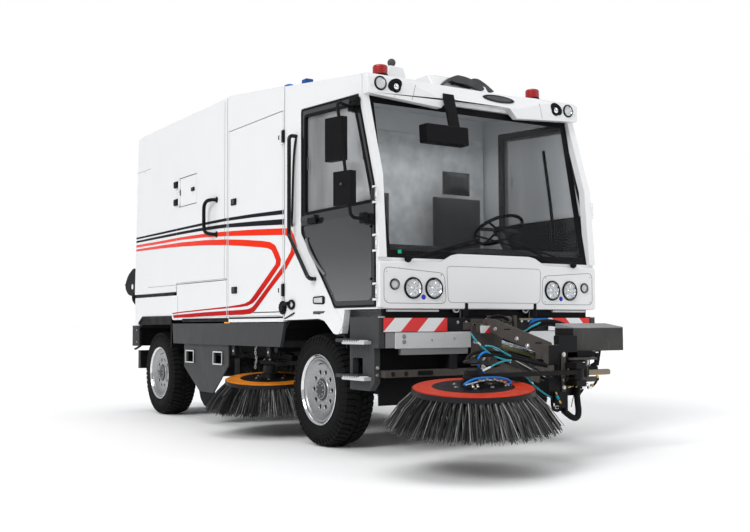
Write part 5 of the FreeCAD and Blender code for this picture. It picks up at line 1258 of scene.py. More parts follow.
    def cooling_unit(self):
        form = cad_form("air_conditioner")
        soften(form, 0.012, 20.0, 3)
        piece("cooling_unit", form, ["body white"], "chassis", "body_paint", "air_conditioner")
        form = new_form()
        covers = (
            ((0.350, 0.640), [(-0.250, 2.752), (-0.235, 2.770), (-0.156, 2.829), (-0.085, 2.872),
                              (-0.050, 2.884), (0.029, 2.879), (0.090, 2.866), (0.150, 2.846),
                              (0.215, 2.812), (0.205, 2.790), (0.148, 2.792), (0.082, 2.812),
                              (0.015, 2.820), (-0.080, 2.822), (-0.112, 2.836), (-0.195, 2.787),
                              (-0.240, 2.752)]),
            ((0.415, 0.700), [(0.120, 2.885), (0.165, 2.900), (0.211, 2.899), (0.280, 2.870),
                              (0.335, 2.838), (0.376, 2.812), (0.330, 2.808), (0.265, 2.824),
                              (0.190, 2.856)]))
        for span, outline in covers:
            plate_in(form, rounded_outline(outline, 0.02, 3), "y",
                     (CAB_FACE + span[0], CAB_FACE + span[1]), 0.004)
        plate_in(form, rounded_outline([(-0.100, 2.812), (0.015, 2.806), (0.090, 2.795),
                                        (0.020, 2.800), (-0.085, 2.820)], 0.005, 2), "y",
                 (CAB_FACE + 0.352, CAB_FACE + 0.420), 0.002, 1)
        piece("cooling_covers", form, ["dark cover", "black plastic"], "chassis", "body_paint")


class MirrorsWipers(bpy.types.Operator):
    """Nose mirror, the glass of every mirror and the two wipers"""
    bl_idname = "sweeper.mirrors_wipers"
    bl_label = "Mirrors and wipers"

    def execute(self, context):
        form = cad_form("nose_mirror")
        for vert in form.verts:
            if vert.co.z < 2.42:
                vert.co.z -= 0.022
                vert.co.x += (2.42 - vert.co.z) * 0.06
        soften(form, 0.030, 30.0, 4, chosen=lambda e: e.calc_length() > 0.045)
        piece("nose_mirror_body", form, ["black plastic"], "chassis", "plastic_black",
              "nose_mirror")
        form = new_form()
        box_in(form, at(-0.572, 0.0865, 2.276), at(-0.272, 0.0885, 2.360), 0.0008)
        piece("nose_mirror_glass", form, ["mirror face"], "chassis", "plastic_black")
        form = new_form()
        turn = Matrix.Rotation(math.radians(MIRROR_TURN), 3, "Z")
        for y, low, high in ((0.246, 2.098, 2.390), (0.130, 1.770, 1.990)):
            spot = at(-1.1935, y, (low + high) / 2)
            half = Vector((0.001, 0.068, (high - low) / 2))
            box_in(form, spot - half, spot + half, 0.0008, 0, turn)
        piece("side_mirror_glass", form, ["mirror face"], "cab_door_right", "plastic_black")
        form = new_form()
        for side in (-1, 1):
            pivot = at(side * 0.790, nose(1.400) - 0.022, 1.392)
            ahead = Vector((0, -1, 0))
            lathe_in(form, [(-0.014, 0.026), (0.004, 0.024), (0.016, 0.017), (0.020, 0.0)],
                     pivot, ahead, 0, 24)
            tip_x, tip_z = side * 0.03, 1.560
            tip = at(tip_x, nose(tip_z) - 0.020, tip_z)
            middle = pivot.lerp(tip, 0.5) + Vector((0, -0.012, 0.02))
            pipe_in(form, [pivot + ahead * 0.012, middle, tip + Vector((side * 0.12, -0.006, 0))],
                    0.007, 0)
            start = at(side * 0.46, nose(1.475) - 0.012, 1.470)
            end = at(side * -0.18, nose(1.60) - 0.012, 1.585)
            run = end - start
            up = Vector((0, 0, 0.011))
            for lift, radius in ((0.0, 0.0045), (0.010, 0.006)):
                bar_in(form, start + Vector((0, -lift, 0)), end + Vector((0, -lift, 0)), radius,
                       0, 10)
            for share in (0.12, 0.36, 0.64, 0.88):
                clip = start + run * share
                box_in(form, clip - Vector((0.010, 0.018, 0.004)) - up * 0.2,
                       clip + Vector((0.010, 0.004, 0.004)) + up * 0.2, 0.001, 0, None, 1)
            bar_in(form, at(side * 0.60, nose(1.40) - 0.02, 1.405),
                   at(side * 0.25, nose(1.52) - 0.02, 1.520), 0.005, 0, 10)
        piece("wiper_gear", form, ["black plastic"], "chassis", "plastic_black", "wipers")
        return {"FINISHED"}


class CabInside(bpy.types.Operator):
    """Seats, steering wheel, rear lining and far handrails seen through the glass"""
    bl_idname = "sweeper.cab_inside"
    bl_label = "Seats and dashboard"

    def execute(self, context):
        for index, x in enumerate((-0.48, 0.48)):
            form = new_form()
            y = CAB_FACE + 0.56
            base = new_form()
            box_in(base, (x - 0.19, y + 0.11, 1.05), (x + 0.19, y + 0.46, 1.30), 0.012)
            bar_in(base, Vector((x - 0.2, y + 0.2, 1.31)), Vector((x + 0.2, y + 0.2, 1.31)), 0.014)
            for low, high in (((x - 0.255, y, 1.325), (x + 0.255, y + 0.50, 1.445)),
                              ((x - 0.245, y + 0.46, 1.42), (x + 0.245, y + 0.58, 2.02)),
                              ((x - 0.14, y + 0.475, 2.05), (x + 0.14, y + 0.575, 2.25))):
                self.cushion(form, low, high)
            seat = piece("seat_cushions_%d" % index, form, ["seat cloth"], "chassis",
                         "seat_cloth", *(("seats",) if index == 0 else ()))
            piece("seat_frame_%d" % index, base, ["black plastic"], "chassis", "plastic_black")
        form = new_form()
        hub = at(0.48, 0.52, 1.70)
        tilt = Matrix.Rotation(math.radians(-30), 3, "X")
        axis = tilt @ Vector((0, 0, 1))
        ring = [(0.014 * math.sin(math.tau * k / 12), 0.205 + 0.014 * math.cos(math.tau * k / 12))
                for k in range(13)]
        lathe_in(form, ring, hub, axis, 0, 56)
        lathe_in(form, [(-0.03, 0.0), (-0.03, 0.05), (0.01, 0.045), (0.016, 0.0)], hub, axis, 0,
                 32)
        for turn in (90, 210, 330):
            out = tilt @ Vector((math.cos(math.radians(turn)), math.sin(math.radians(turn)), 0))
            bar_in(form, hub + out * 0.03, hub + out * 0.2, 0.009, 0, 10)
        piece("steering_wheel", form, ["black plastic"], "chassis", "plastic_black")
        form = new_form()
        for side in (-1, 1):
            pipe_in(form, [at(side * 0.93, 0.36, 1.62), at(side * 0.90, 0.30, 1.70),
                           at(side * 0.90, 0.42, 2.30), at(side * 0.93, 0.46, 2.38)], 0.014, 0)
        box_in(form, at(-0.96, 1.300, 1.55), at(0.96, 1.325, 2.60), 0.01, 1)
        piece("cab_lining", form, ["black plastic", "lining grey"], "chassis", "plastic_black")
        return {"FINISHED"}

    @staticmethod
    def cushion(form, low, high):
        """A crowned cushion with a seam round it."""
        crown = 0.04
        low, high = Vector(low), Vector(high)
        size = high - low
        made = bmesh.ops.create_cube(form, size=1.0, matrix=Matrix.Translation((low + high) / 2)
                                     @ Matrix.Diagonal((size.x, size.y, size.z, 1)))
        verts = made["verts"]
        bmesh.ops.subdivide_edges(form, edges=edges_of(verts), cuts=9, use_grid_fill=True)
        middle = (low + high) / 2
        near = [v for v in form.verts if all(low[k] - 1e-4 <= v.co[k] <= high[k] + 1e-4
                                             for k in range(3))]
        thin = min(range(3), key=lambda k: size[k])
        broad = [k for k in range(3) if k != thin]
        for v in near:
            part = [(v.co[k] - middle[k]) / (size[k] / 2) for k in range(3)]
            rise = math.prod(max(0.0, 1 - part[k] ** 4) for k in broad)
            seam = 0.012 * math.exp(-((abs(part[broad[0]]) - 0.62) / 0.05) ** 2)
            v.co[thin] += math.copysign(1, part[thin]) * (crown * (rise - 0.55) - seam) \
                * abs(part[thin])
            for k in broad:
                v.co[k] -= 0.02 * part[k] * abs(part[thin]) ** 3


def strand_in(form, base, tip, width, tone, layer):
    """One flat-sided tapering bristle of three faces."""
    run = tip - base
    across = run.cross(Vector((0, 0, 1))).normalized() * width
    if across.length < 1e-6:
        across = Vector((width, 0, 0))
    depth = run.normalized().cross(across.normalized()) * width
    ring = [base + across, base - across * 0.5 + depth, base - across * 0.5 - depth]
    bow = Vector((0, 0, 0.02))
    mid = (base + tip) / 2 + bow
    rings = [ring, [mid + (p - base) * 0.9 for p in ring], [tip + (p - base) * 0.6 for p in ring]]
    verts = [[form.verts.new(p) for p in row] for row in rings]
    for row in range(2):
        for k in range(3):
            face = form.faces.new((verts[row][k], verts[row][(k + 1) % 3],
                                   verts[row + 1][(k + 1) % 3], verts[row + 1][k]))
            face.smooth = True
            for loop in face.loops:
                loop[layer] = (tone, tone, tone, 1)
    form.faces.new(reversed(verts[2]))


def brush_axis(side):
    """The upward axis of a leaning brush, towards the front and its own side."""
    return Vector((0.0516 * side, -0.0807, 0.9954)).normalized()


def bristles_of(body, centre, axis, disc_finish, seed):
    """A conical brush: bristles in tufted rows, the painted plate and its hub."""
    root, tip, drop = 0.372, 0.552, 0.250  # the plate's radius, the bristles' reach and depth
    place = Matrix.Translation(centre) @ towards(axis)
    rand = random.Random(seed)
    form = new_form()
    layer = form.loops.layers.float_color.new(STRAND_TONE)
    sectors, tufts = 12, 5
    span = math.tau / sectors
    for _ in range(sizes().bristle_rows):
        tuft = (rand.randrange(tufts) + 0.5 + rand.gauss(0, 0.20)) / tufts * span
        depth = rand.random()
        start = root - 0.10 * depth
        spread = tip - (tip - root - 0.03) * depth * 1.15 + rand.gauss(0, 0.012)
        low = -drop * (0.90 + 0.10 * rand.random())
        swirl = tuft + rand.gauss(0.0, 0.05)
        base = Vector((start * math.cos(tuft), start * math.sin(tuft), -0.015))
        end = Vector((spread * math.cos(swirl), spread * math.sin(swirl), low))
        tone = min(1.0, max(0.0, rand.gauss(0.46, 0.30)))
        strand_in(form, base, end, 0.0030 + 0.0014 * rand.random(), tone, layer)
    sector = form.copy()
    for k in range(1, sectors):
        turned = sector.copy()
        bmesh.ops.rotate(turned, cent=(0, 0, 0), matrix=Matrix.Rotation(span * k, 3, "Z"),
                         verts=turned.verts[:])
        add_form(form, turned)
    sector.free()
    form.transform(place)
    piece(body + "_bristles", form, ["bristles"], body, "bristle", body)
    form = new_form()
    up = Vector((0, 0, 1))
    origin = Vector((0, 0, 0))
    each(lathe_in, form,
         ([(-0.020, root - 0.10), (-0.022, root - 0.02), (-0.014, root + 0.006),
           (0.004, root + 0.010), (0.009, root + 0.002), (0.006, root - 0.030),
           (0.012, root - 0.115)], origin, up, 0, 72),
         ([(0.012, root - 0.112), (0.016, root - 0.125), (0.016, 0.10), (0.020, 0.085),
           (0.050, 0.075), (0.055, 0.05), (0.055, 0.0)], origin, up, 1, 60),
         ([(-0.020, root - 0.10), (-0.03, 0.10), (-0.03, 0.0)], origin, up, 1, 48),
         ([(0.000, root + 0.0105), (0.002, root + 0.0155), (-0.032, root + 0.0170),
           (-0.036, root + 0.004)], origin, up, 2, 72))
    for k in range(6):
        turn = math.tau * (k + 0.5) / 6
        spot = Vector((math.cos(turn) * 0.13, math.sin(turn) * 0.13, 0.016))
        screw_in(form, spot, up, 0.010, 3)
    form.transform(place)
    piece(body + "_plate", form, [disc_finish, "black plastic", "frame black", "zinc"], body,
          "bristle")


class Brushes(bpy.types.Operator):
    """Front and gutter brushes with their bristles, and the roller brush"""
    bl_idname = "sweeper.brushes"
    bl_label = "Brushes"

    def execute(self, context):
        bristles_of("front_brush", FRONT_BRUSH, brush_axis(-1), "disc red", 5)
        for label, side in SIDES:
            bristles_of("side_brush_" + label, gutter_brush(side), brush_axis(side),
                        "disc orange", 9 + side)
        rand = random.Random(3)
        form = new_form()
        layer = form.loops.layers.float_color.new(STRAND_TONE)
        low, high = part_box("roller_brush")
        centre = (low + high) / 2
        radius = (high.z - low.z) / 2
        half, rows, strands, twist = 0.62, 14, 64, 2.2
        for row in range(rows):
            for k in range(strands):
                x = -half + 2 * half * (k + rand.random() * 0.6) / strands
                turn = math.tau * (row / rows) + x * twist
                out = Vector((0, math.cos(turn), math.sin(turn)))
                base = centre + Vector((x, 0, 0)) + out * 0.07
                tip = centre + Vector((x + rand.gauss(0, 0.01), 0, 0)) + out * (radius - 0.004)
                strand_in(form, base, tip, 0.0042, min(1.0, max(0.0, rand.gauss(0.4, 0.2))), layer)
        piece("roller_bristles", form, ["bristles"], "roller_brush", "bristle", "roller_brush")
        form = new_form()
        bar_in(form, Vector((low.x, centre.y, centre.z)), Vector((high.x, centre.y, centre.z)),
               0.021, 0, 24)
        bar_in(form, centre - Vector((half + 0.01, 0, 0)), centre + Vector((half + 0.01, 0, 0)),
               0.072, 0, 40, 0.004)
        piece("roller_core", form, ["frame black"], "roller_brush", "frame_black")
        return {"FINISHED"}


class Wheels(bpy.types.Operator):
    """Tyres with tread lugs, silver rims, wheel nuts and hubs"""
    bl_idname = "sweeper.wheels"
    bl_label = "Wheels"

    def execute(self, context):
        for end, y in AXLES:
            for label, side in SIDES:
                self.wheel("%s_%s" % (end, label), at(TRACK_HALF * side, y, WHEEL_RADIUS), side)
        return {"FINISHED"}

    @staticmethod
    def wheel(label, centre, side):
        body = "wheel_" + label
        out = Vector((side, 0, 0))
        half = TYRE_HALF
        form = new_form()
        profile = [(-half + 0.012, 0.262), (-half + 0.002, 0.280), (-half, 0.320),
                   (-half + 0.004, 0.365), (-half + 0.020, 0.398), (-half + 0.038, 0.412),
                   (-half + 0.045, 0.420), (half - 0.045, 0.420), (half - 0.038, 0.412),
                   (half - 0.020, 0.398), (half - 0.004, 0.365), (half, 0.320),
                   (half - 0.002, 0.300), (half - 0.004, 0.286), (half, 0.280),
                   (half - 0.012, 0.262), (half - 0.020, 0.247), (-half + 0.020, 0.247),
                   (-half + 0.012, 0.262)]
        lathe_in(form, profile, centre, out, 0, 72)
        lathe_in(form, [(half - 0.003, 0.345), (half, 0.348), (half - 0.004, 0.352)],
                 centre, out, 0, 72)
        pitch = math.tau / sizes().tread_pitches
        lugs = new_form()
        origin = Vector((0, 0, 0))
        for along, width, start in ((-0.088, 0.064, 0.0), (0.088, 0.064, 0.5),
                                    (-0.034, 0.036, 0.25), (0.034, 0.036, 0.75)):
            shoulder = abs(along) > 0.06
            long = pitch * WHEEL_RADIUS * 0.37
            lug = new_form()
            box_in(lug, (along - width / 2, -long, 0.398 if shoulder else 0.412),
                   (along + width / 2, long, 0.4325))
            if shoulder:
                for v in lug.verts:
                    if abs(v.co.x) > 0.1:
                        v.co.z -= 0.014
                        v.co.x -= math.copysign(0.002, v.co.x)
            else:
                for v in lug.verts:
                    v.co.y += math.copysign(0.007, v.co.x - along) * math.copysign(1, along)
            bmesh.ops.rotate(lug, cent=origin, matrix=Matrix.Rotation(pitch * start, 3, "X"),
                             verts=lug.verts[:])
            add_form(lugs, lug)
        for v in (-1, 1):
            block = new_form()
            long = pitch * 0.4 * 0.22
            box_in(block, (v * 0.1235 - 0.0075, -long, 0.352), (v * 0.1235 + 0.0075, long, 0.404))
            for vert in block.verts:
                vert.co.x += v * (-0.010 if vert.co.z > 0.39 else 0.0015)
            add_form(lugs, block)
        rolled = new_form()
        for k in range(sizes().tread_pitches):
            turned = lugs.copy()
            bmesh.ops.rotate(turned, cent=origin, matrix=Matrix.Rotation(pitch * k, 3, "X"),
                             verts=turned.verts[:])
            add_form(rolled, turned)
        lugs.free()
        bmesh.ops.translate(rolled, verts=rolled.verts[:], vec=centre)
        add_form(form, rolled)
        piece("tyre_tread_" + label, form, ["tyre rubber"], body, "rubber_tyre",
              "tyre_" + label, sharp=30.0)

        form = cad_form("rim_" + label, 0.5)
        soften(form, 0.002, 35.0, 1)
        piece("rim_disc_" + label, form, ["rim silver"], body, "rim_paint", "rim_" + label,
              sharp=32.0)
        form = new_form()
        low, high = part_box("rim_" + label)
        outer = max(abs(low.x), abs(high.x)) - TRACK_HALF
        lathe_in(form, [(half - 0.018, 0.250), (half - 0.006, 0.258), (half - 0.002, 0.266),
                        (half - 0.006, 0.272), (half - 0.016, 0.270)], centre, out, 0, 64)
        for k in range(10):
            turn = math.tau * (k + 0.5) / 10
            spot = centre + Vector((side * (outer - 0.048), math.cos(turn) * 0.105,
                                    math.sin(turn) * 0.105))
            bar_in(form, spot, spot + out * 0.020, 0.0085, 1, 6, 0.001)
            slot = centre + Vector((side * (outer - 0.0475), math.cos(turn) * 0.150,
                                    math.sin(turn) * 0.150))
            part = new_form()
            plate_in(part, [(0.031 * math.cos(math.tau * j / 20),
                             0.024 * math.sin(math.tau * j / 20)) for j in range(20)], "x",
                     (-0.004, 0.0025), 0.0008, 2)
            bmesh.ops.rotate(part, cent=origin, verts=part.verts[:],
                             matrix=Matrix.Rotation(turn, 3, "X"))
            bmesh.ops.translate(part, verts=part.verts[:], vec=slot)
            add_form(form, part)
        lathe_in(form, [(outer - 0.060, 0.092), (outer - 0.030, 0.089), (outer - 0.012, 0.078),
                        (outer - 0.006, 0.060), (outer - 0.006, 0.030), (outer - 0.002, 0.026),
                        (outer - 0.002, 0.0)], centre, out, 2, 48)
        for k in range(8):
            turn = math.tau * k / 8
            spot = centre + Vector((side * (outer - 0.0065), math.cos(turn) * 0.047,
                                    math.sin(turn) * 0.047))
            bar_in(form, spot, spot + out * 0.004, 0.0055, 1, 6)
        valve = centre + Vector((side * (half - 0.05), 0.0, 0.205))
        bar_in(form, valve, valve + Vector((side * 0.035, 0, -0.012)), 0.004, 3, 10)
        piece("rim_fittings_" + label, form, ["chrome", "zinc", "hub grey", "black plastic"], body,
              "rim_paint")


# Stripe edges on the truck's side, upper edge first, as (y, z) from the cab's face.
STRIPES = (
    ("stripe navy", "high",
     [(4.975, 1.907), (4.239, 1.907), (3.617, 1.908), (3.055, 1.908), (2.583, 1.905),
      (2.0, 1.890), (1.394, 1.867)],
     [(4.975, 1.886), (4.239, 1.885), (3.617, 1.885), (3.055, 1.883), (2.583, 1.878),
      (2.0, 1.859), (1.394, 1.831)]),
    ("stripe navy", "low",
     [(4.975, 1.869), (4.239, 1.869), (3.617, 1.868), (3.055, 1.863), (2.583, 1.852),
      (2.0, 1.825), (1.394, 1.792)],
     [(4.975, 1.848), (4.239, 1.844), (3.617, 1.840), (3.055, 1.832), (2.583, 1.818),
      (2.0, 1.784), (1.394, 1.745)]),
    ("stripe red", "outer",
     [(4.975, 1.822), (4.236, 1.815), (3.615, 1.812), (3.052, 1.801), (2.581, 1.784),
      (1.999, 1.754), (1.394, 1.716), (1.298, 1.706), (1.252, 1.660), (1.210, 1.595),
      (1.186, 1.551), (1.203, 1.515), (1.369, 1.383), (1.642, 1.231), (1.886, 1.084),
      (1.949, 1.049), (2.031, 1.027), (2.180, 1.021), (2.492, 1.019), (3.041, 1.014),
      (3.662, 1.006), (3.824, 1.004)],
     [(4.975, 1.796), (4.236, 1.787), (3.615, 1.784), (3.052, 1.766), (2.581, 1.741),
      (1.999, 1.702), (1.394, 1.660), (1.345, 1.645), (1.315, 1.615), (1.296, 1.585),
      (1.284, 1.554), (1.293, 1.521), (1.409, 1.425), (1.711, 1.248), (1.967, 1.101),
      (2.013, 1.082), (2.077, 1.070), (2.181, 1.065), (2.493, 1.061), (3.042, 1.053),
      (3.662, 1.038), (3.850, 1.033)]),
    ("stripe red", "inner",
     [(4.975, 1.775), (4.236, 1.768), (3.615, 1.759), (3.052, 1.739), (2.581, 1.712),
      (2.186, 1.680), (1.818, 1.643), (1.661, 1.622), (1.568, 1.589), (1.509, 1.527),
      (1.462, 1.464), (1.474, 1.419), (1.677, 1.290), (1.913, 1.149), (1.986, 1.117),
      (2.096, 1.096), (2.238, 1.089), (2.493, 1.083), (3.042, 1.070), (3.662, 1.053),
      (3.851, 1.044)],
     [(4.975, 1.752), (4.236, 1.737), (3.615, 1.717), (3.052, 1.690), (2.581, 1.659),
      (2.185, 1.624), (1.818, 1.587), (1.700, 1.572), (1.632, 1.550), (1.588, 1.505),
      (1.553, 1.459), (1.562, 1.431), (1.764, 1.309), (2.004, 1.165), (2.059, 1.138),
      (2.153, 1.119), (2.277, 1.109), (2.493, 1.099), (3.042, 1.083), (3.663, 1.065),
      (3.876, 1.055)]),
)

# Panels that a stripe is cut into: body, first and last place along the truck, and the
# heights between which the panel shows there.
STRIPE_PANELS = (
    ("cab_shell", "chassis", 1.12, 1.390, 0.98, 2.6),
    ("engine_bay_front", "chassis", 1.4135, 1.427, 0.98, 2.6),
    ("service_door", "service_door", 1.4375, 2.4945, 1.012, 2.6),
    ("engine_bay_rear", "chassis", 2.505, 2.5225, 0.98, 2.6),
    ("hopper_front", "hopper", 2.540, 3.774, 1.348, 2.6),
    ("hopper_rear", "hopper", 3.778, 4.972, 1.273, 2.6),
    ("rear_base", "chassis", 2.540, 3.900, 0.99, 1.335),
)


def kept_between(form, axis, low, high):
    """Cuts a form down to what lies between two places on an axis."""
    for place, clear_outer, clear_inner in ((low, False, True), (high, True, False)):
        spot, normal = Vector((0, 0, 0)), Vector((0, 0, 0))
        spot[axis] = place
        normal[axis] = 1
        bmesh.ops.bisect_plane(form, geom=form.verts[:] + form.edges[:] + form.faces[:],
                               plane_co=spot, plane_no=normal, clear_outer=clear_outer,
                               clear_inner=clear_inner)


class Stripes(bpy.types.Operator):
    """Two navy and two red stripes along both sides, cut at each panel's edge"""
    bl_idname = "sweeper.stripes"
    bl_label = "Side stripes"

    def execute(self, context):
        for label, side in SIDES:
            x = (BODY_HALF + sizes().decal_lift) * side
            for finish, tier, upper, lower in STRIPES:
                whole = new_form()
                rows = [[whole.verts.new(at(x, y, z)) for y, z in row] for row in (upper, lower)]
                rails = [[whole.edges.new(pair) for pair in zip(row, row[1:])] for row in rows]
                bmesh.ops.bridge_loops(whole, edges=rails[0] + rails[1])
                bmesh.ops.recalc_face_normals(whole, faces=whole.faces[:])
                if sum(f.normal.x * f.calc_area() for f in whole.faces) * side < 0:
                    bmesh.ops.reverse_faces(whole, faces=whole.faces[:])
                for panel, body, first, last, low, high in STRIPE_PANELS:
                    part = whole.copy()
                    kept_between(part, 1, first + CAB_FACE, last + CAB_FACE)
                    if part.faces:
                        kept_between(part, 2, low, high)
                    if not part.faces:
                        part.free()
                        continue
                    rides = "%s_%s" % (body, label) if body == "service_door" else body
                    colour = finish.split()[1]
                    piece("stripe_%s_%s_%s_%s" % (colour, tier, panel, label), part, [finish],
                          rides, "body_paint")
                whole.free()
        return {"FINISHED"}


class SideDetails(bpy.types.Operator):
    """Seams, latches, hinges, fillers, lamps and small fittings of the sides"""
    bl_idname = "sweeper.side_details"
    bl_label = "Side fittings"

    def execute(self, context):
        for label, side in SIDES:
            self.service_door(label, side)
            self.cab_side(label, side)
            self.seams(label, side)
            self.arches(label, side)
        self.hatch()
        return {"FINISHED"}

    @staticmethod
    def service_door(label, side):
        out = Vector((side, 0, 0))
        door = new_form()
        for z in (2.034, 1.241):
            spot = at(BODY_HALF * side, 2.382 if z > 2 else 2.362, z)
            low, high = side_x(side, BODY_HALF, 1.042)
            box_in(door, (low, spot.y - 0.052, z - 0.030), (high, spot.y + 0.052, z + 0.030),
                   0.008, 0, None, 3)
            lathe_in(door, [(0.012, 0.022), (0.016, 0.021), (0.017, 0.012), (0.014, 0.011),
                            (0.014, 0.0)], spot, out, 2, 24)
        for z in (2.472, 1.213):
            side_box(door, side, (BODY_HALF, 1.046), (1.437, z - 0.019), (1.492, z + 0.019), 0.005)
            screw_in(door, at(1.046 * side, 1.470, z), out, 0.006, 2)
        piece("service_door_fittings_" + label, door,
              ["black plastic", "hose teal", "hub grey"], "service_door_" + label,
              "plastic_black")
        form = new_form()
        for z in (2.472, 1.213):
            side_box(form, side, (BODY_HALF, 1.047), (1.396, z - 0.052), (1.433, z + 0.052), 0.006)
            for drop in (-0.036, 0.036):
                screw_in(form, at(1.047 * side, 1.414, z + drop), out, 0.005, 1)
        piece("service_hinge_posts_" + label, form, ["black plastic", "hub grey"], "chassis",
              "plastic_black")

    @staticmethod
    def cab_side(label, side):
        out = Vector((side, 0, 0))
        cab = new_form()
        spot = at(BODY_HALF * side, 1.415, 1.070)
        knob = []
        for k in range(64):
            turn = math.tau * k / 64
            reach = 0.052 + 0.004 * math.cos(turn * 12)
            knob.append((spot.y + reach * math.cos(turn), spot.z + reach * math.sin(turn)))
        plate_in(cab, knob, "x", side_x(side, 1.028, 1.050), 0.002)
        lathe_in(cab, [(0.020, 0.040), (0.030, 0.034), (0.030, 0.0)], spot, out, 0, 32)
        bar_in(cab, at(1.045 * side, 1.400, 1.092), at(1.045 * side, 1.310, 1.102), 0.016, 0, 16,
               0.003)
        ring = [at(1.040 * side, 1.266 + 0.046 * math.cos(math.tau * k / 16),
                   1.092 + 0.032 * math.sin(math.tau * k / 16)) for k in range(17)]
        each(pipe_in, cab,
             (ring, 0.010, 0),
             ([at(1.038 * side, 1.330, 1.106), at(1.042 * side, 1.300, 1.126),
               at(1.038 * side, 1.262, 1.112)], 0.005, 1),
             ([at(1.034 * side, 1.390, 0.982), at(1.040 * side, 1.330, 0.990),
               at(1.040 * side, 1.270, 1.010), at(1.034 * side, 1.225, 1.026)], 0.006, 0))
        frame_line = rounded_outline(placed([(0.920, 1.146), (0.752, 1.150), (0.738, 1.117),
                                             (0.752, 1.084), (0.920, 1.090)]), 0.022, 5)
        ring_in(cab, frame_line, 0.011, "x", side_x(side, 1.024, 1.037), 0.003)
        side_box(cab, side, (1.026, 1.038), (0.740, 1.092), (0.776, 1.142), 0.008)
        plate_in(cab, rounded_outline(placed([(0.912, 1.142), (0.772, 1.142), (0.772, 1.094),
                                              (0.912, 1.094)]), 0.014, 4), "x",
                 side_x(side, 1.024, 1.0335), 0.003, 2)
        low, high = side_x(side, 1.026, 1.036)
        box_in(cab, (low, CAB_FACE + 0.742, 1.012), (high, CAB_FACE + 0.918, 1.034), 0.004, 3)
        box_in(cab, (low, CAB_FACE + 0.800, 1.006), (high, CAB_FACE + 0.840, 1.020), 0.003, 0)
        piece("cab_side_fittings_" + label, cab,
              ["black plastic", "zinc", "lamp shell", "hub grey"], "chassis", "plastic_black")
        form = new_form()
        pipe_in(form, [at(BODY_HALF * side, 1.268, 1.728), at(1.052 * side, 1.240, 1.735),
                       at(1.056 * side, 1.224, 1.760), at(1.056 * side, 1.218, 1.820),
                       at(1.052 * side, 1.216, 2.108), at(1.046 * side, 1.205, 2.380),
                       at(BODY_HALF * side, 1.191, 2.436)], 0.010, 0)
        for y, z in ((1.268, 1.728), (1.191, 2.436)):
            lathe_in(form, [(0.0, 0.014), (0.004, 0.013), (0.005, 0.006)],
                     at(BODY_HALF * side, y, z), out, 0, 20)
        piece("inner_rail_" + label, form, ["black gloss"], "chassis", "black_metal")
        form = new_form()
        for y, z, long, tall in ((2.517, 0.936, 0.120, 0.046), (2.50, 0.800, 0.080, 0.032)):
            side_box(form, side, (1.0305, 1.0345), (y - long / 2, z - tall / 2),
                     (y + long / 2, z + tall / 2), 0.0015)
        piece("side_reflectors_" + label, form, ["amber lens"], "chassis", "lamp_lens")

    @staticmethod
    def seams(label, side):
        form = new_form()
        each(side_box, form,
             (side, (1.0297, 1.0312), (2.545, 1.352), (3.774, 1.355)),
             (side, (1.0297, 1.0312), (2.588, 1.36), (2.591, 2.985)),
             (side, (1.0297, 1.0312), (3.79, 1.336), (4.570, 1.339)),
             (side, (1.0297, 1.0312), (4.538, 2.621), (4.960, 2.624)))
        for y, z in ((4.70, 2.600), (4.56, 2.590), (4.567, 1.341), (4.57, 1.300), (4.90, 2.200),
                     (4.70, 1.900), (4.57, 1.480)):
            screw_in(form, at(BODY_HALF * side, y, z), (side, 0, 0), 0.004, 1, 0.002)
        piece("hopper_seams_" + label, form, ["groove", "zinc"], "hopper", "body_paint")
        form = new_form()
        # a grey strip inside the gap between engine bay and hopper is painted shade of the gap; a
        # white strip runs along its front edge
        side_box(form, side, (0.995, 1.020), (2.512, 1.24), (2.556, 2.97))
        side_box(form, side, (1.0005, 1.026), (2.514, 1.24), (2.524, 2.97), 0, 1)
        piece("hopper_gap_" + label, form, ["seam grey", "body white"], "chassis", "body_paint")
        form = new_form()
        side_box(form, side, (0.990, 1.030), (2.500, 0.962), (3.610, 1.000), 0.004, 0)
        side_box(form, side, (0.990, 1.030), (1.420, 0.955), (2.495, 1.004), 0.004, 1)
        piece("sill_strips_" + label, form, ["black plastic", "body white"], "chassis",
              "body_paint")
        form = new_form()
        side_box(form, side, (0.985, 1.024), (3.84, 1.232), (5.02, 1.267), 0.003, 0)
        piece("hopper_rest_strip_" + label, form, ["black plastic"], "chassis", "plastic_black")
        form = new_form()
        side_box(form, side, (1.0296, 1.0308), (3.724, 0.99), (3.7275, 1.225))
        side_box(form, side, (1.0296, 1.0308), (1.470, 1.006), (3.55, 1.0085))
        piece("base_seams_" + label, form, ["groove"], "chassis", "body_paint")

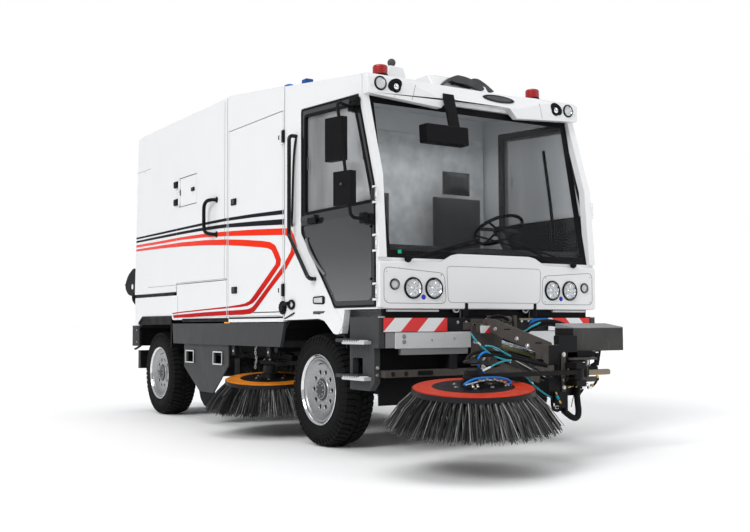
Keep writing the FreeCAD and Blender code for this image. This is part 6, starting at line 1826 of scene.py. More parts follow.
    @staticmethod
    def arches(label, side):
        trim = [(3.885, 0.985), (3.885, 1.028), (4.74, 1.028), (4.86, 0.965), (4.86, 0.935),
                (4.735, 0.998), (3.915, 0.998), (3.915, 0.985)]
        form = new_form()
        each(plate_in, form,
             (placed(trim), "x", side_x(side, 1.028, 1.040), 0.003),
             (placed([(3.890, 0.940), (3.890, 1.012), (4.700, 1.012), (4.840, 0.950),
                      (4.840, 0.935)]), "x", side_x(side, 1.022, 1.0315), 0.0),
             (placed([(3.900, 0.700), (3.900, 0.990), (4.735, 0.990), (4.865, 0.925),
                      (4.930, 0.800), (4.930, 0.740), (4.900, 0.740), (4.840, 0.900),
                      (4.720, 0.965), (3.925, 0.965), (3.925, 0.700)]), "x",
              side_x(side, 0.640, 1.024), 0.0))
        piece("rear_arch_trim_" + label, form, ["black plastic"], "chassis", "plastic_black")
        form = new_form()
        lip = [(1.407, 0.996), (1.407, 0.968), (0.830, 0.976), (0.740, 0.960), (0.600, 0.862),
               (0.531, 0.858), (0.468, 0.925), (0.520, 1.000), (0.575, 1.042), (0.700, 1.036),
               (0.790, 1.014), (0.900, 1.006)]
        plate_in(form, rounded_outline(placed(lip), 0.02, 3), "x", side_x(side, 1.0, 1.036),
                 0.005, 0, 3)
        piece("fender_lip_" + label, form, ["body white"], "chassis", "body_paint")
        form = new_form()
        arch = [(1.385, 0.90), (1.330, 0.965), (0.790, 0.968), (0.590, 0.845),
                (0.490, 0.845), (0.460, 0.80), (0.450, 0.76), (0.435, 0.76),
                (0.435, 0.82), (0.475, 0.862), (0.580, 0.866), (0.780, 0.985),
                (1.345, 0.980), (1.405, 0.90)]
        plate_in(form, placed(arch), "x", side_x(side, 0.70, 1.018), 0.0)
        piece("arch_liner_" + label, form, ["black plastic"], "chassis", "plastic_black")

    @staticmethod
    def hatch():
        form = new_form()
        for z in (2.172, 2.351):
            box_in(form, at(-1.060, 3.702, z - 0.034), at(-1.030, 3.800, z + 0.034), 0.012)
        for z in (2.119, 2.407):
            box_in(form, at(-1.0312, 3.300, z - 0.003), at(-1.0295, 3.694, z + 0.003), 0, 1)
        box_in(form, at(-1.0308, 3.690, 2.122), at(-1.0295, 3.694, 2.404), 0, 2)
        piece("hatch_hinge_covers", form, ["black plastic", "groove", "seam light"], "hopper",
              "body_paint")
        form = new_form()
        pipe_in(form, [at(-1.026, 2.768, 2.096), at(-1.070, 2.800, 2.098),
                       at(-1.086, 2.860, 2.098), at(-1.088, 2.925, 2.070),
                       at(-1.088, 2.936, 2.020), at(-1.088, 2.934, 1.950),
                       at(-1.088, 2.934, 1.870), at(-1.088, 2.922, 1.810),
                       at(-1.086, 2.860, 1.784), at(-1.070, 2.800, 1.776),
                       at(-1.026, 2.768, 1.772)], 0.017, 0)
        for z in (2.096, 1.772):
            lathe_in(form, [(-0.004, 0.030), (0.004, 0.029), (0.006, 0.016)],
                     at(-1.030, 2.768, z), (-1, 0, 0), 0, 24)
        piece("grab_handle", form, ["black plastic"], "hopper", "plastic_black")
        form = new_form()
        curve = rounded_outline(placed([(5.020, 1.560), (5.120, 1.575), (5.300, 1.500),
                                        (5.385, 1.410), (5.385, 1.350), (5.290, 1.280),
                                        (5.060, 1.247), (5.020, 1.247)]), 0.05, 5)
        ring_in(form, curve, 0.075, "x", (-1.012, -0.990), 0.003, 0)
        piece("rear_pivot_guard", form, ["black plastic"], "hopper", "plastic_black")
        form = new_form()
        box_in(form, at(-1.044, 3.300, 2.244), at(-1.030, 3.372, 2.280), 0.005)
        box_in(form, at(-1.048, 3.316, 2.254), at(-1.042, 3.356, 2.270), 0.003, 1)
        piece("hatch_latch", form, ["black plastic", "hub grey"], "side_hatch", "plastic_black")


class Bumper(bpy.types.Operator):
    """Striped boards, steel plates, low beam, hooks, corner steps and their treads"""
    bl_idname = "sweeper.bumper"
    bl_label = "Front bumper"

    def execute(self, context):
        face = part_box("front_bumper")[0].y
        ahead = Vector((0, -1, 0))
        form = new_form()
        box_in(form, (-0.978, face + 0.012, 0.877), (0.978, face + 0.11, 0.978), 0.004)
        box_in(form, (-0.976, face + 0.015, 0.560), (0.976, face + 0.11, 0.610), 0.004, 1)
        for x in (-0.385, 0.385):
            box_in(form, (x - 0.035, face + 0.015, 0.605), (x + 0.035, face + 0.11, 0.880), 0.003)
        for x in (-0.91, -0.80):
            screw_in(form, Vector((x, face + 0.015, 0.585)), ahead, 0.012, 0)
        for x in (-0.665, -0.605, 0.605, 0.80):
            screw_in(form, Vector((x, face + 0.015, 0.588)), ahead, 0.009, 2)
        box_in(form, (-0.700, face + 0.003, 0.572), (-0.575, face + 0.016, 0.602), 0.004, 3)
        for x, z in ((-0.345, 0.945), (-0.268, 0.945), (-0.080, 0.965), (0.262, 0.955),
                     (0.330, 0.955)):
            screw_in(form, Vector((x, face + 0.012, z)), ahead, 0.008, 2)
        box_in(form, (-0.300, face + 0.004, 0.890), (-0.172, face + 0.014, 0.945), 0.003, 1)
        box_in(form, (0.235, face + 0.002, 0.959), (0.374, face + 0.014, 0.974), 0.003, 4)
        for x in (-0.060, 0.190):
            box_in(form, (x - 0.016, face - 0.002, 0.885), (x + 0.016, face + 0.016, 0.995),
                   0.003, 1)
        bar_in(form, Vector((0.060, face - 0.010, 0.965)), Vector((0.130, face - 0.010, 0.965)),
               0.026, 1, 28, 0.004)
        piece("bumper_beams", form, ["frame black", "arm grey", "zinc", "black plastic",
                                     "bronze"], "chassis", "bumper_mix", "front_bumper")
        form = new_form()
        box_in(form, (-0.902, face - 0.003, 0.761), (-0.237, face + 0.009, 0.876), 0.004, 0, None,
               3)
        box_in(form, (-0.978, face + 0.004, 0.766), (-0.896, face + 0.012, 0.876), 0.003, 2)
        for z in (0.845, 0.809):
            lathe_in(form, [(-0.002, 0.017), (0.002, 0.016), (0.003, 0.010), (0.006, 0.009),
                            (0.006, 0.0)], Vector((-0.828, face - 0.003, z)), ahead, 2, 20)
        for x, z in ((-0.585, 0.820), (-0.388, 0.829), (0.40, 0.82), (0.70, 0.82)):
            screw_in(form, Vector((x, face - 0.003, z)), ahead, 0.007, 1)
        each(box_in, form,
             ((-0.850, face + 0.006, 0.716), (-0.257, face + 0.040, 0.764), 0.004, 2),
             ((0.245, face - 0.003, 0.761), (0.902, face + 0.009, 0.876), 0.004),
             ((0.257, face + 0.006, 0.716), (0.850, face + 0.040, 0.764), 0.004, 2))
        piece("bumper_steel", form, ["steel", "zinc", "dark steel"], "chassis", "bumper_mix")
        form = new_form()
        box_in(form, (-0.968, CAB_FACE + 0.096, 0.36), (0.968, CAB_FACE + 0.104, 0.878), 0.002)
        piece("bumper_apron", form, ["seal rubber"], "chassis", "plastic_black")
        for name, x0, x1 in (("right", -0.999, -0.456), ("left", 0.520, 0.948)):
            form = new_form()
            box_in(form, (x0, face - 0.010, 0.879), (x1, face + 0.002, 0.976), 0.002)
            piece("board_face_" + name, form, ["board " + name], "chassis", "bumper_mix")
        form = new_form()
        box_in(form, at(-0.250, -0.154, 0.866), at(-0.050, -0.148, 0.919), 0.002)
        piece("board_face_middle", form, ["board middle"], "high_link", "bumper_mix")
        form = new_form()
        strap = [(0.511, 0.974), (0.376, 0.974), (0.352, 0.958), (0.330, 0.922), (0.318, 0.908),
                 (0.366, 0.912), (0.384, 0.936), (0.511, 0.936)]
        plate_in(form, strap, "y", (face - 0.012, face + 0.012), 0.003)
        piece("bumper_strap", form, ["hose blue"], "chassis", "bumper_mix")
        self.hooks(face, ahead)
        self.corners(ahead)
        return {"FINISHED"}

    @staticmethod
    def hooks(face, ahead):
        form = new_form()
        for x in (-0.355, 0.307):
            spot = Vector((x, face + 0.020, 1.043))
            lathe_in(form, [(-0.006, 0.030), (0.006, 0.030), (0.011, 0.025), (0.006, 0.019),
                            (-0.006, 0.019)], spot, ahead, 1, 28)
            each(bar_in, form,
                 (Vector((x + 0.012, face + 0.030, 1.043)),
                  Vector((x + 0.130, face + 0.030, 1.050)), 0.020, 0, 24, 0.004),
                 (Vector((x + 0.082, face + 0.022, 1.085)),
                  Vector((x + 0.080, face + 0.022, 0.982)), 0.027, 0, 24, 0.004),
                 (Vector((x + 0.110, face + 0.016, 1.060)),
                  Vector((x + 0.128, face + 0.016, 1.060)), 0.016, 0, 20, 0.003))
            box_in(form, (x - 0.015, face + 0.012, 1.020), (x + 0.135, face + 0.050, 1.052),
                   0.006, 0)
            for dx in (0.036, 0.066):
                bar_in(form, Vector((x + dx, face + 0.016, 0.975)),
                       Vector((x + dx, face + 0.016, 1.03)), 0.006, 2, 12)
        for x0, x1 in ((-0.945, -0.500), (0.600, 0.945)):
            box_in(form, (x0, CAB_FACE + 0.010, 1.020), (x1, CAB_FACE + 0.040, 1.036), 0.004, 3)
        # a black strip filling the space between the bumper and the front panel: painted shade
        # under the panel
        box_in(form, (-0.970, CAB_FACE + 0.030, 0.978), (0.970, CAB_FACE + 0.060, 1.046), 0.003)
        piece("under_panel_gear", form, ["black plastic", "lamp shell", "hub grey",
                                         "body white"], "chassis", "plastic_black")

    @staticmethod
    def corners(ahead):
        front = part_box("corner_steps")[0].y
        form = new_form()
        for side in (-1, 1):
            a, b = side_x(side, 1.0285, 1.0325)
            for k in range(9):
                y = CAB_FACE + 0.090 + 0.030 * k
                foot = 0.700 if y < CAB_FACE + 0.345 else 0.740
                box_in(form, (a, y, foot), (b, y + 0.012, 0.792), 0.002, 0, None, 1)
            # a pale sliver along each corner step's top front edge: painted highlight
            a, b = side_x(side, 0.9795, 1.0305)
            box_in(form, (a, front - 0.001, 0.979), (b, front + 0.010, 0.986), 0.001, 4)
            for z in (0.628, 0.578):
                screw_in(form, Vector((side * 1.005, CAB_FACE + 0.050, z)), ahead, 0.009, 2)
            for z in (0.805, 0.552):
                for row in range(3):
                    for k in range(8):
                        spot = Vector((side * (1.044 + 0.017 * row), CAB_FACE + 0.120 + 0.034 * k,
                                       z + 0.013))
                        lathe_in(form, [(0.0, 0.0100), (0.0045, 0.0082), (0.0045, 0.0048),
                                        (-0.001, 0.0045)], spot, (0, 0, 1), 3, 12)
                a, b = side_x(side, 1.086, 1.0935)
                for k in range(12):
                    y = CAB_FACE + 0.095 + 0.024 * k
                    box_in(form, (a, y, z - 0.014), (b, y + 0.014, z + 0.014), 0.002, 3)
                side_box(form, side, (1.031, 1.092), (0.086, z - 0.013), (0.392, z + 0.012), 0.003,
                         3)
        piece("corner_step_fittings", form, ["skirt grey", "groove", "zinc", "steel",
                                             "lamp shell"], "chassis", "grey_paint")


CHAIN_LINKS = 9


class Skirts(bpy.types.Operator):
    """Screws, brackets, chain and flaps of the skirts, guards and rear corners"""
    bl_idname = "sweeper.skirts"
    bl_label = "Skirts and guards"

    def execute(self, context):
        for label, side in SIDES:
            out = Vector((side, 0, 0))
            form = new_form()
            for y in (1.50, 2.20, 2.90, 3.55, 3.77):
                for z in (0.785, 0.915):
                    screw_in(form, at(side * BODY_HALF, y, z), out, 0.008, 1, 0.004)
            for y in (2.07, 2.98):
                side_box(form, side, (1.0296, 1.0306), (y, 0.755), (y + 0.004, 0.945), 0, 2)
            for y in (3.42, 2.75):
                ring_in(form, rounded_outline(placed([(y - 0.105, 0.566), (y + 0.105, 0.566),
                                                      (y + 0.105, 0.690), (y - 0.105, 0.690)]),
                                              0.012, 3), 0.012, "x",
                        side_x(side, 1.020, 1.0265), 0.002, 3)
            piece("skirt_fittings_" + label, form, ["skirt grey", "zinc", "groove", "steel"],
                  "chassis", "grey_paint")
            form = new_form()
            flap = [(3.27, 0.40), (2.83, 0.40), (2.90, 0.235), (3.00, 0.165), (3.10, 0.165),
                    (3.20, 0.235)]
            plate_in(form, rounded_outline(placed(flap), 0.03, 3), "x",
                     side_x(side, 0.990, 1.002), 0.003)
            piece("guard_flap_" + label, form, ["seal rubber"], "chassis", "plastic_black")
            form = new_form()
            side_box(form, side, (0.80, 1.02), (1.545, 0.705), (1.60, 0.745), 0.003, 0)
            for y in (1.62, 1.78, 2.30):
                pipe_in(form, [at(side * 0.99, y, 0.745), at(side * 0.985, y + 0.02, 0.69),
                               at(side * 0.95, y + 0.05, 0.665), at(side * 0.90, y + 0.09, 0.68)],
                        0.008, 1)
            for k in range(CHAIN_LINKS):
                spot = at(side * 0.985, 2.02 + 0.010 * math.sin(k), 0.735 - 0.021 * k)
                turn = 0 if k % 2 else math.pi / 2
                arc = []
                for n in range(9):
                    t = math.tau * n / 8
                    flat = Vector((0, 0.0075 * math.cos(t), 0.0145 * math.sin(t)))
                    arc.append(spot + Matrix.Rotation(turn, 3, "Z") @ flat)
                pipe_in(form, arc, 0.0024, 2, False, 2, 1)
            for y in (1.72, 2.42):
                side_box(form, side, (0.96, 1.0), (y, 0.665), (y + 0.06, 0.748), 0.004)
                screw_in(form, at(side * 1.0, y + 0.03, 0.70), out, 0.009, 2)
            piece("skirt_hangers_" + label, form, ["frame black", "hose black", "zinc"],
                  "chassis", "frame_black")
            form = new_form()
            pipe_in(form, [at(side * 0.97, 4.93, 0.72), at(side * 1.0, 5.02, 0.67),
                           at(side * 1.0, 5.07, 0.67)], 0.012, 0)
            for z in (0.75, 0.88):
                screw_in(form, at(side * BODY_HALF, 4.93, z), out, 0.007, 1)
            piece("rear_corner_fittings_" + label, form, ["frame black", "zinc"], "chassis",
                  "grey_paint")
        return {"FINISHED"}


# The cover of a brush's motor, as (along the axis, radius) places.
MOTOR_CAP = [(0.160, 0.0), (0.160, 0.064), (0.166, 0.066), (0.172, 0.060), (0.180, 0.045),
             (0.180, 0.0)]


def lay_beside_link(form):
    """Puts a plate from the truck's middle plane against the arm's slanting links."""
    across = -0.0848
    slant = Matrix.Identity(4)
    slant[0][1] = across
    slant[0][3] = -0.161 - across * (CAB_FACE - 0.083)
    form.transform(slant)


class FrontArm(bpy.types.Operator):
    """Bolts, ram, hoses and fittings of the long-reach brush arm"""
    bl_idname = "sweeper.front_arm"
    bl_label = "Front brush arm"

    def execute(self, context):
        ahead = Vector((0, -1, 0))
        near = Vector((-1, 0, 0))
        self.base_gear(ahead)
        self.high_gear(near)
        self.low_gear()
        self.column_gear(ahead)
        self.lines_and_motor()
        for label, side in SIDES:
            form = new_form()
            centre = gutter_brush(side)
            axis = brush_axis(side)
            lathe_in(form, MOTOR_CAP, centre, axis, 0, 36)
            for k in range(6):
                turn = math.tau * k / 6
                spot = centre + axis * 0.168 + Vector((math.cos(turn), math.sin(turn), 0)) * 0.05
                screw_in(form, spot, axis, 0.008, 1)
            top = centre + axis * 0.175
            for dy in (-0.03, 0.03):
                pipe_in(form, [top + Vector((0, dy, 0.0)), top + Vector((0, dy * 1.3, 0.06)),
                               at(0.74 * side, 2.05 + dy, 0.70), at(0.60 * side, 2.20 + dy, 0.68),
                               at(0.50 * side, 2.27 + dy, 0.665)], 0.010, 2)
            piece("gutter_arm_fittings_" + label, form, ["frame black", "zinc", "hose black"],
                  "side_arm_" + label, "frame_black")
        return {"FINISHED"}

    @staticmethod
    def base_gear(ahead):
        form = new_form()
        for z in (0.905, 0.690):
            bar_in(form, at(-0.202, -0.095, z), at(-0.178, -0.095, z), 0.024, 1, 6, 0.001)
        for z in (0.70, 0.80, 0.93):
            screw_in(form, at(-0.205, -0.021, z), ahead, 0.009, 1)
        each(pipe_in, form,
             ([at(-0.14, -0.06, 0.93), at(-0.12, -0.10, 1.00), at(-0.04, -0.14, 1.005),
               at(0.05, -0.10, 0.96)], 0.012, 2),
             ([at(0.13, -0.20, 0.88), at(0.17, -0.26, 0.93), at(0.26, -0.28, 0.945),
               at(0.36, -0.30, 0.935), at(0.46, -0.30, 0.905), at(0.50, -0.26, 0.87)], 0.026, 2),
             ([at(0.10, -0.24, 0.88), at(0.14, -0.28, 0.925), at(0.19, -0.30, 0.94)], 0.006, 3),
             ([at(0.07, -0.24, 0.87), at(0.12, -0.28, 0.91), at(0.17, -0.30, 0.93)], 0.005, 3))
        piece("arm_base_bolts", form, ["arm grey", "zinc", "black plastic", "hose teal"],
              "chassis", "frame_black")

    @staticmethod
    def high_gear(near):
        outline = [(-0.070, 0.962), (-0.134, 0.972), (-0.200, 0.964), (-0.261, 0.947),
                   (-0.443, 0.893), (-0.687, 0.820), (-0.742, 0.803), (-0.742, 0.705),
                   (-0.625, 0.737), (-0.260, 0.835), (-0.177, 0.869), (-0.070, 0.872)]
        form = new_form()
        plate_in(form, rounded_outline(placed(outline), 0.012, 3), "x", (-0.010, 0.0), 0.002)
        for y, z, radius in ((-0.211, 0.895, 0.011), (-0.424, 0.825, 0.013),
                             (-0.524, 0.775, 0.014)):
            lathe_in(form, [(-0.004, radius * 1.5), (0.004, radius * 1.4), (0.010, radius),
                            (0.012, 0.0)], at(-0.010, y, z), near, 1, 20)
        for y0, y1, z in ((-0.30, -0.36, 0.893), (-0.60, -0.66, 0.800)):
            box_in(form, at(-0.013, y1, z - 0.004), at(-0.008, y0, z + 0.004), 0.001, 2)
        lay_beside_link(form)
        bar_in(form, at(-0.100, -0.22, 0.805), at(0.010, -0.47, 0.735), 0.026, 3, 28, 0.004)
        bar_in(form, at(-0.100, -0.22, 0.775), at(0.010, -0.47, 0.706), 0.024, 4, 28, 0.004)
        for share in (0.25, 0.8):
            one = at(-0.100, -0.22, 0.805).lerp(at(0.010, -0.47, 0.735), share)
            bar_in(form, one, one + Vector((0.011, -0.025, -0.007)), 0.029, 1, 28, 0.002)
        bar_in(form, at(0.010, -0.42, 0.738), at(0.090, -0.46, 0.672), 0.006, 1, 12)
        bar_in(form, at(0.012, -0.42, 0.736), at(0.030, -0.43, 0.722), 0.010, 5, 12, 0.002)
        piece("high_link_fittings", form, ["arm grey", "zinc", "black plastic", "ram steel",
                                           "olive paint", "brass"], "high_link", "frame_black")

    @staticmethod
    def low_gear():
        outline = [(-0.117, 0.590), (-0.256, 0.637), (-0.375, 0.649), (-0.582, 0.617),
                   (-0.632, 0.575), (-0.621, 0.522), (-0.458, 0.568), (-0.267, 0.599),
                   (-0.122, 0.555)]
        form = new_form()
        plate_in(form, rounded_outline(placed(outline), 0.015, 3), "x", (-0.004, 0.006), 0.002)
        lay_beside_link(form)
        start, end = at(-0.170, -0.400, 0.684), at(-0.030, -0.700, 0.520)
        way = (end - start).normalized()
        each(bar_in, form,
             (start - way * 0.16, end, 0.028, 1, 32, 0.004),
             (start, start + way * 0.014, 0.0315, 2, 32, 0.002),
             (start - way * 0.018, start - way * 0.010, 0.030, 3, 32, 0.001))
        second = Vector((0.052, -0.020, -0.055))
        bar_in(form, start + second - way * 0.10, end + second - way * 0.06, 0.021, 1, 24, 0.004)
        plate_in(form, placed([(-0.470, 0.655), (-0.490, 0.665), (-0.515, 0.640),
                               (-0.500, 0.565), (-0.480, 0.560), (-0.470, 0.600)]), "x",
                 (-0.098, -0.088), 0.002, 4)
        screw_in(form, at(-0.098, -0.492, 0.575), (-1, 0, 0), 0.007, 2)
        piece("low_link_ram", form, ["arm grey", "black gloss", "chrome", "brass",
                                     "column grey"], "low_link", "frame_black")

    @staticmethod
    def column_gear(ahead):
        form = new_form()
        box_in(form, at(-0.082, -0.812, 0.475), at(-0.046, -0.8005, 0.735), 0.003, 0)
        for z in (0.724, 0.553, 0.506):
            screw_in(form, at(-0.064, -0.812, z), ahead, 0.011, 1)
        for z in (0.649, 0.583):
            bar_in(form, at(-0.030, -0.83, z), at(-0.030, -0.80, z), 0.011, 4, 16, 0.002)
        box_in(form, at(-0.015, -0.845, 0.570), at(0.112, -0.80, 0.680), 0.014, 2, None, 3)
        lathe_in(form, [(0.0, 0.024), (0.006, 0.022), (0.010, 0.012), (0.010, 0.0)],
                 at(0.082, -0.845, 0.650), ahead, 3, 24)
        box_in(form, at(0.118, -0.840, 0.560), at(0.134, -0.80, 0.672), 0.003, 0)
        screw_in(form, at(0.126, -0.840, 0.660), ahead, 0.007, 1)
        each(box_in, form,
             (at(-0.015, -0.835, 0.684), at(0.225, -0.80, 0.700), 0.003, 0),
             (at(0.129, -0.840, 0.600), at(0.225, -0.80, 0.640), 0.004, 2),
             (at(0.129, -0.850, 0.580), at(0.330, -0.81, 0.618), 0.006, 5),
             (at(0.290, -0.852, 0.584), at(0.332, -0.808, 0.614), 0.005, 5),
             (at(-0.042, -0.835, 0.535), at(0.215, -0.80, 0.570), 0.004, 0))
        bar_in(form, at(0.215, -0.818, 0.553), at(0.240, -0.818, 0.553), 0.016, 2, 20, 0.002)
        bar_in(form, at(0.225, -0.838, 0.567), at(0.225, -0.822, 0.567), 0.010, 6, 16, 0.002)
        plate_in(form, [(0.284, 0.742), (0.330, 0.742), (0.306, 0.640), (0.240, 0.630),
                        (0.240, 0.650), (0.276, 0.664)], "y",
                 (CAB_FACE - 0.768, CAB_FACE - 0.748), 0.003, 2)
        box_in(form, at(0.270, -0.772, 0.728), at(0.300, -0.764, 0.736), 0.002, 3)
        box_in(form, at(-0.020, -0.800, 0.700), at(0.240, -0.760, 0.742), 0.004, 2)
        for k, x in enumerate((-0.045, -0.010, 0.025, 0.065)):
            bar_in(form, at(x, -0.822, 0.505 + 0.006 * (k % 2)),
                   at(x + 0.024, -0.826, 0.512 + 0.006 * (k % 2)), 0.009, 4, 14, 0.002)
        for x, z in ((0.092, 0.497), (0.122, 0.514), (0.152, 0.496)):
            bar_in(form, at(x - 0.014, -0.826, z), at(x + 0.016, -0.830, z), 0.011, 3, 16, 0.003)
        bar_in(form, at(0.166, -0.826, 0.510), at(0.184, -0.826, 0.512), 0.009, 4, 14, 0.002)
        # the grey box: a paler lid that rises to the back, and its seam
        plate_in(form, [(CAB_FACE - 0.776, 0.900), (CAB_FACE - 0.776, 0.907),
                        (CAB_FACE - 0.600, 0.934), (CAB_FACE - 0.600, 0.900)], "x",
                 (0.058, 0.541), 0.002, 7)
        for x in (0.09, 0.51):
            for z in (0.765, 0.880):
                screw_in(form, at(x, -0.7755, z), ahead, 0.004, 0, 0.002)
        piece("column_fittings", form, ["arm grey", "zinc", "black plastic", "chrome", "brass",
                                        "bronze", "tap yellow", "box lid"], "arm_column",
              "frame_black")
        form = new_form()
        pipe_in(form, [at(0.055, -0.815, 0.530), at(0.050, -0.820, 0.500),
                       at(0.040, -0.820, 0.460), at(0.046, -0.820, 0.400),
                       at(0.057, -0.820, 0.345), at(0.050, -0.820, 0.300),
                       at(0.015, -0.820, 0.288), at(-0.030, -0.815, 0.315),
                       at(-0.075, -0.812, 0.350)], 0.021, 0)
        pipe_in(form, [at(-0.165, -0.800, 0.480), at(-0.172, -0.805, 0.420),
                       at(-0.172, -0.805, 0.370), at(-0.150, -0.805, 0.352),
                       at(-0.120, -0.808, 0.350)], 0.010, 0)
        box_in(form, at(-0.150, -0.815, 0.362), at(-0.118, -0.800, 0.385), 0.004, 3)
        each(pipe_in, form,
             ([at(0.232, -0.820, 0.552), at(0.222, -0.822, 0.522), at(0.190, -0.824, 0.505),
               at(0.166, -0.826, 0.500)], 0.008, 0),
             ([at(0.030, -0.822, 0.500), at(0.010, -0.824, 0.450), at(-0.006, -0.820, 0.400),
               at(-0.006, -0.815, 0.370)], 0.0025, 0),
             ([at(0.110, -0.815, 0.500), at(0.090, -0.820, 0.470), at(0.060, -0.822, 0.455)],
              0.008, 0))
        box_in(form, at(-0.160, -0.825, 0.400), at(-0.110, -0.800, 0.470), 0.008, 0)
        each(bar_in, form,
             (at(-0.152, -0.830, 0.455), at(-0.138, -0.834, 0.428), 0.010, 1, 14, 0.002),
             (at(-0.134, -0.832, 0.422), at(-0.120, -0.834, 0.402), 0.008, 2, 14, 0.002),
             (at(-0.160, -0.828, 0.478), at(-0.150, -0.828, 0.462), 0.008, 2, 14, 0.002))
        piece("column_hoses", form, ["hose black", "hose teal", "brass", "lamp shell"],
              "arm_column", "frame_black")

    @staticmethod
    def lines_and_motor():
        form = new_form()
        centre = FRONT_BRUSH
        axis = brush_axis(-1)
        top = centre + axis * 0.175
        lathe_in(form, MOTOR_CAP, centre, axis, 2, 36)
        lathe_in(form, [(0.055, 0.050), (0.060, 0.066), (0.075, 0.066), (0.080, 0.060)], centre,
                 axis, 2, 36)
        for k in range(4):
            turn = math.tau * k / 4
            side_way = Vector((math.cos(turn), math.sin(turn), 0)) * 0.052
            screw_in(form, centre + axis * 0.168 + side_way, axis, 0.007, 2)
        pipe_in(form, [top + Vector((0.03, 0.03, 0.0)), at(-0.78, -0.80, 0.740),
                       at(-0.60, -0.79, 0.735), at(-0.40, -0.79, 0.690),
                       at(-0.21, -0.80, 0.650)], 0.013, 0)
        pipe_in(form, [top + Vector((-0.03, 0.03, 0.0)), at(-0.84, -0.78, 0.760),
                       at(-0.62, -0.77, 0.760), at(-0.42, -0.77, 0.715),
                       at(-0.21, -0.79, 0.660)], 0.011, 0)
        # teal water lines from the bumper over to the column
        each(pipe_in, form,
             ([at(-0.835, -0.79, 0.868), at(-0.790, -0.80, 0.806), at(-0.749, -0.80, 0.779),
               at(-0.690, -0.80, 0.734), at(-0.609, -0.80, 0.709), at(-0.555, -0.80, 0.694),
               at(-0.520, -0.80, 0.690)], 0.0065, 3),
             ([at(-0.730, -0.80, 0.792), at(-0.700, -0.80, 0.791), at(-0.663, -0.80, 0.785),
               at(-0.608, -0.80, 0.762), at(-0.556, -0.80, 0.735), at(-0.520, -0.80, 0.722)],
              0.0065, 3),
             ([at(-0.735, -0.85, 0.656), at(-0.690, -0.84, 0.670), at(-0.640, -0.83, 0.688),
               at(-0.570, -0.81, 0.694), at(-0.520, -0.80, 0.694)], 0.0055, 3))
        for x, z in ((-0.790, 0.805), (-0.748, 0.656)):
            bar_in(form, at(x - 0.012, -0.806, z + 0.010), at(x + 0.012, -0.806, z - 0.008),
                   0.010, 1, 16, 0.002)
        # pale fittings and the blue loop
        each(pipe_in, form,
             ([at(-0.890, -0.85, 0.624), at(-0.868, -0.85, 0.616), at(-0.845, -0.85, 0.624),
               at(-0.815, -0.85, 0.640), at(-0.791, -0.85, 0.652)], 0.009, 6),
             ([at(-0.800, -0.855, 0.634), at(-0.770, -0.855, 0.646), at(-0.737, -0.855, 0.657)],
              0.008, 1),
             ([at(-0.745, -0.84, 0.752), at(-0.775, -0.845, 0.754), at(-0.805, -0.85, 0.744),
               at(-0.832, -0.85, 0.712), at(-0.835, -0.85, 0.675), at(-0.815, -0.85, 0.645),
               at(-0.785, -0.86, 0.618), at(-0.760, -0.88, 0.592), at(-0.755, -0.90, 0.582)],
              0.0065, 4))
        loop = [(-1.020, 0.560), (-0.990, 0.578), (-0.950, 0.592), (-0.894, 0.598),
                (-0.815, 0.600), (-0.735, 0.596), (-0.675, 0.583), (-0.645, 0.566),
                (-0.652, 0.554), (-0.685, 0.549)]
        pipe_in(form, [at(x, -0.950, z) for x, z in loop], 0.0075, 4)
        pipe_in(form, [at(x, -0.955, z) for x, z in (
            (-1.015, 0.558), (-0.975, 0.564), (-0.900, 0.580), (-0.840, 0.584),
            (-0.770, 0.580), (-0.715, 0.566), (-0.685, 0.551))], 0.0075, 5)
        for x, z in ((-0.905, 0.580), (-0.850, 0.585), (-0.790, 0.583), (-0.740, 0.572),
                     (-0.712, 0.562)):
            bar_in(form, at(x - 0.010, -0.960, z), at(x + 0.010, -0.962, z), 0.011, 7, 14, 0.002)
        for x, z in ((-0.967, 0.560), (-0.930, 0.560), (-0.705, 0.548), (-0.680, 0.548)):
            bar_in(form, at(x, -0.965, z), at(x - 0.002, -0.975, z - 0.014), 0.009, 7, 14, 0.002)
            dome_in(form, at(x - 0.002, -0.976, z - 0.015), (0, -0.6, -0.8), 0.010, 0.008, 1, 16)
        for x, z in ((-0.340, 0.545), (-0.294, 0.505)):
            bar_in(form, at(x - 0.008, -0.80, z + 0.006), at(x + 0.008, -0.80, z - 0.006), 0.008,
                   1, 12)
        pipe_in(form, [at(-0.380, -0.80, 0.575), at(-0.343, -0.80, 0.541),
                       at(-0.294, -0.80, 0.501), at(-0.230, -0.80, 0.468),
                       at(-0.180, -0.80, 0.442)], 0.006, 3)
        piece("swing_arm_fittings", form, ["hose black", "zinc", "arm black", "hose teal",
                                           "hose blue", "ram steel", "lamp shell", "bronze"],
              "swing_arm", "frame_black")


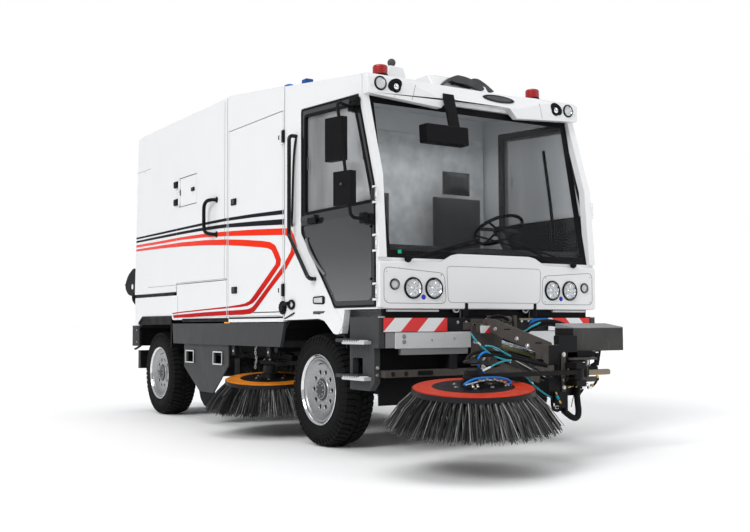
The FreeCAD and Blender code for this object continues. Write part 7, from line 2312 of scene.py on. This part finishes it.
class RearEnd(bpy.types.Operator):
    """Tail door ribs and bars, rear lamps, hoses and the roof's small fittings"""
    bl_idname = "sweeper.rear_end"
    bl_label = "Rear end and roof fittings"

    def execute(self, context):
        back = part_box("tail_door")[1].y
        form = new_form()
        for x in (-0.62, 0.0, 0.62):
            box_in(form, (x - 0.03, back - 0.012, 1.42), (x + 0.03, back + 0.006, 2.60), 0.004, 0)
        for x in (-0.5, 0.5):
            bar_in(form, Vector((x - 0.10, back + 0.02, 1.50)),
                   Vector((x + 0.10, back + 0.02, 1.50)), 0.010, 1, 16)
            for end in (-0.1, 0.1):
                bar_in(form, Vector((x + end, back - 0.02, 1.50)),
                       Vector((x + end, back + 0.02, 1.50)), 0.008, 1, 12)
        piece("tail_door_fittings", form, ["body white", "black gloss"], "tail_door",
              "body_paint")
        form = new_form()
        face = CAB_FACE + 5.075
        for side in (-1, 1):
            a, b = side_x(side, 0.62, 0.92)
            box_in(form, (a, face - 0.01, 0.735), (b, face + 0.012, 0.905), 0.006, 0)
            for k, x in enumerate((0.67, 0.77, 0.87)):
                lathe_in(form, [(0, 0.042), (0.012, 0.041), (0.018, 0.030), (0.020, 0.0)],
                         Vector((side * x, face + 0.010, 0.82)), (0, 1, 0), 1 + k, 32)
        box_in(form, (-0.26, face - 0.006, 0.735), (0.26, face + 0.006, 0.85), 0.003, 0)
        box_in(form, (-0.255, face + 0.004, 0.74), (0.255, face + 0.008, 0.845), 0.001, 4)
        piece("rear_lamps", form, ["black plastic", "red lens", "amber lens", "lamp shell",
                                   "skirt grey"], "chassis", "lamp_lens")
        form = new_form()
        pipe_in(form, [at(-0.55, 4.99, 1.14), at(-0.80, 5.03, 1.10), at(-1.00, 5.06, 1.16),
                       at(-1.03, 5.06, 1.26), at(-0.99, 5.05, 1.33), at(-0.70, 5.03, 1.36)],
                0.030, 0)
        piece("rear_hose", form, ["hose black"], "chassis", "plastic_black")
        form = new_form()
        box_in(form, at(-0.80, 1.16, 2.855), at(-0.66, 1.34, 2.905), 0.008, 1)
        pipe_in(form, [at(-0.90, 1.45, 2.90), at(-0.93, 1.50, 2.945), at(-0.93, 1.62, 2.95),
                       at(-0.90, 1.70, 2.915)], 0.012, 0)
        box_in(form, at(-0.93, 1.22, 2.865), at(-0.86, 1.30, 2.93), 0.008, 2)
        piece("roof_fittings", form, ["hose blue", "skirt grey", "blue cap"], "chassis",
              "plastic_black")
        return {"FINISHED"}


OPERATORS = (Stage, BodyPanels, Running, CabGlass, CabDoors, FrontPanel, RoofGear,
             MirrorsWipers, CabInside, Brushes, Wheels, Stripes, SideDetails, Bumper, Skirts,
             FrontArm, RearEnd)


class SweeperPanel(bpy.types.Panel):
    """Lists every piece of the truck in the sidebar."""
    bl_idname = "VIEW3D_PT_sweeper"
    bl_label = "Street sweeper truck"
    bl_space_type = "VIEW_3D"
    bl_region_type = "UI"
    bl_category = "Sweeper"

    def draw(self, context):
        for owner in (colours(), sizes()):
            for name in owner.bl_rna.properties.keys():
                if name not in ("rna_type", "name"):
                    self.layout.prop(owner, name)
        for operator in OPERATORS:
            self.layout.operator(operator.bl_idname)


GROUPS = (SweeperColours, SweeperSizes)


def register():
    for group in GROUPS + OPERATORS + (SweeperPanel,):
        bpy.utils.register_class(group)
    bpy.types.Scene.sweeper_colours = PointerProperty(type=SweeperColours)
    bpy.types.Scene.sweeper_sizes = PointerProperty(type=SweeperSizes)


def unregister():
    del bpy.types.Scene.sweeper_sizes
    del bpy.types.Scene.sweeper_colours
    for group in reversed(GROUPS + OPERATORS + (SweeperPanel,)):
        bpy.utils.unregister_class(group)


def main():
    register()
    for operator in OPERATORS:
        group, name = operator.bl_idname.split(".")
        getattr(getattr(bpy.ops, group), name)()


if __name__ == "__main__":
    main()
